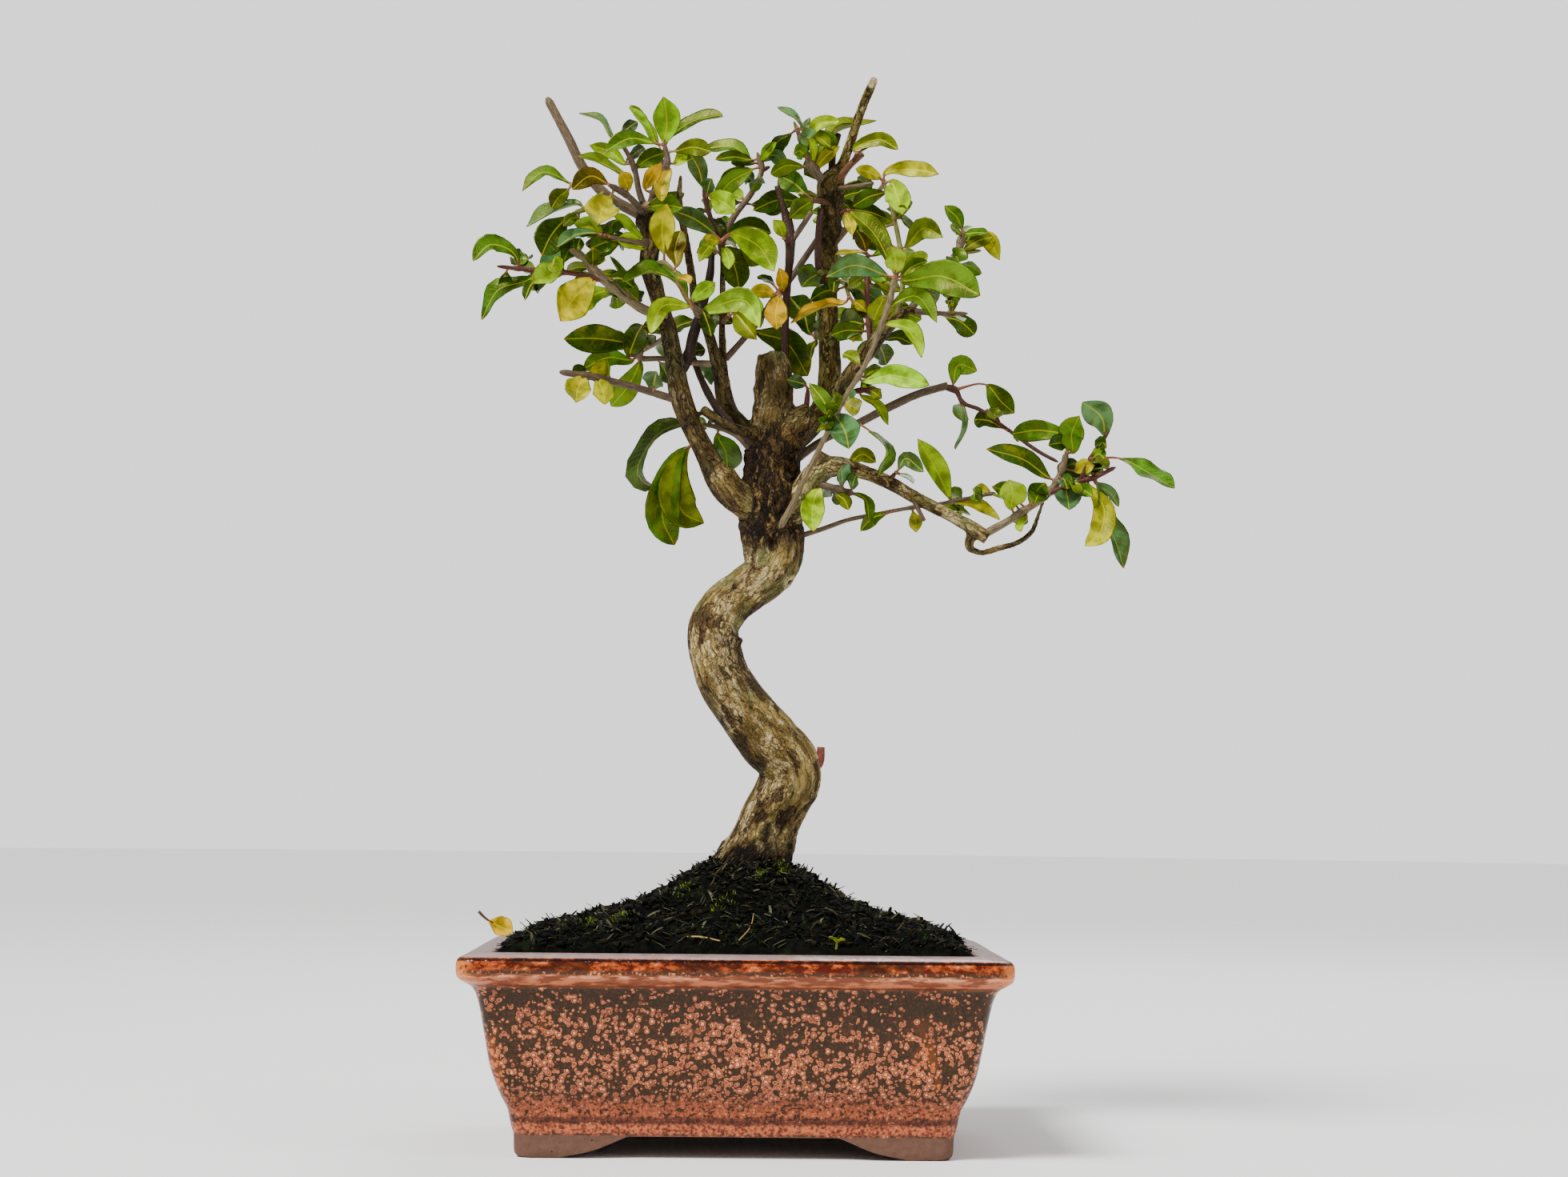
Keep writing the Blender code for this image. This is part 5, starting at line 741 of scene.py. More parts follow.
class Finish:
    """A material under construction. Its place is the point in mm from the middle of the pot's underside."""

    def __init__(self, name):
        self.material = bpy.data.materials.new(name)
        self.material.use_nodes = True
        self.tree = self.material.node_tree
        self.shader = self.tree.nodes["Principled BSDF"]
        metres = self.node("TexCoord", out="Object")
        self.place = self.moved(self.scaled(metres, (1 / MM,) * 3), tuple(-SHIFT / MM))

    def node(self, kind, settings=None, sockets=None, out=0):
        """Adds a node, with its settings first, then the values or links of its sockets, and gives one output."""
        made = self.tree.nodes.new("ShaderNode" + kind)
        for name, value in (settings or {}).items():
            if name == "stops":
                self.fill_ramp(made.color_ramp, value)
            else:
                setattr(made, name, value)
        for key, value in (sockets or {}).items():
            self.join(made.inputs[key], value)
        return Wire(self.tree, made.outputs[out])

    def join(self, socket, value):
        if isinstance(value, Wire):
            self.tree.links.new(value.socket, socket)
        elif isinstance(value, str):
            socket.default_value = hex_colour(value)
        else:
            socket.default_value = value

    def fill_ramp(self, ramp, stops):
        while len(ramp.elements) < len(stops):
            ramp.elements.new(1.0)
        for element, (at, colour) in zip(ramp.elements, stops):
            element.position = at
            element.color = hex_colour(colour)

    def axes(self, vector):
        """The three parts of a vector."""
        made = self.tree.nodes.new("ShaderNodeSeparateXYZ")
        self.tree.links.new(vector.socket, made.inputs[0])
        return [Wire(self.tree, output) for output in made.outputs]

    def vector(self, x, y, z):
        return self.node("CombineXYZ", sockets={0: x, 1: y, 2: z})

    def column(self, name):
        return self.node("Attribute", {"attribute_name": name}, out="Vector")

    def scaled(self, vector, by):
        return self.node("VectorMath", {"operation": "MULTIPLY"}, {0: vector, 1: by})

    def moved(self, vector, by):
        return self.node("VectorMath", {"operation": "ADD"}, {0: vector, 1: by})

    def mix(self, share, first, second, blend="MIX"):
        return self.node("Mix", {"data_type": "RGBA", "blend_type": blend}, {0: share, 6: first, 7: second}, 2)

    def grain(self, vector, scale, detail=2.0, rough=0.5):
        """Noise from 0 to 1."""
        return self.node("TexNoise", {}, {"Vector": vector, "Scale": scale, "Detail": detail, "Roughness": rough})

    def cells(self, vector, scale, feature="F1", out="Distance", random=1.0):
        settings = {"feature": feature}
        return self.node("TexVoronoi", settings, {"Vector": vector, "Scale": scale, "Randomness": random}, out)

    def drops(self, vector, scale, share):
        """The distance from the middle of the nearest drop, where this share of the cells holds a drop."""
        far = self.cells(vector, scale)
        own = self.axes(Wire(self.tree, far.socket.node.outputs["Color"]))[0]
        return far + (own - share).rise(0.0, 0.01)

    def relief(self, height, distance_mm, strength=1.0, under=None):
        sockets = {"Height": height, "Distance": distance_mm * MM, "Strength": strength}
        if under is not None:
            sockets["Normal"] = under
        return self.node("Bump", {}, sockets)

    def done(self, gloss=0.5, shine=(1.0, 1.0, 1.0, 1.0), **sockets):
        """Sets the strength and colour of the shine, and joins what is named to the shader's sockets, with _ for a space."""
        self.shader.inputs["Specular IOR Level"].default_value = gloss
        self.shader.inputs["Specular Tint"].default_value = shine
        for name, value in sockets.items():
            self.join(self.shader.inputs[name.replace("_", " ")], value)
        return self.material


# Finishes


def glaze():
    """Brown glaze that broke into salmon drops with pale middles, under an orange rim, over bare clay feet."""
    f = Finish("glazed_clay")
    p = f.place
    across, depth, height = f.axes(p)
    soft = f.grain(p, 0.16, 3.0)
    fine = f.grain(p, 0.9, 3.0)
    patches = f.grain(f.moved(p, (31.0, 5.0, 9.0)), 0.07, 3.0, 0.6)
    bent = f.moved(p, f.scaled(f.node("TexNoise", {}, {"Vector": p, "Scale": 0.25, "Detail": 1.0}, "Color"), (2.0, 2.0, 2.0)))
    lower = height.rise(60.0, 22.0)
    share = 0.27 + lower * 0.5 + (patches - 0.5) * 1.9 + (soft - 0.5) * 0.7
    large = f.drops(bent, 0.38, share)
    middling = f.drops(f.moved(bent, (7.0, 3.0, 1.0)), 0.46, share * 0.85)
    small = f.drops(f.moved(bent, (2.0, 13.0, 5.0)), 0.74, share * 0.5 + 0.12)
    far = large.low(middling).low(small + 0.02)
    deep = f.grain(f.moved(p, (17.0, 2.0, 5.0)), 0.25, 3.0)
    ground = f.mix(soft, "1e1203", "382408")
    ground = f.mix(fine.rise(0.45, 0.7) * 0.35, ground, "6a3a18")
    salmon = f.mix(fine.rise(0.3, 0.7), "a85c36", "d0764a")
    salmon = f.mix(soft.rise(0.58, 0.72) * 0.4, salmon, "8a5040")
    salmon = f.mix(lower.rise(0.75, 1.0) * fine.rise(0.4, 0.6) * 0.45, salmon, "94684a")
    salmon = f.mix(height.rise(30.0, 18.0) * 0.7, salmon, "7c3a24")
    edge = abs(across).rise(72.0, 84.0) + abs(depth).rise(52.0, 64.0)
    side = (edge * abs(across).rise(60.0, 70.0) * abs(depth).rise(40.0, 50.0)).low(1.0)
    body = f.mix(far.rise(0.52, 0.47) * 0.7, ground, "24140a")
    body = f.mix(far.rise(0.47, 0.43), body, salmon)
    body = f.mix(far.band(0.22, 0.27, 0.31, 0.36) * 0.9, body, "6a3022")
    body = f.mix(far.rise(0.21, 0.14) * (0.9 - height.rise(32.0, 18.0) * 0.45), body, "f6ac7e")
    body = f.mix(deep.rise(0.5, 0.62) * 0.35, body, "3a1c0a")
    wave = (soft - 0.5) * 6.0 + (fine - 0.5) * 3.0
    smear = side * f.grain(f.scaled(p, (1.0, 1.0, 0.3)), 0.1, 3.0).rise(0.5, 0.6) * height.band(20.0, 28.0, 46.0, 54.0)
    body = f.mix(smear * (0.15 + 0.55 * far.rise(0.5, 0.3)), body, "cc6420")
    foot_band = (height + wave).band(11.5, 14.0, 18.0, 24.0)
    body = f.mix(foot_band * fine.rise(0.42, 0.62) * 0.65, body, "b85a30")
    line = (height + wave * 0.3).band(12.4, 13.4, 14.6, 16.0)
    body = f.mix(line * fine.rise(0.3, 0.5) * 0.75, body, "2c0c0a")
    bead = (height + wave * 0.15).band(8.6, 9.6, 11.8, 13.0)
    body = f.mix(bead * 0.9, body, f.mix(fine.rise(0.35, 0.65), "5c2010", "c46a42"))
    rim = (height + wave * 0.12).rise(61.6, 62.6)
    streaks = f.grain(f.scaled(p, (0.35, 0.35, 1.6)), 0.35, 3.0, 0.6)
    low_rim = f.mix(streaks.rise(0.42, 0.6), "763a20", "bc6c44")
    # Painted shade: a dark band where the rim flares out from the body.
    low_rim = f.mix((height + wave * 0.2).band(61.2, 62.0, 62.6, 63.6) * 0.8, low_rim, "4a1c0a")
    # Painted highlight: a pale streaky line round the rim's widest part.
    low_rim = f.mix((height + wave * 0.15).band(65.4, 66.0, 66.5, 67.1) * streaks.rise(0.5, 0.62) * 0.55, low_rim, "e8ac86")
    speckle = small.rise(0.42, 0.34).top(fine.rise(0.55, 0.7) * 0.5)
    mid_rim = f.mix(speckle * 0.85, "40240c", "cc8058")
    mottle = f.grain(f.scaled(p, (0.6, 0.6, 1.1)), 0.42, 4.0, 0.65)
    top_rim = f.mix(mottle.rise(0.42, 0.6), "4c1608", "ac4c20")
    top_rim = f.mix(mottle.rise(0.58, 0.66) * 0.7, top_rim, "d88454")
    top_rim = f.mix(f.grain(f.scaled(p, (0.5, 0.5, 1.0)), 0.14, 3.0).rise(0.54, 0.62) * 0.8, top_rim, "34180a")
    front = f.mix((height + wave * 0.3).rise(66.5, 67.4), low_rim, mid_rim)
    front = f.mix((height + wave * 0.4).rise(67.6, 69.0), front, top_rim)
    body = f.mix(rim, body, front)
    corner = abs(across).rise(93.0, 99.0) * abs(depth).rise(70.0, 76.5) * rim
    body = f.mix(corner * fine.rise(0.3, 0.5) * 0.75, body, "e8843c")
    lip = (height + wave * 0.05).rise(72.5, 72.9)
    body = f.mix(lip * 0.92, body, f.mix(soft, "b8a29c", "7c5c58"))
    body = f.mix((height + wave * 0.05).band(71.2, 71.7, 72.3, 72.6) * 0.9, body, "140504")
    clay = f.mix(f.grain(p, 0.35, 4.0), "4e342a", "70503f")
    pits = (f.cells(p, 0.42) - 0.12).rise(0.05, -0.03) * f.grain(p, 0.13).rise(0.5, 0.6)
    clay = f.mix(pits, clay, "1e120e")
    bare = (height + wave * 0.22).rise(8.9, 7.9)
    colour = f.mix(bare, body, clay)
    relief = far.rise(0.5, 0.2) * 0.4 + f.grain(p, 0.3, 2.0) * 0.6 - pits * bare * 2.0 + f.grain(p, 3.0, 3.0) * bare * 0.5
    rough = 0.16 + far.rise(0.5, 0.3) * 0.08 + bare * 0.55
    return f.done(0.22, Base_Color=colour, Roughness=rough, Normal=f.relief(relief, 0.35, 0.5))


def screen_plastic():
    """Black woven plastic with a faint grain and a dusting of peat."""
    f = Finish("screen")
    p = f.place
    dust = f.grain(p, 0.4, 4.0)
    x, y, _ = f.axes(p)
    weave = (x * 5.0).math("SINE", x * 5.0) * (y * 5.0).math("SINE", y * 5.0)
    colour = f.mix(dust.rise(0.45, 0.7), "15151a", "3a3128")
    return f.done(Base_Color=colour, Roughness=0.45 + dust * 0.3, Normal=f.relief(weave + dust, 0.2, 0.4))


def peat():
    """Near-black damp peat with brown fibre and a green bloom of algae on its rises."""
    f = Finish("peat")
    p = f.place
    clods = f.grain(p, 0.32, 6.0, 0.65)
    fibre = f.grain(f.scaled(p, (0.5, 1.6, 1.6)), 1.4, 4.0, 0.7)
    green = f.grain(f.moved(p, (9.0, 2.0, 4.0)), 0.11, 3.0)
    colour = f.mix(clods.rise(0.35, 0.7), "050605", "12140e")
    colour = f.mix(fibre.rise(0.6, 0.76) * 0.6, colour, "2a2012")
    colour = f.mix(green.rise(0.55, 0.68) * clods.rise(0.45, 0.6) * 0.6, colour, "18220a")
    rough = 0.7 + clods * 0.25
    return f.done(0.03, Base_Color=colour, Roughness=rough, Normal=f.relief(clods + fibre * 0.4, 1.2, 0.8))


def tinted(name, rough, sheen=0.0):
    """A finish for many small bits: each bit's own colour from its tint column, broken by fine grain."""
    f = Finish(name)
    p = f.place
    mottle = f.grain(p, 1.2, 4.0, 0.6)
    colour = f.mix(mottle.rise(0.3, 0.75) * 0.5, f.column("tint"), "1a120a", "MULTIPLY")
    colour = f.mix(0.75, colour, f.column("tint"))
    colour = f.mix(mottle.rise(0.62, 0.8) * 0.25, colour, "c8b890")
    return f.done(0.08, Base_Color=colour, Roughness=rough + mottle * 0.2, Normal=f.relief(mottle, 0.2, 0.5))


def bark():
    """Tan bark with a net of cream flakes, olive bloom, dark slabs, fissures along the grain, worn scars, painted shade
    and, on its rough zones, a painted highlight.

    The grain column gives the place across and along the limb, the wear column how dark (painted shade
    and dark bark), how pale and how rough the place is, and the tint column the limb's own tone.
    """
    f = Finish("bark")
    g = f.column("grain")
    shade_and_dark_bark, wear_pale, wear_rough = f.axes(f.column("wear"))
    tone = f.column("tint")
    limb = (1 - f.axes(tone)[0]).rise(0.1, 0.3)
    p = f.place
    drift = f.scaled(f.node("TexNoise", {}, {"Vector": g, "Scale": 0.3, "Detail": 4.0}, "Color"), (4.0, 4.0, 6.0))
    bent = f.moved(g, drift)
    wide = f.grain(f.scaled(bent, (1.0, 1.0, 0.6)), 0.12, 4.0, 0.65)
    fine = f.grain(f.scaled(g, (1.0, 1.0, 0.5)), 1.2, 5.0, 0.7)
    patch = f.grain(f.moved(f.scaled(bent, (1.0, 1.0, 0.7)), (11.0, 3.0, 7.0)), 0.075, 2.0)
    flakes = f.cells(f.scaled(bent, (1.0, 1.0, 0.6)), 0.4, "DISTANCE_TO_EDGE")
    cracks = f.cells(f.scaled(bent, (1.0, 1.0, 0.13)), 0.42, "DISTANCE_TO_EDGE")
    slab = f.grain(f.scaled(bent, (1.0, 1.0, 0.42)), 0.16, 5.0, 0.64)
    colour = f.mix(wide.rise(0.36, 0.64), "665426", "a48e50")
    colour = f.mix(f.grain(f.moved(p, (3.0, 8.0, 1.0)), 0.05, 3.0).rise(0.47, 0.6) * 0.75, colour, "747848")
    colour = f.mix(fine.rise(0.5, 0.3) * 0.55, colour, "4a3a1a")
    cream = f.mix(fine.rise(0.35, 0.65), "9c844c", "e4cc90")
    cream = f.mix(flakes.rise(0.13, 0.05) * 0.85, cream, "4a3a18")
    colour = f.mix(patch.rise(0.47, 0.55) * (1 - limb * 0.8) * 0.85, colour, cream)
    streak = f.grain(f.scaled(bent, (1.0, 1.0, 0.3)), 0.4, 3.0, 0.6)
    colour = f.mix(streak.rise(0.56, 0.64) * 0.5, colour, "e6d4a2")
    colour = f.mix(streak.rise(0.44, 0.35) * 0.75, colour, "46360f")
    dark = f.mix(fine.rise(0.38, 0.62), "1a1006", "5a4422")
    colour = f.mix(slab.band(0.5, 0.525, 0.54, 0.56) * 0.6, colour, "6a4e26")
    colour = f.mix(slab.rise(0.545, 0.565) * (0.92 - limb * 0.5), colour, dark)
    colour = f.mix(cracks.rise(0.08, 0.0) * (0.35 + limb * 0.6), colour, "1a1006")
    colour = f.mix(1.0, colour, tone, "MULTIPLY")
    plate_bent = f.moved(g, f.scaled(f.node("TexNoise", {}, {"Vector": g, "Scale": 0.45, "Detail": 3.0}, "Color"), (3.0, 3.0, 4.0)))
    plates = f.grain(f.scaled(plate_bent, (1.0, 1.0, 0.5)), 0.34, 5.0, 0.62)
    ridge = abs(plates - 0.5).rise(0.0, 0.05)
    rough_colour = f.mix(ridge * wide.rise(0.34, 0.6), "140b05", "543e1e")
    # Painted highlight: the rough bark is lightened where its plate noise is high.
    rough_colour = f.mix(plates.rise(0.57, 0.66) * 0.75, rough_colour, "8c703c")
    rough_colour = f.mix(fine.rise(0.5, 0.38) * 0.8, rough_colour, "160d06")
    colour = f.mix(wear_rough, colour, rough_colour)
    colour = f.mix(wear_pale, colour, f.mix(fine.rise(0.4, 0.6), "a88c5c", "e2d0a0"))
    # Painted shade and dark bark: the first share of the column darkens the bark where the trunk turns down, faces left
    # low down or lies in its hollow, as well as at the dark foot and the dark marks.
    colour = f.mix(shade_and_dark_bark * (0.55 + 0.45 * fine.rise(0.62, 0.4)), colour, f.mix(fine, "080402", "2a1c0e"))
    height = flakes.rise(0.0, 0.2) * 0.5 + fine * 0.9 + cracks.rise(0.0, 0.12) * 0.8 + ridge * wear_rough * 2.0
    height = height - slab.rise(0.55, 0.6) * 0.9
    return f.done(0.15, Base_Color=colour, Roughness=0.65 + fine * 0.25, Normal=f.relief(height, 0.7, 1.0))


def twig():
    """Young wood: the tint column's colour with fine fissures along the grain and small pale pores."""
    f = Finish("twig")
    g = f.column("grain")
    lines = f.grain(f.scaled(g, (1.0, 1.0, 0.12)), 2.6, 4.0, 0.6)
    pores = (f.cells(f.scaled(g, (1.0, 1.0, 0.7)), 0.8) - 0.12).rise(0.08, -0.02)
    colour = f.mix(lines.rise(0.62, 0.35) * 0.7, f.column("tint"), "2a180e")
    colour = f.mix(pores * 0.25, colour, "b8a478")
    return f.done(0.25, Base_Color=colour, Roughness=0.5 + lines * 0.2, Normal=f.relief(lines + pores * 0.5, 0.15, 0.7))


def leaf():
    """A glossy leaf blade.

    The blade column gives the way along and across it in mm and the leaf's own number, the edge column
    the distance from the margin, 1 on the underside, and the share of the way to the tip.
    """
    f = Finish("leaf")
    way, across, own = f.axes(f.column("blade"))
    margin, under, share = f.axes(f.column("edge"))
    tint = f.column("tint")
    p = f.vector(way, across, own * 40.0)
    cloud = f.grain(p, 0.16, 3.0)
    mottle = f.grain(f.moved(p, (5.0, 5.0, 0.0)), 0.75, 4.0, 0.6)
    out = abs(across)
    lean = way - out * 0.75
    wobble = f.grain(p, 0.3, 2.0) * 0.9
    turn = ((lean + wobble) / 2.4).math("FRACT", (lean + wobble) / 2.4)
    vein = abs(turn - 0.5).rise(0.09, 0.0) * margin.rise(0.7, 2.4) * out.rise(0.2, 0.8)
    net = f.cells(p, 1.5, "DISTANCE_TO_EDGE").rise(0.09, 0.0)
    rib = (out - (1 - share) * 0.14).rise(0.26, 0.08)
    colour = f.mix(cloud.rise(0.34, 0.66) * 0.85, tint, f.mix(1.0, tint, "70783c", "MULTIPLY"))
    red, lush, _ = f.axes(tint)
    warm = (red - lush).rise(0.0, 0.08)
    fringe = margin.rise(3.2, 0.6).top(share.rise(0.62, 0.9)) * warm * own.rise(0.25, 0.4) * cloud.rise(0.36, 0.56)
    colour = f.mix(fringe * 0.5, colour, "648008")
    blotch = f.grain(f.moved(p, (8.0, 1.0, 6.0)), 0.11, 3.0).rise(0.52, 0.66) * own.rise(0.45, 0.6)
    colour = f.mix(blotch * 0.5, colour, f.mix(0.6, colour, "a09000"))
    colour = f.mix(vein * 0.2, colour, f.mix(0.35, colour, "d8dc30"))
    colour = f.mix(net * 0.1, colour, f.mix(0.35, colour, "c8d240"))
    colour = f.mix(rib * 0.6, colour, f.mix(0.55, colour, "dcd824"))
    colour = f.mix(margin.rise(0.5, 0.1) * 0.6, colour, f.mix(1.0, tint, "6c6030", "MULTIPLY"))
    flecks = (f.cells(f.moved(p, (2.0, 9.0, 3.0)), 0.35) - 0.1).rise(0.05, -0.02) * cloud.rise(0.55, 0.62)
    colour = f.mix(flecks * 0.7, colour, "5a3c14")
    colour = f.mix(share.rise(0.95, 1.0) * own.rise(0.4, 0.5) * 0.8, colour, "8a4a18")
    colour = f.mix(under * 0.25, colour, "86942c")
    height = vein * -0.35 + rib * 0.5 + mottle * 0.35 - net * 0.2
    rough = 0.22 + mottle * 0.14 + under * 0.25
    return f.done(0.36, (1.0, 0.95, 0.15, 1.0), Base_Color=colour, Roughness=rough, Normal=f.relief(height, 0.14, 0.8))


def ground_paint():
    """A plain pale studio floor with a barely seen unevenness."""
    f = Finish("studio_floor")
    cloud = f.grain(f.place, 0.003, 2.0)
    return f.done(Base_Color=f.mix(cloud, "fbfbfa", "fdfdfc"), Roughness=0.85)


# The pot


def round_ring(half_width, half_depth, radius, per_side):
    """Points round a rectangle with round corners: a quarter circle at each corner, and an even walk along each side."""
    turn = np.linspace(0, math.pi / 2, CORNER_STEPS + 1)
    ring = []
    for k, (sx, sy) in enumerate(((1, 1), (-1, 1), (-1, -1), (1, -1))):
        angle = turn + k * math.pi / 2
        ring.append(np.stack((
            sx * (half_width - radius) + radius * np.cos(angle), sy * (half_depth - radius) + radius * np.sin(angle),
        ), axis=1))
    steps = np.linspace(0, 1, per_side + 1)[1:-1, None]
    walks = [a[-1] * (1 - steps) + b[0] * steps for a, b in zip(ring, ring[1:] + ring[:1])]
    return np.vstack([part for pair in zip(ring, walks) for part in pair])


def smooth_outline(rows, per_step):
    """More points between the rows of an outline, on a curve that doesn't overshoot: straight lines, then averaged twice."""
    rows = np.asarray(rows, float)
    marks = np.arange(len(rows))
    fine = np.linspace(0, len(rows) - 1, (len(rows) - 1) * per_step + 1)
    made = np.stack([np.interp(fine, marks, rows[:, k]) for k in (0, 1)], axis=1)
    for _ in range(per_step):
        made[1:-1] = (made[:-2] + 2 * made[1:-1] + made[2:]) / 4
    return made


def cutter(name, points, faces):
    made = bpy.data.objects.new(name, mesh_of(name, points, faces))
    bpy.context.scene.collection.objects.link(made)
    return made


def arch_tunnel(half_length, across):
    """A tunnel under the pot whose section is the arch between two feet, as two rings at its ends."""
    side = [(half_length - inset, z) for inset, z in ARCH]
    dense = smooth_outline(side, 4)
    section = np.vstack((dense, dense[::-1] * (-1, 1)))
    reach = 2 * RIM_HALF_WIDTH
    rings = []
    for s in (-1, 1):
        x, z = section[:, 0], section[:, 1]
        far = np.full_like(x, reach * s)
        rings.append(np.stack((far, x, z) if across else (-x, far, z), axis=1))
    return capped(np.array(rings))


def make_pot():
    """The pot's skin: rounded rectangles stacked along the outline, less the tunnels and the drain holes."""
    outline = smooth_outline(OUTLINE, 5)
    rings = []
    for half_width, height in outline:
        radius = CORNER_RADIUS * (0.6 + 0.4 * half_width / RIM_HALF_WIDTH)
        flat = round_ring(half_width, half_width - DEPTH_LESS, radius, 24)
        rings.append(np.column_stack((flat, np.full(len(flat), height))))
    points, faces = capped(np.array(rings))
    sag = 0.35 * noise(points, 46.0, 3) + 0.12 * noise(points, 9.0, 4)
    middle = points * (1, 1, 0)
    points = points + middle / np.maximum(np.linalg.norm(middle, axis=1), 1)[:, None] * sag[:, None]
    pot = bpy.data.objects.new("pot_piece", mesh_of("pot_piece", points, faces))
    bpy.context.scene.collection.objects.link(pot)
    turn = np.arange(32) * math.pi / 16
    circle = np.stack((DRAIN_RADIUS * np.cos(turn), DRAIN_RADIUS * np.sin(turn)), axis=1)
    tools = [cutter("long", *arch_tunnel(FOOT_HALF_WIDTH, False)), cutter("short", *arch_tunnel(FOOT_HALF_WIDTH - DEPTH_LESS, True))]
    for x in (-DRAIN_X, DRAIN_X):
        drum = np.array([np.column_stack((circle + (x, 0), np.full(32, z))) for z in (ARCH_TOP - 3, FLOOR_TOP + 3)])
        tools.append(cutter("drain", *capped(drum)))
    for tool in tools:
        cut = pot.modifiers.new("cut", "BOOLEAN")
        cut.operation = "DIFFERENCE"
        cut.solver = "EXACT"
        cut.object = tool
    made = bpy.data.meshes.new_from_object(pot.evaluated_get(bpy.context.evaluated_depsgraph_get()))
    for obj in tools + [pot]:
        bpy.data.objects.remove(obj, do_unlink=True)
    made.name = "pot_skin"
    made.materials.clear()
    made.shade_smooth()
    made.set_sharp_from_angle(angle=math.radians(38))
    return placed(made, None, [glaze()], ("pot",))


# The soil


def wall_inside(height):
    """Half-width of the pot's inside at this height."""
    inner = sorted((z, w) for w, z in OUTLINE[-6:])
    return np.interp(height, [z for z, _ in inner], [w for _, w in inner])


def soil_lump(x, y):
    """Small rises and hollows of the soil, in mm: a sum of slanting waves."""
    return (
        0.7 * np.sin(0.21 * x + 0.12 * y) + 0.6 * np.sin(0.17 * y - 0.33 * x + 1.3)
        + 0.5 * np.sin(0.41 * y + 0.23 * x + 2.1)
    )


def soil_ring(share, steps):
    """A ring of the soil's surface: round at the trunk, the pot's outline at the wall, blended by share^1.5."""
    half_width = float(wall_inside(SOIL_EDGE - 1)) - GAP
    wall = round_ring(half_width, half_width - DEPTH_LESS, CORNER_RADIUS, 40)
    wall = np.vstack((wall, wall[:1]))
    marks = np.concatenate(([0.0], np.cumsum(np.linalg.norm(np.diff(wall, axis=0), axis=1))))
    way = np.linspace(0, marks[-1], steps, endpoint=False)
    x, y = (np.interp(way, marks, wall[:, k]) for k in (0, 1))
    angle = np.arctan2(y, x - TRUNK_AT)
    square = share**1.5
    px = TRUNK_AT + share * (square * (x - TRUNK_AT) + (1 - square) * 60 * np.cos(angle))
    py = share * (square * y + (1 - square) * 60 * np.sin(angle))
    marks_of = np.array(sorted(SOIL_RINGS))
    rise = np.interp(share, marks_of[:, 0], marks_of[:, 1])
    lump = np.where(share > 0.985, 0.0, soil_lump(px, py))
    return np.stack((px, py, SOIL_EDGE + rise + lump), axis=1)


def make_soil():
    """The soil's skin: rings from the floor up the wall, then in over the mound, roughened by clod-like noise."""
    steps = 300
    top = soil_ring(1.0, steps)
    rings = []
    for height in np.linspace(FLOOR_TOP + GAP + 1.5, SOIL_EDGE - 4, 14):
        grow = (wall_inside(height) - GAP) / (wall_inside(SOIL_EDGE - 1) - GAP)
        rings.append(top * (grow, grow, 0) + (0, 0, height))
    shares = np.concatenate((np.linspace(1.0, 0.9, 12), np.linspace(0.89, 0.03, 105)))
    mound = [soil_ring(share, steps) for share in shares]
    skin = np.array(rings + mound)
    fade = np.concatenate((np.zeros(len(rings)), np.clip((1.0 - shares) / 0.04, 0, 1)))[:, None]
    flat = skin.reshape(-1, 3)
    clods = 1.8 * np.abs(layered(flat, 7.0, 21, 4)) + 1.1 * layered(flat, 2.6, 31, 3) + 0.4
    skin[..., 2] += fade * clods.reshape(skin.shape[:2])
    points, faces = capped(skin)
    piece = placed(mesh_of("soil_mound", points, faces), None, [peat()], ("soil",))
    return surface_of(points, faces)


# The wood

# Places on the bark by pixel of the photograph: radius and height in mm, then how dark and how pale. The dark of the
# two deep holes at 965, 679 and 985, 727 is painted shade.
MARKS = (
    (965, 679, 3.2, -2.6, 1.0, 0.0), (908, 800, 7.0, 0.0, 0.5, 0.0), (912, 832, 6.0, 0.6, 0.5, 0.0),
    (900, 850, 5.0, -0.4, 0.4, 0.0), (926, 858, 4.0, 0.9, 0.5, 0.0), (1012, 1020, 4.0, 0.0, 0.7, 0.0),
    (1004, 1045, 4.0, 0.0, 0.7, 0.0), (1018, 1000, 3.0, 0.5, 0.5, 0.0), (960, 752, 5.0, 0.0, 0.4, 0.0),
    (1010, 705, 3.0, 1.6, 0.8, 0.0),
    (995, 748, 2.6, 1.2, 0.8, 0.0), (985, 727, 3.2, 0.9, 0.0, 0.9), (985, 727, 1.2, -1.6, 1.0, 0.0),
    (975, 1030, 3.4, -0.8, 0.7, 0.0), (1022, 945, 2.2, 1.6, 0.5, 0.0), (958, 905, 3.6, -0.7, 0.5, 0.0),
    (990, 870, 4.0, 0.7, 0.0, 0.6), (948, 960, 3.5, -0.6, 0.6, 0.0), (1000, 600, 3.0, -0.9, 0.7, 0.0),
    (1030, 985, 3.0, 0.6, 0.0, 0.7), (975, 560, 3.2, 1.2, 0.4, 0.0), (940, 640, 2.8, 1.2, 0.3, 0.0),
    (1026, 984, 1.6, 1.4, 0.8, 0.0), (1027, 1003, 2.0, 1.5, 0.8, 0.0), (811, 258, 2.6, 0.0, 0.0, 0.8),
    (1091, 103, 2.4, 0.0, 0.0, 0.8), (919, 803, 2.2, 3.4, 1.0, 0.0), (988, 700, 2.2, 1.0, 0.4, 0.0),
    (1000, 560, 3.0, 1.6, 0.6, 0.0), (948, 1018, 3.2, -0.7, 0.8, 0.0), (1008, 1040, 2.6, 0.8, 0.5, 0.0),
)
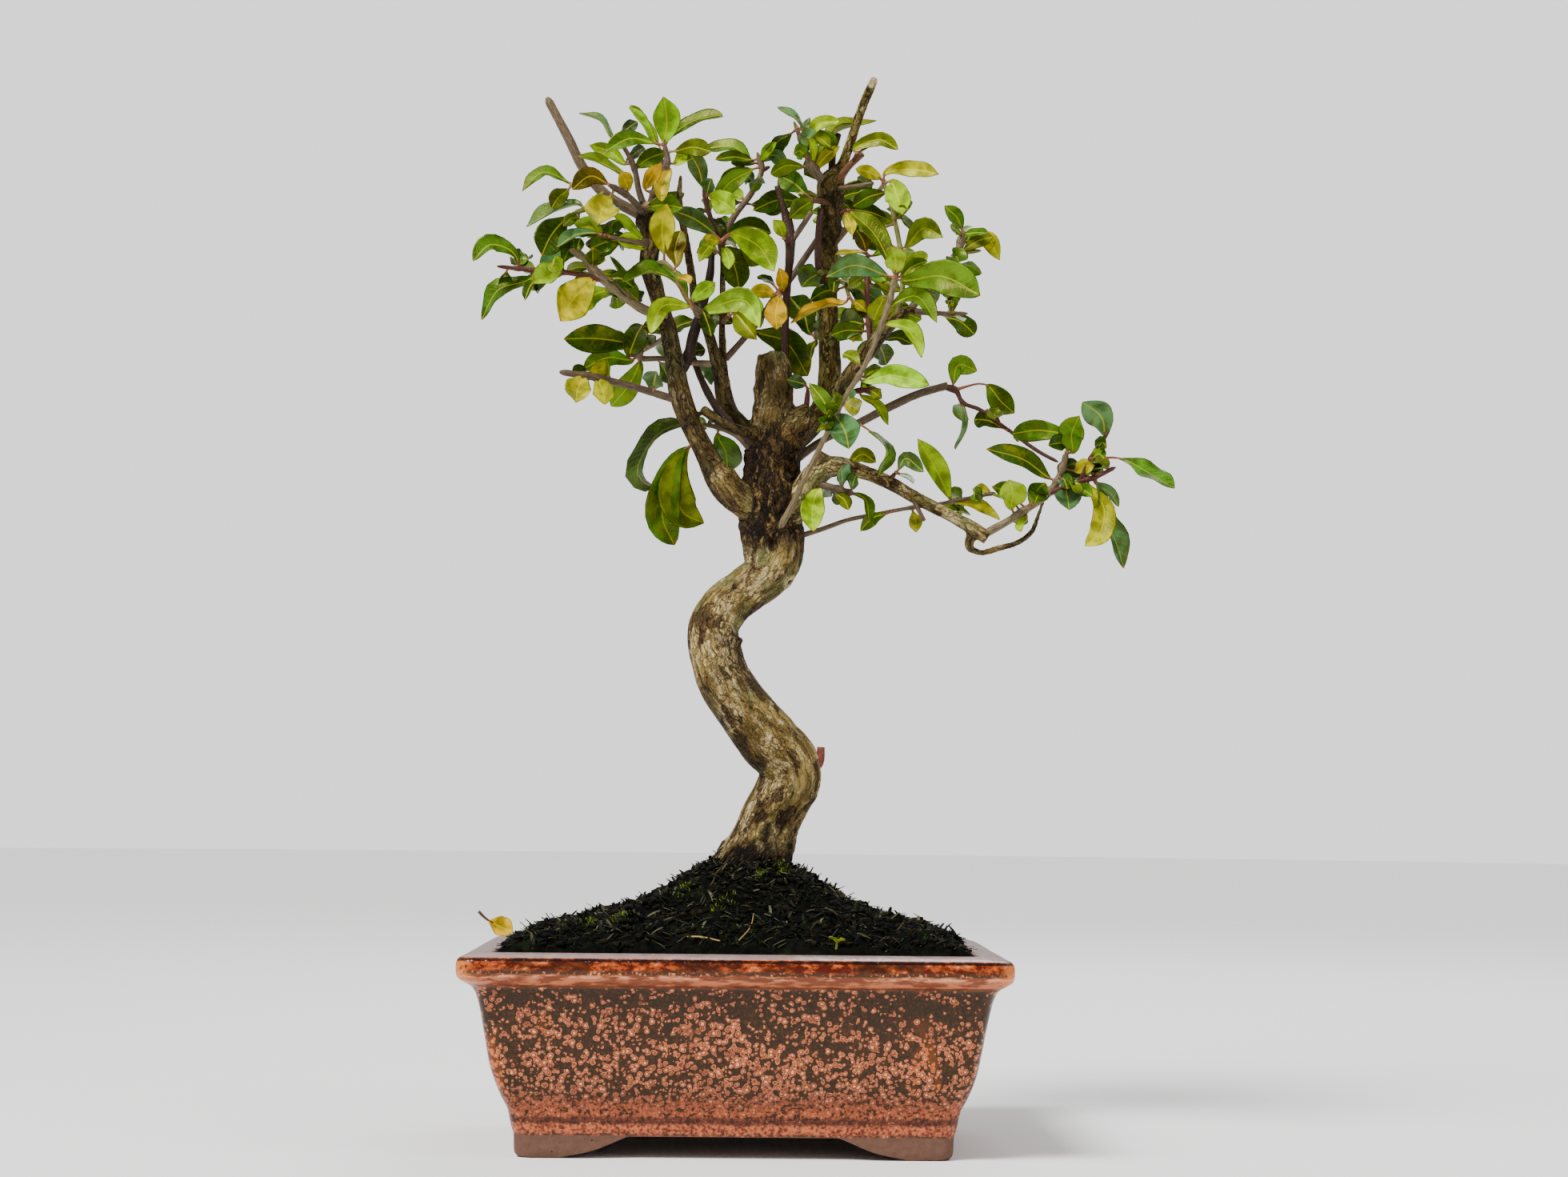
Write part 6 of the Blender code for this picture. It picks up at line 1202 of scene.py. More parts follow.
# How much darker and which way tinted a limb's bark is than the trunk's
LIMB_TONES = {
    "trunk": (0.94, 0.91, 0.9), "left_limb": (0.44, 0.41, 0.4), "left_limb_stub": (0.8, 0.74, 0.66),
    "right_limb": (0.7, 0.72, 0.54), "middle_limb": (0.45, 0.41, 0.38), "other": (0.54, 0.5, 0.45),
    "low_limb": (0.88, 0.87, 0.84), "low_limb_stub": (0.78, 0.76, 0.7), "burl": (0.6, 0.5, 0.42),
}
THICK_LIMB = 4.4
RED_STUB_OUT = (1.4, -0.6, 0.6)
TWIG_TONES = {
    "red_stub": "7c3c2c", "centre_twig": "3a2418", "left_dark": "2e2018", "middle_dark": "38281a",
    "knot_stub": "6e4a2c", "low_limb_hook": "5c4a3a",
}
VOXEL = 0.0008


def fine_path(rows, step):
    """The places and radii of a woody path at an even step, on a smooth curve through its rows."""
    known = np.array([(*spot(u, v, depth), diameter / 2) for u, v, depth, diameter in rows])
    length = np.linalg.norm(np.diff(known[:, :3], axis=0), axis=1).sum()
    fine = along(known, np.linspace(0, 1, max(6, int(length / step))))
    return fine[:, :3], np.maximum(fine[:, 3], 0.5)


def melted(shells):
    """Shells that cross, as one skin: a voxel remesh, then an even smoothing. It gives points in mm and faces."""
    points, faces = joined([s[:2] for s in shells])
    piece = bpy.data.objects.new("melting", mesh_of("melting", points, faces))
    bpy.context.scene.collection.objects.link(piece)
    remesh = piece.modifiers.new("skin", "REMESH")
    remesh.mode = "VOXEL"
    remesh.voxel_size = VOXEL
    soften = piece.modifiers.new("soften", "SMOOTH")
    soften.factor = 0.5
    soften.iterations = 6
    mesh = bpy.data.meshes.new_from_object(piece.evaluated_get(bpy.context.evaluated_depsgraph_get()))
    bpy.data.objects.remove(piece, do_unlink=True)
    made = np.empty(len(mesh.vertices) * 3, np.float32)
    mesh.vertices.foreach_get("co", made)
    corners = np.empty(len(mesh.loops), np.int32)
    mesh.loops.foreach_get("vertex_index", corners)
    normals = np.empty(len(mesh.vertices) * 3, np.float32)
    mesh.vertices.foreach_get("normal", normals)
    bpy.data.meshes.remove(mesh)
    return (made.reshape(-1, 3) - SHIFT) / MM, corners.reshape(-1, 4), normals.reshape(-1, 3)


def grain_of(points, paths):
    """Each point's place across and along the nearest path, how far out it is, and that path's number and radius."""
    centres, firsts, seconds, aheads, ways, radii, numbers_of = [], [], [], [], [], [], []
    for number, (path, radius) in enumerate(paths):
        first, second = frames(path)
        centres.append(path)
        firsts.append(first)
        seconds.append(second)
        aheads.append(np.cross(first, second))
        ways.append(np.concatenate(([0.0], np.cumsum(np.linalg.norm(np.diff(path, axis=0), axis=1)))))
        radii.append(radius)
        numbers_of.append(np.full(len(path), number))
    centres, firsts, seconds, aheads = (np.vstack(part) for part in (centres, firsts, seconds, aheads))
    ways, radii, numbers_of = (np.concatenate(part) for part in (ways, radii, numbers_of))
    nearest = np.empty(len(points), int)
    for start in range(0, len(points), 4000):
        part = points[start:start + 4000]
        gap = np.linalg.norm(part[:, None] - centres[None], axis=2) - radii
        nearest[start:start + 4000] = gap.argmin(1)
    offset = points - centres[nearest]
    grain = np.stack((
        (offset * firsts[nearest]).sum(1), (offset * seconds[nearest]).sum(1),
        ways[nearest] + (offset * aheads[nearest]).sum(1) + 37.0 * numbers_of[nearest],
    ), axis=1)
    return grain, numbers_of[nearest], radii[nearest]


def smooth_rise(values, start, end):
    t = np.clip((values - start) / (end - start), 0, 1)
    return t * t * (3 - 2 * t)


def make_wood():
    """Trunk and thick limbs in one skin with worked bark, and the twigs as tubes of their own."""
    wood = read_wood()
    heavy = {name: rows for name, rows in wood.items() if max(row[3] for row in rows) > THICK_LIMB}
    paths = [fine_path(rows, 1.6) for rows in heavy.values()]
    shells = [sweep(path, radii, 24) for path, radii in paths]
    points, faces, normals = melted(shells)
    grain, number, radius = grain_of(points, paths)
    trunk = (number == 0).astype(float)
    height = points[:, 2]
    chunky = smooth_rise(height, 222, 232) * smooth_rise(-height, -282, -270) * trunk
    chunky = np.maximum(chunky, 0.38 * smooth_rise(height, 270, 290) * trunk)
    chunky = np.maximum(chunky, 0.7 * smooth_rise(height, 340, 352) * smooth_rise(-height, -372, -366) * (radius > 3.6))
    lengthwise = grain * (1.0, 1.0, 0.22)
    ridge = 1 - 2 * np.abs(noise(lengthwise, 3.4, 5))
    broad = layered(grain * (1, 1, 0.6), 13.0, 9, 2)
    flakes = layered(grain * (1, 1, 0.5), 3.6, 13, 3)
    chunks = 1 - 2.4 * np.abs(noise(points, 4.6, 17)) + 0.8 * noise(points, 2.1, 19)
    # Painted shade: the trunk is darkened on faces that turn down, on its lower left side and in the hollow of its
    # bend. The ragged dark at the foot below is the dark bark there.
    shaded_left_side = smooth_rise(-normals[:, 0], 0.1, 0.8)
    under = smooth_rise(-normals[:, 2], 0.1, 0.6)
    shaded_hollow = smooth_rise(normals[:, 0], 0.05, 0.6) * smooth_rise(height, 163, 175) * smooth_rise(-height, -210, -198)
    dark = 0.45 * shaded_left_side * smooth_rise(-height, -205, -150) * trunk + 0.6 * np.maximum(under, shaded_hollow * trunk)
    ragged = height + 9 * noise(grain * (1, 1, 0.25), 4.0, 29) + 4 * noise(points, 2.4, 31)
    dark = dark * (0.6 + 0.7 * noise(grain, 5.0, 23)) + 0.85 * smooth_rise(-ragged, -116, -105)
    chunky = np.maximum(chunky, smooth_rise(-ragged, -120, -108) * trunk)
    lift = np.minimum(radius, 12) * (0.075 * broad + 0.018 * flakes + 0.014 * ridge) + 0.12 * flakes
    lift = lift * (1 - chunky) + chunky * (0.9 * chunks + 0.3 * flakes)
    pale = np.zeros(len(points))
    skin = surface_of(points, faces)
    for px, py, size, rise, darker, paler in MARKS:
        centre = seen_on(skin, px, py)
        if centre is None:
            continue
        near = np.exp(-((np.linalg.norm(points - centre, axis=1) / size) ** 2) * 1.2)
        lift += rise * near
        dark += darker * smooth_rise(near, 0.25, 0.6)
        pale += paler * smooth_rise(near, 0.2, 0.5)
    points = points + normals * lift[:, None]
    # The first column is how dark the bark is: painted shade together with dark bark.
    wear = np.clip(np.stack((dark, pale, chunky), axis=1), 0, 1)
    tones = np.array([LIMB_TONES.get(name, LIMB_TONES["other"]) for name in heavy])
    tint = tones[number]
    shells = [(points, faces, grain, wear, tint, np.zeros(len(faces), int))]
    dice = random.Random(SEED)
    for name, rows in wood.items():
        if name in heavy:
            continue
        path, radii = fine_path(rows, 1.3)
        radii = radii * (1 + 0.07 * layered(path, 4.0, 3, 2))
        if name == "red_stub":
            path, radii = path + RED_STUB_OUT, radii * 1.4
        tube_points, tube_faces, tube_grain = sweep(path, radii, 12)
        tone = dice.choice(("5c4a36", "6a5640", "4a2e24", "3c2018"))
        tone = np.array(hex_colour(TWIG_TONES.get(name, tone))[:3])
        shells.append((
            tube_points, tube_faces, tube_grain + (0, 0, 50 * dice.random()), np.zeros((len(tube_points), 3)),
            np.tile(tone, (len(tube_points), 1)), np.ones(len(tube_faces), int),
        ))
    points, faces, grain, wear, tint, kind = joined(shells)
    mesh = mesh_of("bark_skin", points, faces)
    column(mesh, "grain", grain)
    column(mesh, "wear", wear)
    column(mesh, "tint", tint)
    mesh.polygons.foreach_set("material_index", kind.astype(np.int32))
    placed(mesh, None, [bark(), twig()], ("trunk_and_limbs",))
    return surface_of(points, faces)


# The leafy shoots

TONES = {
    "deep": "22460a", "green": "4c7010", "teal": "4c7042", "lime": "8cac00", "yellow": "c8bc00",
    "gold": "dcac00", "amber": "503a00", "pale": "9cb420", "olive": "64700a",
}


def nearest_on_stem(stems, u, v):
    """The point of the stems that is seen nearest to (u, v), a stem's outer end being favoured."""
    best, found = 1e9, None
    for rows in stems:
        for k, (a, b) in enumerate(zip(rows, rows[1:])):
            step = np.array(b[:2]) - np.array(a[:2])
            t = float(np.clip(np.dot(np.array((u, v)) - a[:2], step) / max(step @ step, 1e-9), 0, 1))
            point = np.array(a[:3]) + t * (np.array(b[:3]) - np.array(a[:3]))
            gap = math.dist(point[:2], (u, v)) - END_FAVOUR * (k + t) / (len(rows) - 1)
            if gap < best:
                best, found = gap, point
    return found


def leaf_form(stems, leaf, swing_more):
    """A leaf's rib as places in space, its true width, and how far its blade is turned.

    A leaf that looks shorter than its width allows swings its tip towards the eye or away, and one
    that looks narrower than its length allows is turned about its rib.
    """
    _, seen_width, lean, seen = leaf
    seen = [np.array(p, float) for p in seen]
    root = nearest_on_stem(stems, *seen[0])
    if len(seen) == 2:
        chord = seen[1] - seen[0]
        lift = np.array((-chord[1], chord[0])) * (0.07 if chord[0] > 0 else -0.07)
        seen.insert(1, (seen[0] + seen[1]) / 2 + lift)
    steps = [math.dist(a, b) for a, b in zip(seen, seen[1:])]
    length_seen = sum(steps)
    length = max(1.04 * length_seen, 2.2 * seen_width, LEAST_LEAF)
    swing = lean * math.sqrt(max(length**2 - length_seen**2, 0.0)) + swing_more
    swing = max(-MOST_SWING, min(MOST_SWING, swing))
    rib = [spot(*root)]
    covered = 0.0
    for k, point in enumerate(seen):
        rib.append(spot(point[0], point[1], root[2] + swing * (covered / length_seen) ** 1.2))
        if k < len(steps):
            covered += steps[k]
    if np.linalg.norm(rib[1] - rib[0]) < 0.8:
        rib.pop(1)
    width = max(seen_width, 0.27 * length)
    return rib, width, math.acos(min(1.0, seen_width / width))


def settled(stems, leaf, solid):
    """The form, of a few swings, whose tip and middle lie on the shoot's own solid, or None where there is no such leaf."""
    best, found = 1e9, None
    for more in SWINGS:
        form = leaf_form(stems, leaf, more)
        ends = along(form[0], (0.8, 1.0))
        miss = sum(solid.find_nearest(Vector(p))[3] for p in ends)
        if miss < best - 0.01:
            best, found = miss, form
    return found if best < 1.5 else None


def rear_shoot(shoots, twin, root, reach, count, rng):
    """A shoot on the far side of the tree: a stem straight back along the line of sight."""
    leaves = shoots[twin][1]
    u, v, depth = root
    middle = np.mean([leaf[3][0] for leaf in leaves[:count]], axis=0)
    end = np.array((u, v)) + 0.5 * (middle - (u, v))
    stem = (
        (u, v, depth, 3.0), (u, v, depth + 0.45 * reach, 2.6),
        (float(end[0]), float(end[1]), depth + 0.8 * reach, 2.2),
        (float(middle[0]), float(middle[1]), depth + reach, 1.8),
    )
    return [stem], [(tone, width * 0.92, rng.choice((1, 1, -1)), seen) for tone, width, _, seen in leaves[:count]]


def all_shoots():
    rng = random.Random(REAR_SEED)
    known = read_shoots()
    found = dict(known)
    for name, row in REAR.items():
        found[name] = rear_shoot(known, *row, rng)
    return found


def blade_frames(rib, shares, turn, faces_up):
    """Places along the rib, with the blade's sideways and outward directions at each."""
    middle = along(rib, shares)
    shares = np.asarray(shares)
    ahead = along(rib, np.minimum(shares + 0.02, 1)) - along(rib, np.maximum(shares - 0.02, 0))
    ahead /= np.linalg.norm(ahead, axis=1)[:, None]
    facing = np.tile((0.0, 0.0, 1.0), (len(middle), 1)) if faces_up else EYE - middle
    facing /= np.linalg.norm(facing, axis=1)[:, None]
    side = np.cross(ahead, facing)
    side /= np.linalg.norm(side, axis=1)[:, None]
    out = np.cross(side, ahead)
    up_turn = 1 if side[:, 2].sum() > 0 else -1
    c, s = np.cos(turn)[:, None], (np.sin(turn) * up_turn)[:, None]
    return middle, side * c - out * s, out * c + side * s


def shade_of(tone, dice):
    """A tone's colour, a little lighter or darker and warmer or cooler by chance."""
    colour = np.array(hex_colour(TONES[tone])[:3])
    lush = colour[1] > colour[0]
    red = dice.uniform(0.72, 1.08) if lush else dice.uniform(0.92, 1.12)
    bright = dice.uniform(0.8, 1.4) if lush else dice.uniform(0.75, 1.1)
    return np.clip(colour * bright * (red, 1.02, 1.0), 0, 1)


def blade(form, tone, dice, faces_up=False, fold=None):
    """A leaf blade as one closed skin over rings, where t runs from its base to its tip and s from -1 to 1 across.

    The half-width is W/2 * t^0.85 * (1 - t^b)^c over its greatest value, with b and c a little different in each. The edges rise by fold * |s|^1.5 of it
    and ripple by sin(t) * s^2. The upper side has a groove and the underside a rib where s is 0, and the
    two part by a thickness that falls off with s^2. The whole twists a little and its tip curls by t^2.
    """
    rib, width, turn = form
    start = np.linalg.norm(np.subtract(rib[1], rib[0]))
    total = sum(np.linalg.norm(np.subtract(a, b)) for a, b in zip(rib, rib[1:]))
    stalk = min(start / total, 0.5) if len(rib) > 3 else 0.0
    even = np.linspace(0, 1, LEAF_STATIONS)
    t = 0.45 * even + 0.55 * (1 - np.cos(math.pi * even)) / 2
    length = total * (1 - stalk)
    twist = dice.uniform(-0.42, 0.42)
    middle, side, out = blade_frames(rib, stalk + (1 - stalk) * t, turn + twist * (t - 0.35), faces_up)
    fold = dice.uniform(0.2, 0.62) if fold is None else fold
    curl, phase, waves = dice.uniform(-0.05, 0.035), dice.uniform(0, 6.28), dice.uniform(1.1, 2.2)
    blunt, full = dice.uniform(1.7, 3.2), dice.uniform(0.68, 1.15)
    shape = t**0.85 * (1 - t**blunt) ** full
    half = np.maximum(FULLER * width / 2 * shape / shape.max(), 0.12)[:, None]
    s = np.array(LEAF_ACROSS)[None, :]
    t = t[:, None]
    across = half * s
    ripple = 0.1 * width * np.sin(2 * math.pi * waves * t + phase + 0.8 * np.sign(s)) * s**2 * np.sin(math.pi * t)
    rise = fold * half * np.abs(s) ** 1.5 + ripple - fold * half * 0.25 + curl * length * t**2
    thick = 0.12 + 0.22 * (1 - s**2) * (1 - 0.5 * t)
    upper = rise + thick - 0.16 * np.exp(-((across / 0.45) ** 2)) * (half > 1)
    lower = rise - thick - 0.34 * (1 - t) * np.exp(-((across / 0.4) ** 2))
    order = list(range(s.size)) + list(range(s.size - 2, 0, -1))
    beneath = np.array([0.0] * s.size + [1.0] * (s.size - 2))
    heights = np.where(beneath[None, :] > 0, lower[:, order], upper[:, order])
    rings = middle[:, None] + side[:, None] * across[:, order, None] + out[:, None] * heights[..., None]
    points, faces = capped(rings)
    grid = np.broadcast_to(t, across.shape)[:, order]
    own = dice.random()
    place = np.stack((grid * length, across[:, order], np.full(grid.shape, own)), axis=2).reshape(-1, 3)
    edge = np.stack((
        np.broadcast_to(half, across.shape)[:, order] - np.abs(across[:, order]),
        np.broadcast_to(beneath, grid.shape), grid,
    ), axis=2).reshape(-1, 3)
    place = np.vstack((place, (0, 0, own), (length, 0, own)))
    edge = np.vstack((edge, (0, 0, 0), (0, 0, 1)))
    tint = np.tile(shade_of(tone, dice), (len(points), 1))
    return points, faces, np.zeros((len(points), 3)), place, edge, tint, np.zeros(len(faces), int)


def stalk_of(form, dice):
    """The leaf's stalk: a thin tube from inside the stem, thicker at its foot, to just inside the blade."""
    rib = form[0]
    start = np.linalg.norm(np.subtract(rib[1], rib[0]))
    total = sum(np.linalg.norm(np.subtract(a, b)) for a, b in zip(rib, rib[1:]))
    stalk = min(start / total, 0.5) if len(rib) > 3 else 0.0
    path = along(rib, np.linspace(0, stalk + 2.2 / total, 7))
    radii = np.array((0.95, 0.7, 0.52, 0.46, 0.44, 0.4, 0.3))
    colour = np.array(hex_colour(dice.choice(("9c5c40", "b0704a", "a8884a", "8a5c3c")))[:3])
    return woody(path, radii, 7, colour)


def woody(path, radii, sides, colour):
    """A tube with the columns that a shoot's mesh carries, in one colour."""
    points, faces, grain = sweep(path, radii, sides)
    flat = np.zeros((len(points), 3))
    return points, faces, grain, flat, flat, np.tile(colour, (len(points), 1)), np.ones(len(faces), int)


def stem_of(rows, roots, dice):
    """A stem: a tube that swells where a leaf leaves it, wanders by a fraction of its radius, and ends in a bud."""
    path, radii = fine_path(rows, 0.9)
    knots = np.zeros(len(path))
    for root in roots:
        knots += np.exp(-((np.linalg.norm(path - root, axis=1) / 1.1) ** 2))
    radii = radii * (1 + 0.32 * np.minimum(knots, 1) + 0.05 * layered(path, 3.0, 5, 2))
    radii[-3:] *= (0.95, 0.75, 0.4)
    thick = max(row[3] for row in rows)
    tones = ("6e5c42", "5e4c38", "7a6a4a") if thick > 2.6 else ("5a2c20", "6b4a30", "7a7a38", "4e2a1c")
    return woody(path, radii, 10, np.array(hex_colour(dice.choice(tones))[:3]))


def inner_leaves(stems, wood, dice):
    """Small leaves along a shoot's stems that point up, sideways and back, so that the crown has depth.

    Each is a rib of four points: out from the stem, rising, then drooping at its tip.
    """
    found = []
    for rows in stems:
        path, _ = fine_path(rows, 1.0)
        if len(path) < SHORT_STEM:
            continue
        u, v = rows[0][0] - CROWN_AT[0], rows[0][1] - CROWN_AT[1]
        inside = math.hypot(u / CROWN_SIZE[0], v / CROWN_SIZE[1]) < 1
        wide = INNER_LEAVES if inside else OUTER_LEAVES
        for number in range(wide + DEEP_LEAVES):
            root = along(path, (dice.uniform(0.15, 0.95),))[0]
            angle = dice.uniform(-0.35, 3.5) if number < wide else dice.choice((-1, 1)) * dice.uniform(1.15, 1.95)
            rise, length = dice.uniform(-0.5, 0.7), dice.uniform(*INNER_LENGTH)
            ahead = np.array((math.cos(angle), math.sin(angle), rise))
            ahead = ahead / np.linalg.norm(ahead)
            rib = [
                root, root + 0.16 * length * ahead, root + 0.6 * length * ahead + (0, 0, 0.9),
                root + length * ahead - (0, 0, dice.uniform(0.0, 2.2)),
            ]
            if rib[-1][2] > LEAFLESS_ABOVE or rib[-1][0] < LEAFLESS_LEFT and rib[-1][2] > LEAFLESS_LEFT_ABOVE:
                continue
            if min(wood.find_nearest(Vector(p))[3] for p in along(rib, (0.5, 0.75, 1.0))) > CLEAR_OF_WOOD:
                found.append((dice.choice(INNER_TONES), (rib, length * dice.uniform(0.34, 0.46), dice.uniform(-0.9, 0.9))))
    return found


def make_shoots(leaf_finish, twig_finish, wood):
    """Every leafy shoot as one piece: its stems, its leaf stalks and its blades."""
    for number, (name, (stems, leaves)) in enumerate(all_shoots().items()):
        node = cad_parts[name]
        points = np.empty(len(node.data.vertices) * 3, np.float32)
        node.data.vertices.foreach_get("co", points)
        corners = np.empty(len(node.data.loops), np.int32)
        node.data.loops.foreach_get("vertex_index", corners)
        solid = BVHTree.FromPolygons(((points.reshape(-1, 3) - SHIFT) / MM).tolist(), corners.reshape(-1, 3).tolist())
        dice = random.Random(SEED + number)
        forms = [(leaf[0], settled(stems, leaf, solid)) for leaf in leaves]
        forms = [(tone, form) for tone, form in forms if form is not None]
        shells = [stem_of(rows, [form[0][0] for _, form in forms], dice) for rows in stems]
        forms += inner_leaves(stems, wood, random.Random(REAR_SEED + number))
        for tone, form in forms:
            shells.append(stalk_of(form, dice))
            shells.append(blade(form, tone, dice))
        points, faces, grain, place, edge, tint, kind = joined(shells)
        mesh = mesh_of(name.replace("shoot_", "leaves_").replace("rear_", "leaves_rear_"), points, faces)
        column(mesh, "grain", grain)
        column(mesh, "blade", place)
        column(mesh, "edge", edge)
        column(mesh, "tint", tint)
        mesh.polygons.foreach_set("material_index", kind.astype(np.int32))
        placed(mesh, None, [leaf_finish, twig_finish], (name,))


def column_shells(name, shells, finishes, replaced):
    """A piece from shells that carry the shoots' columns."""
    points, faces, grain, place, edge, tint, kind = joined(shells)
    mesh = mesh_of(name, points, faces)
    for label, values in (("grain", grain), ("blade", place), ("edge", edge), ("tint", tint)):
        column(mesh, label, values)
    mesh.polygons.foreach_set("material_index", kind.astype(np.int32))
    return placed(mesh, None, finishes, replaced)


def make_fallen_leaf(leaf_finish, twig_finish):
    """The yellow leaf that leans on the rim at the left, with its brown stalk."""
    rib = [np.array(p) for p in FALLEN_RIB]
    dice = random.Random(SEED)
    foot = [rib[0] + (-0.9, 0.2, 1.0), rib[0], rib[1], rib[2]]
    shells = [
        blade((rib, FALLEN_WIDTH, FALLEN_TURN), "gold", dice, fold=0.35),
        woody(along(foot, np.linspace(0, 0.7, 7)), np.linspace(0.6, 0.35, 7), 8, np.array(hex_colour("5a3a18")[:3])),
    ]
    column_shells("fallen_leaf_piece", shells, [leaf_finish, twig_finish], ("fallen_leaf",))


def make_seedling(leaf_finish, twig_finish):
    """A weed seedling with two leaflets on a pale stalk."""
    root = np.array(SEEDLING_AT)
    top = root + (0.2, -0.8, SEEDLING_HEIGHT)
    path = along([root - (0, 0, SEEDLING_DEPTH - 1), root, top], np.linspace(0, 1, 12))
    dice = random.Random(SEED)
    shells = [woody(path, np.linspace(0.6, 0.4, 12), 8, np.array(hex_colour("8a9838")[:3]))]
    start = top - (0, 0, 0.6)
    for reach in LEAFLETS:
        rib = [start, start + np.array(reach) * 0.45 + (0, 0, 0.5), start + np.array(reach)]
        shells.append(blade((rib, LEAFLET_WIDTH, 0.0), "lime", dice, faces_up=True, fold=0.2))
    column_shells("seedling_piece", shells, [leaf_finish, twig_finish], ("seedling",))


# What lies on the soil


def on_soil(ground, x, y):
    """The soil's height below (x, y), found by a ray from above."""
    hit = ground.ray_cast(Vector((x, y, 300.0)), Vector((0, 0, -1)))[0]
    return np.array(hit) if hit is not None else None


def strewn(ground, count, dice):
    """Places spread over the soil by chance, inside the wall, with the surface's height."""
    found = []
    while len(found) < count:
        x, y = dice.uniform(-85, 85), dice.uniform(-62, 62)
        place = on_soil(ground, x, y)
        if place is not None:
            found.append(place)
    return np.array(found)


def fibres(places, dice, lengths, radius, tones, lift, flat=1.0, steep=(-0.15, 0.25)):
    """Many thin three-sided strands at once: each follows a shallow arc over its place, at a turn of its own.

    A strand's section is a triangle of this radius across, and flat times as much up and down.
    """
    count, stations = len(places), 5
    turn = dice.uniform(0, 2 * math.pi, count)
    length = dice.uniform(*lengths, count)
    s = np.linspace(-0.5, 0.5, stations)
    bend = dice.uniform(-0.5, 0.5, count)
    ahead = np.stack((np.cos(turn), np.sin(turn), dice.uniform(*steep, count)), axis=1)
    across = np.stack((-np.sin(turn), np.cos(turn), np.zeros(count)), axis=1)
    centre = (
        places[:, None] + ahead[:, None] * (length[:, None] * s)[..., None]
        + across[:, None] * (bend[:, None] * length[:, None] * (0.25 - s**2))[..., None]
        + np.array((0, 0, 1.0)) * (lift * length[:, None] * (0.25 - s**2) + 0.1)[..., None]
    )
    thin = radius * dice.uniform(0.6, 1.3, count)[:, None] * (1 - 1.2 * s**2)
    angle = np.arange(3) * 2 * math.pi / 3
    ring = (
        across[:, None, None] * np.cos(angle)[None, None, :, None]
        + np.array((0, 0, flat)) * np.sin(angle)[None, None, :, None]
    ) * thin[..., None, None]
    points = centre[:, :, None] + ring
    index = np.arange(stations * 3).reshape(stations, 3)
    turned = np.roll(index, -1, axis=1)
    quads = np.stack((index[:-1], index[1:], turned[1:], turned[:-1]), axis=-1).reshape(-1, 4)
    ends = np.array(((0, 1, 2, 2), (index[-1, 0], index[-1, 2], index[-1, 1], index[-1, 1])))
    one = np.vstack((quads, ends))
    faces = (one[None] + (np.arange(count) * stations * 3)[:, None, None]).reshape(-1, 4)
    palette = np.array([hex_colour(t)[:3] for t in tones])
    tint = np.repeat(palette[dice.integers(0, len(tones), count)], stations * 3, axis=0)
    points = points.reshape(-1, 3)
    return points, outward_each(points, faces, count), tint


def outward_each(points, faces, count):
    """The faces of many alike shells, turned round together where their volume is negative."""
    return outward(points, faces)


def crumbs(places, dice, sizes, tones):
    """Many small lumps at once: the twelve corners of an icosahedron, each pushed in or out by chance."""
    golden = (1 + 5**0.5) / 2
    corners = []
    for a in (-1, 1):
        for b in (-golden, golden):
            corners += [(0, a, b), (a, b, 0), (b, 0, a)]
    corners = np.array(corners) / math.sqrt(1 + golden**2)
    gaps = np.linalg.norm(corners[:, None] - corners[None], axis=2)
    near = (gaps > 0.1) & (gaps < 1.2)
    triangles = [
        (i, j, k, k) for i in range(12) for j in range(i + 1, 12) for k in range(j + 1, 12)
        if near[i, j] and near[j, k] and near[i, k]
    ]
    triangles = [
        t if np.linalg.det(corners[list(t[:3])]) > 0 else (t[0], t[2], t[1], t[1]) for t in triangles
    ]
    count = len(places)
    size = dice.uniform(*sizes, count)
    points = corners[None] * dice.uniform(0.65, 1.15, (count, 12, 1)) * size[:, None, None]
    points = points * np.stack((dice.uniform(0.8, 1.3, count), dice.uniform(0.8, 1.3, count), np.full(count, 0.75)), 1)[:, None]
    points = points + places[:, None] + np.array((0, 0, 0.2)) * size[:, None, None]
    faces = (np.array(triangles)[None] + (np.arange(count) * 12)[:, None, None]).reshape(-1, 4)
    palette = np.array([hex_colour(t)[:3] for t in tones])
    tint = np.repeat(palette[dice.integers(0, len(tones), count)], 12, axis=0)
    return points.reshape(-1, 3), faces, tint


def sprigs(places, dice, heights, radius, tones):
    """Many moss blades at once: three-sided spikes that lean by chance."""
    count = len(places)
    height = dice.uniform(*heights, count)
    lean = dice.normal(0, 0.45, (count, 2))
    tip = places + np.column_stack((lean * height[:, None], height))
    angle = np.arange(3) * 2 * math.pi / 3
    turn = dice.uniform(0, 2 * math.pi, count)[:, None]
    thin = radius * dice.uniform(0.7, 1.4, count)[:, None]
    base = places[:, None] + np.stack((
        thin * np.cos(angle + turn), thin * np.sin(angle + turn), np.full((count, 3), -0.3),
    ), axis=2)
    points = np.concatenate((base, tip[:, None]), axis=1)
    one = np.array(((0, 2, 1, 1), (0, 1, 3, 3), (1, 2, 3, 3), (2, 0, 3, 3)))
    faces = (one[None] + (np.arange(count) * 4)[:, None, None]).reshape(-1, 4)
    palette = np.array([hex_colour(t)[:3] for t in tones])
    tint = np.repeat(palette[dice.integers(0, len(tones), count)], 4, axis=0)
    return points.reshape(-1, 3), faces, tint


def around_foot(ground, count, dice):
    """Places in a ring round the trunk's foot, thicker towards the trunk and to its right."""
    turn = dice.uniform(0, 2 * math.pi, count)
    out = 13 + np.abs(dice.normal(0, 7, count)) + 4 * np.cos(turn).clip(0)
    found = [on_soil(ground, x, y) for x, y in zip(TRUNK_AT + out * np.cos(turn), 2 + out * np.sin(turn))]
    return np.array([p for p in found if p is not None])


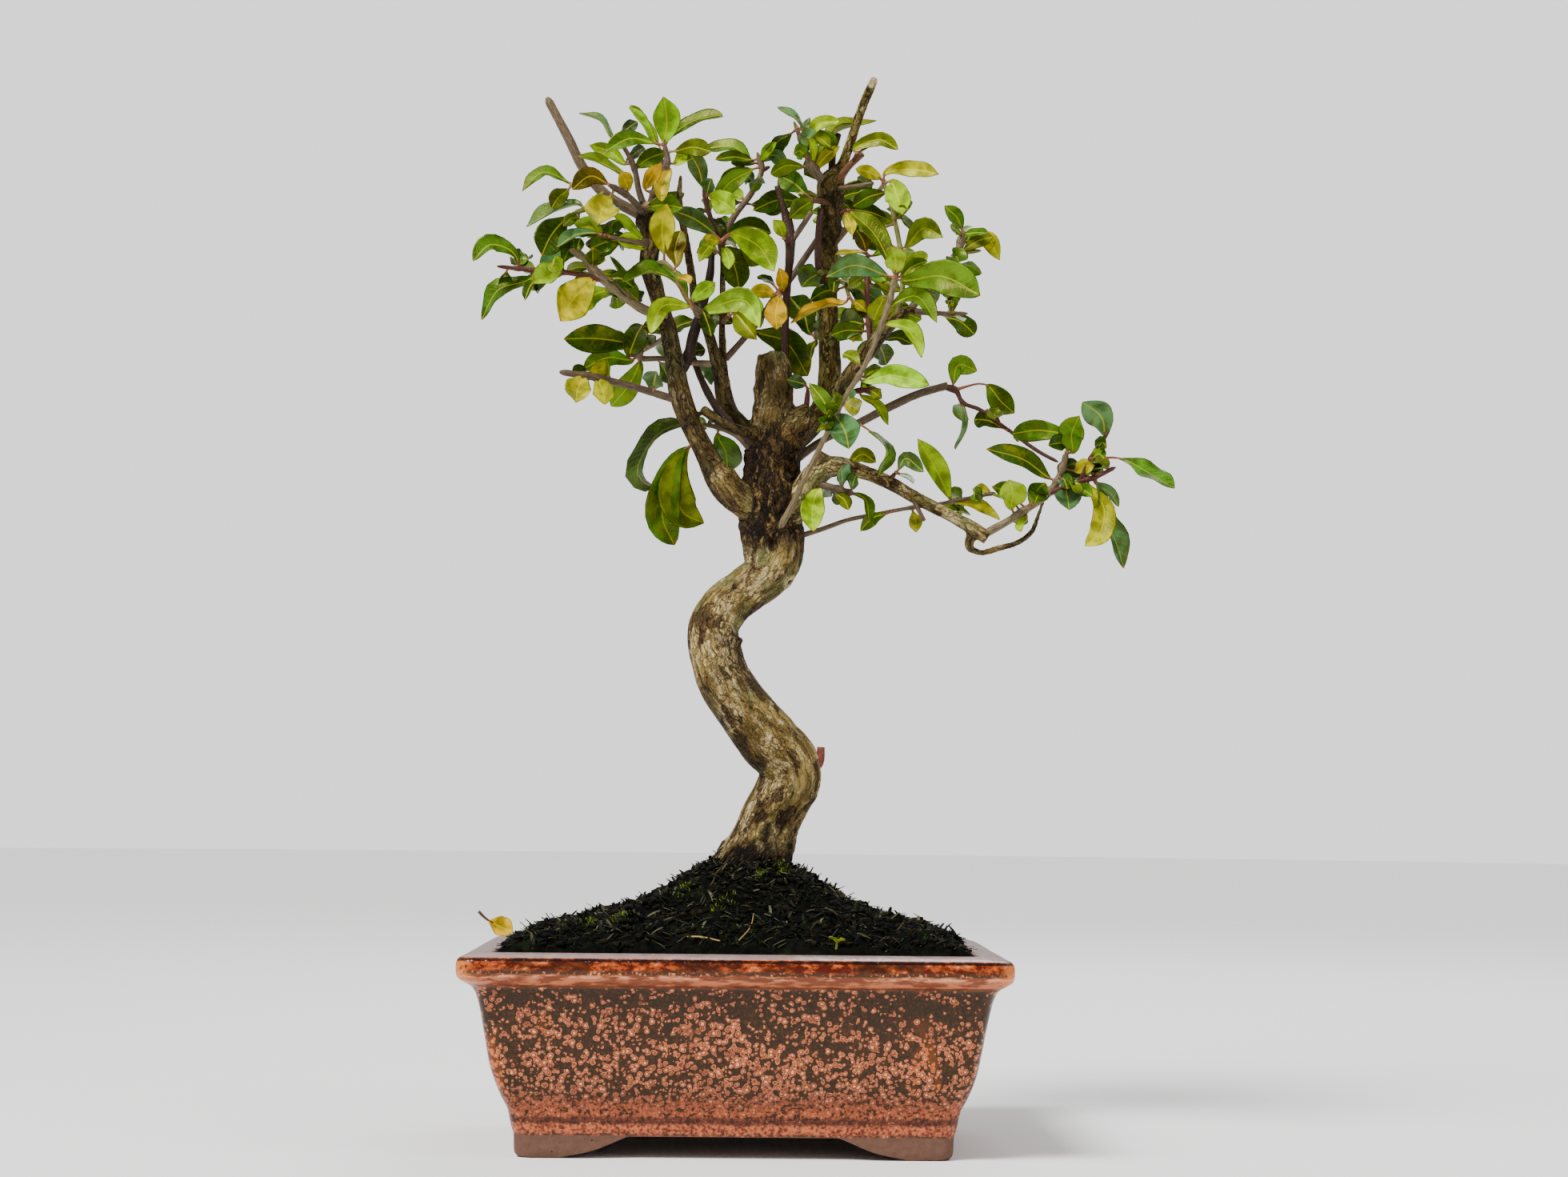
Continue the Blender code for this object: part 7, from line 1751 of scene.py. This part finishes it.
STRIP_TONES = ("0a0c0a", "101410", "1e2016", "080706", "302c1c", "464430", "18220f", "080a08", "2a2e24", "5c5a44")
# Strands that the photograph shows singly: pixels, lift in mm at each, radius in mm and colour
STRANDS = (
    (((855, 1173), (876, 1175), (900, 1178)), (0.6, 1.2, 0.6), 0.32, "b89a5c"),
    (((920, 1180), (937, 1165), (942, 1150)), (0.3, 1.5, 2.5), 0.26, "8a7440"),
    (((1065, 1122), (1073, 1108), (1083, 1100)), (0.3, 2.5, 4.0), 0.22, "c8b890"),
    (((1158, 1137), (1166, 1143), (1170, 1152)), (0.4, 1.6, 0.4), 0.25, "b8a070"),
    (((1190, 1147), (1192, 1152), (1190, 1158)), (0.3, 1.2, 0.3), 0.22, "b8a070"),
    (((1003, 1058), (1006, 1068), (1000, 1076)), (1.5, 1.2, 0.2), 0.5, "2a1a10"),
    (((1010, 1055), (1014, 1066), (1012, 1075)), (1.5, 1.4, 0.2), 0.5, "33210f"),
)
# Moss by pixel of the photograph: radius of the patch in mm and number of blades
MOSS = (
    (975, 1082, 4.0, 150), (952, 1092, 2.0, 60), (740, 1153, 3.0, 90), (775, 1147, 4.0, 120), (855, 1112, 3.0, 70),
    (1110, 1140, 4.0, 60), (900, 1128, 5.0, 70),
)


def make_litter(ground):
    """Fibres, crumbs, moss and single strands on the soil, as three pieces."""
    dice = np.random.default_rng(SEED)
    chance = random.Random(SEED)
    fibre_finish = tinted("fibre", 0.7)
    spread = strewn(ground, 2600, chance)
    dark = fibres(spread[:1500], dice, (3.0, 9.0), 0.2, ("10120c", "1a1a10", "0a0c08", "28241a", "0e140c"), 0.25)
    light = fibres(spread[1500:2100], dice, (2.0, 6.0), 0.13, ("3c3018", "5a4a28", "2c2412", "3a4414"), 0.3)
    strips = fibres(strewn(ground, 2300, chance), dice, (2.5, 7.0), 0.75, STRIP_TONES, 0.2, 0.35, (-0.5, 1.1))
    foot = around_foot(ground, 1100, dice)
    tufts = fibres(foot, dice, (2.5, 6.0), 0.6, STRIP_TONES, 0.2, 0.5, (-0.7, 1.4))
    mesh_points, mesh_faces, tint = joined([dark, light, strips, tufts])
    mesh = mesh_of("peat_fibres", mesh_points, mesh_faces)
    column(mesh, "tint", tint)
    placed(mesh, None, [fibre_finish])
    spread = np.vstack((strewn(ground, 1500, chance), around_foot(ground, 500, dice)))
    lumps = crumbs(spread, dice, (0.4, 1.9), ("0a0806", "120e08", "060504", "1c160c"))
    mesh = mesh_of("peat_crumbs", lumps[0], lumps[1])
    column(mesh, "tint", lumps[2])
    placed(mesh, None, [fibre_finish])
    shells = []
    for px, py, radius, count in MOSS:
        centre = seen_on(ground, px, py)
        if centre is None:
            continue
        flat = centre[:2] + dice.normal(0, radius / 2, (count, 2))
        found = [on_soil(ground, x, y) for x, y in flat]
        shells.append(sprigs(np.array([p for p in found if p is not None]), dice, (0.6, 2.0), 0.25, ("34480e", "4c6414", "26360a", "7a8420")))
    shells.append(sprigs(strewn(ground, 1500, chance), dice, (0.5, 1.5), 0.18, ("22340a", "3a5210", "182408")))
    moss_points, moss_faces, tint = joined(shells)
    mesh = mesh_of("moss", moss_points, moss_faces)
    column(mesh, "tint", tint)
    placed(mesh, None, [tinted("moss", 0.6)])
    shells = []
    for pixels, lifts, radius, tone in STRANDS:
        known = [seen_on(ground, *pixel) for pixel in pixels]
        if any(p is None for p in known):
            continue
        path = along([p + (0, 0, lift) for p, lift in zip(known, lifts)], np.linspace(0, 1, 14))
        points, faces, _ = sweep(path, np.linspace(1.1, 0.7, 14) * radius, 8)
        shells.append((points, faces, np.tile(hex_colour(tone)[:3], (len(points), 1))))
    strand_points, strand_faces, tint = joined(shells)
    mesh = mesh_of("straw", strand_points, strand_faces)
    column(mesh, "tint", tint)
    placed(mesh, None, [fibre_finish])


# The studio


def make_studio():
    """A wide pale floor, a white sky, a large soft light at the upper left front and weaker ones elsewhere."""
    bpy.ops.mesh.primitive_circle_add(vertices=96, radius=6.0, fill_type="NGON", location=(0, 0, 0))
    floor = bpy.context.object
    floor.name = "floor"
    floor.data.materials.append(ground_paint())
    world = bpy.data.worlds.new("sky")
    world.use_nodes = True
    tree = world.node_tree
    seen = tree.nodes.new("ShaderNodeLightPath").outputs["Is Camera Ray"]
    strength = Wire(tree, seen) * (SKY_SEEN - SKY_LIGHT) + SKY_LIGHT
    tree.links.new(strength.socket, tree.nodes["Background"].inputs["Strength"])
    tree.nodes["Background"].inputs["Color"].default_value = (1.0, 1.0, 1.0, 1.0)
    bpy.context.scene.world = world
    sun = bpy.data.lights.new("sun", "SUN")
    sun.energy = SUN
    sun.angle = math.radians(18)
    lamp = bpy.data.objects.new("sun", sun)
    bpy.context.scene.collection.objects.link(lamp)
    lamp.rotation_euler = Vector((0.5, 0.55, -1.0)).to_track_quat("-Z", "Y").to_euler()
    for name, where, size, power in (
        ("key", (-0.7, -0.6, 1.1), 0.35, 9.0), ("fill", (1.1, -0.7, 0.8), 0.7, 5.0), ("back", (0.3, 1.0, 1.1), 0.7, 7.0),
    ):
        light = bpy.data.lights.new(name, "AREA")
        light.size = size
        light.energy = power
        lamp = bpy.data.objects.new(name, light)
        bpy.context.scene.collection.objects.link(lamp)
        lamp.location = where
        aim = Vector((0.0, 0.0, 0.2)) - Vector(where)
        lamp.rotation_euler = aim.to_track_quat("-Z", "Y").to_euler()


def make_camera():
    """The eye as the photograph has it."""
    lens = bpy.data.cameras.new("eye")
    lens.lens = LENS
    lens.sensor_width = SENSOR
    lens.clip_start = 0.01
    eye = bpy.data.objects.new("eye", lens)
    bpy.context.scene.collection.objects.link(eye)
    turn = Matrix(np.column_stack((AXES[:, 0], AXES[:, 1], -AXES[:, 2])).tolist())
    eye.matrix_world = Matrix.Translation(Vector(EYE * MM + SHIFT)) @ turn.to_4x4()
    bpy.context.scene.camera = eye


def main():
    make_camera()
    make_studio()
    make_pot()
    screen = screen_plastic()
    for name in ("drain_mesh_left", "drain_mesh_right"):
        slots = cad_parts[name].material_slots
        slots[0].material = screen
    ground = make_soil()
    wood = make_wood()
    leaf_finish, twig_finish = leaf(), twig()
    make_shoots(leaf_finish, twig_finish, wood)
    make_fallen_leaf(leaf_finish, twig_finish)
    make_seedling(leaf_finish, twig_finish)
    make_litter(ground)


main()
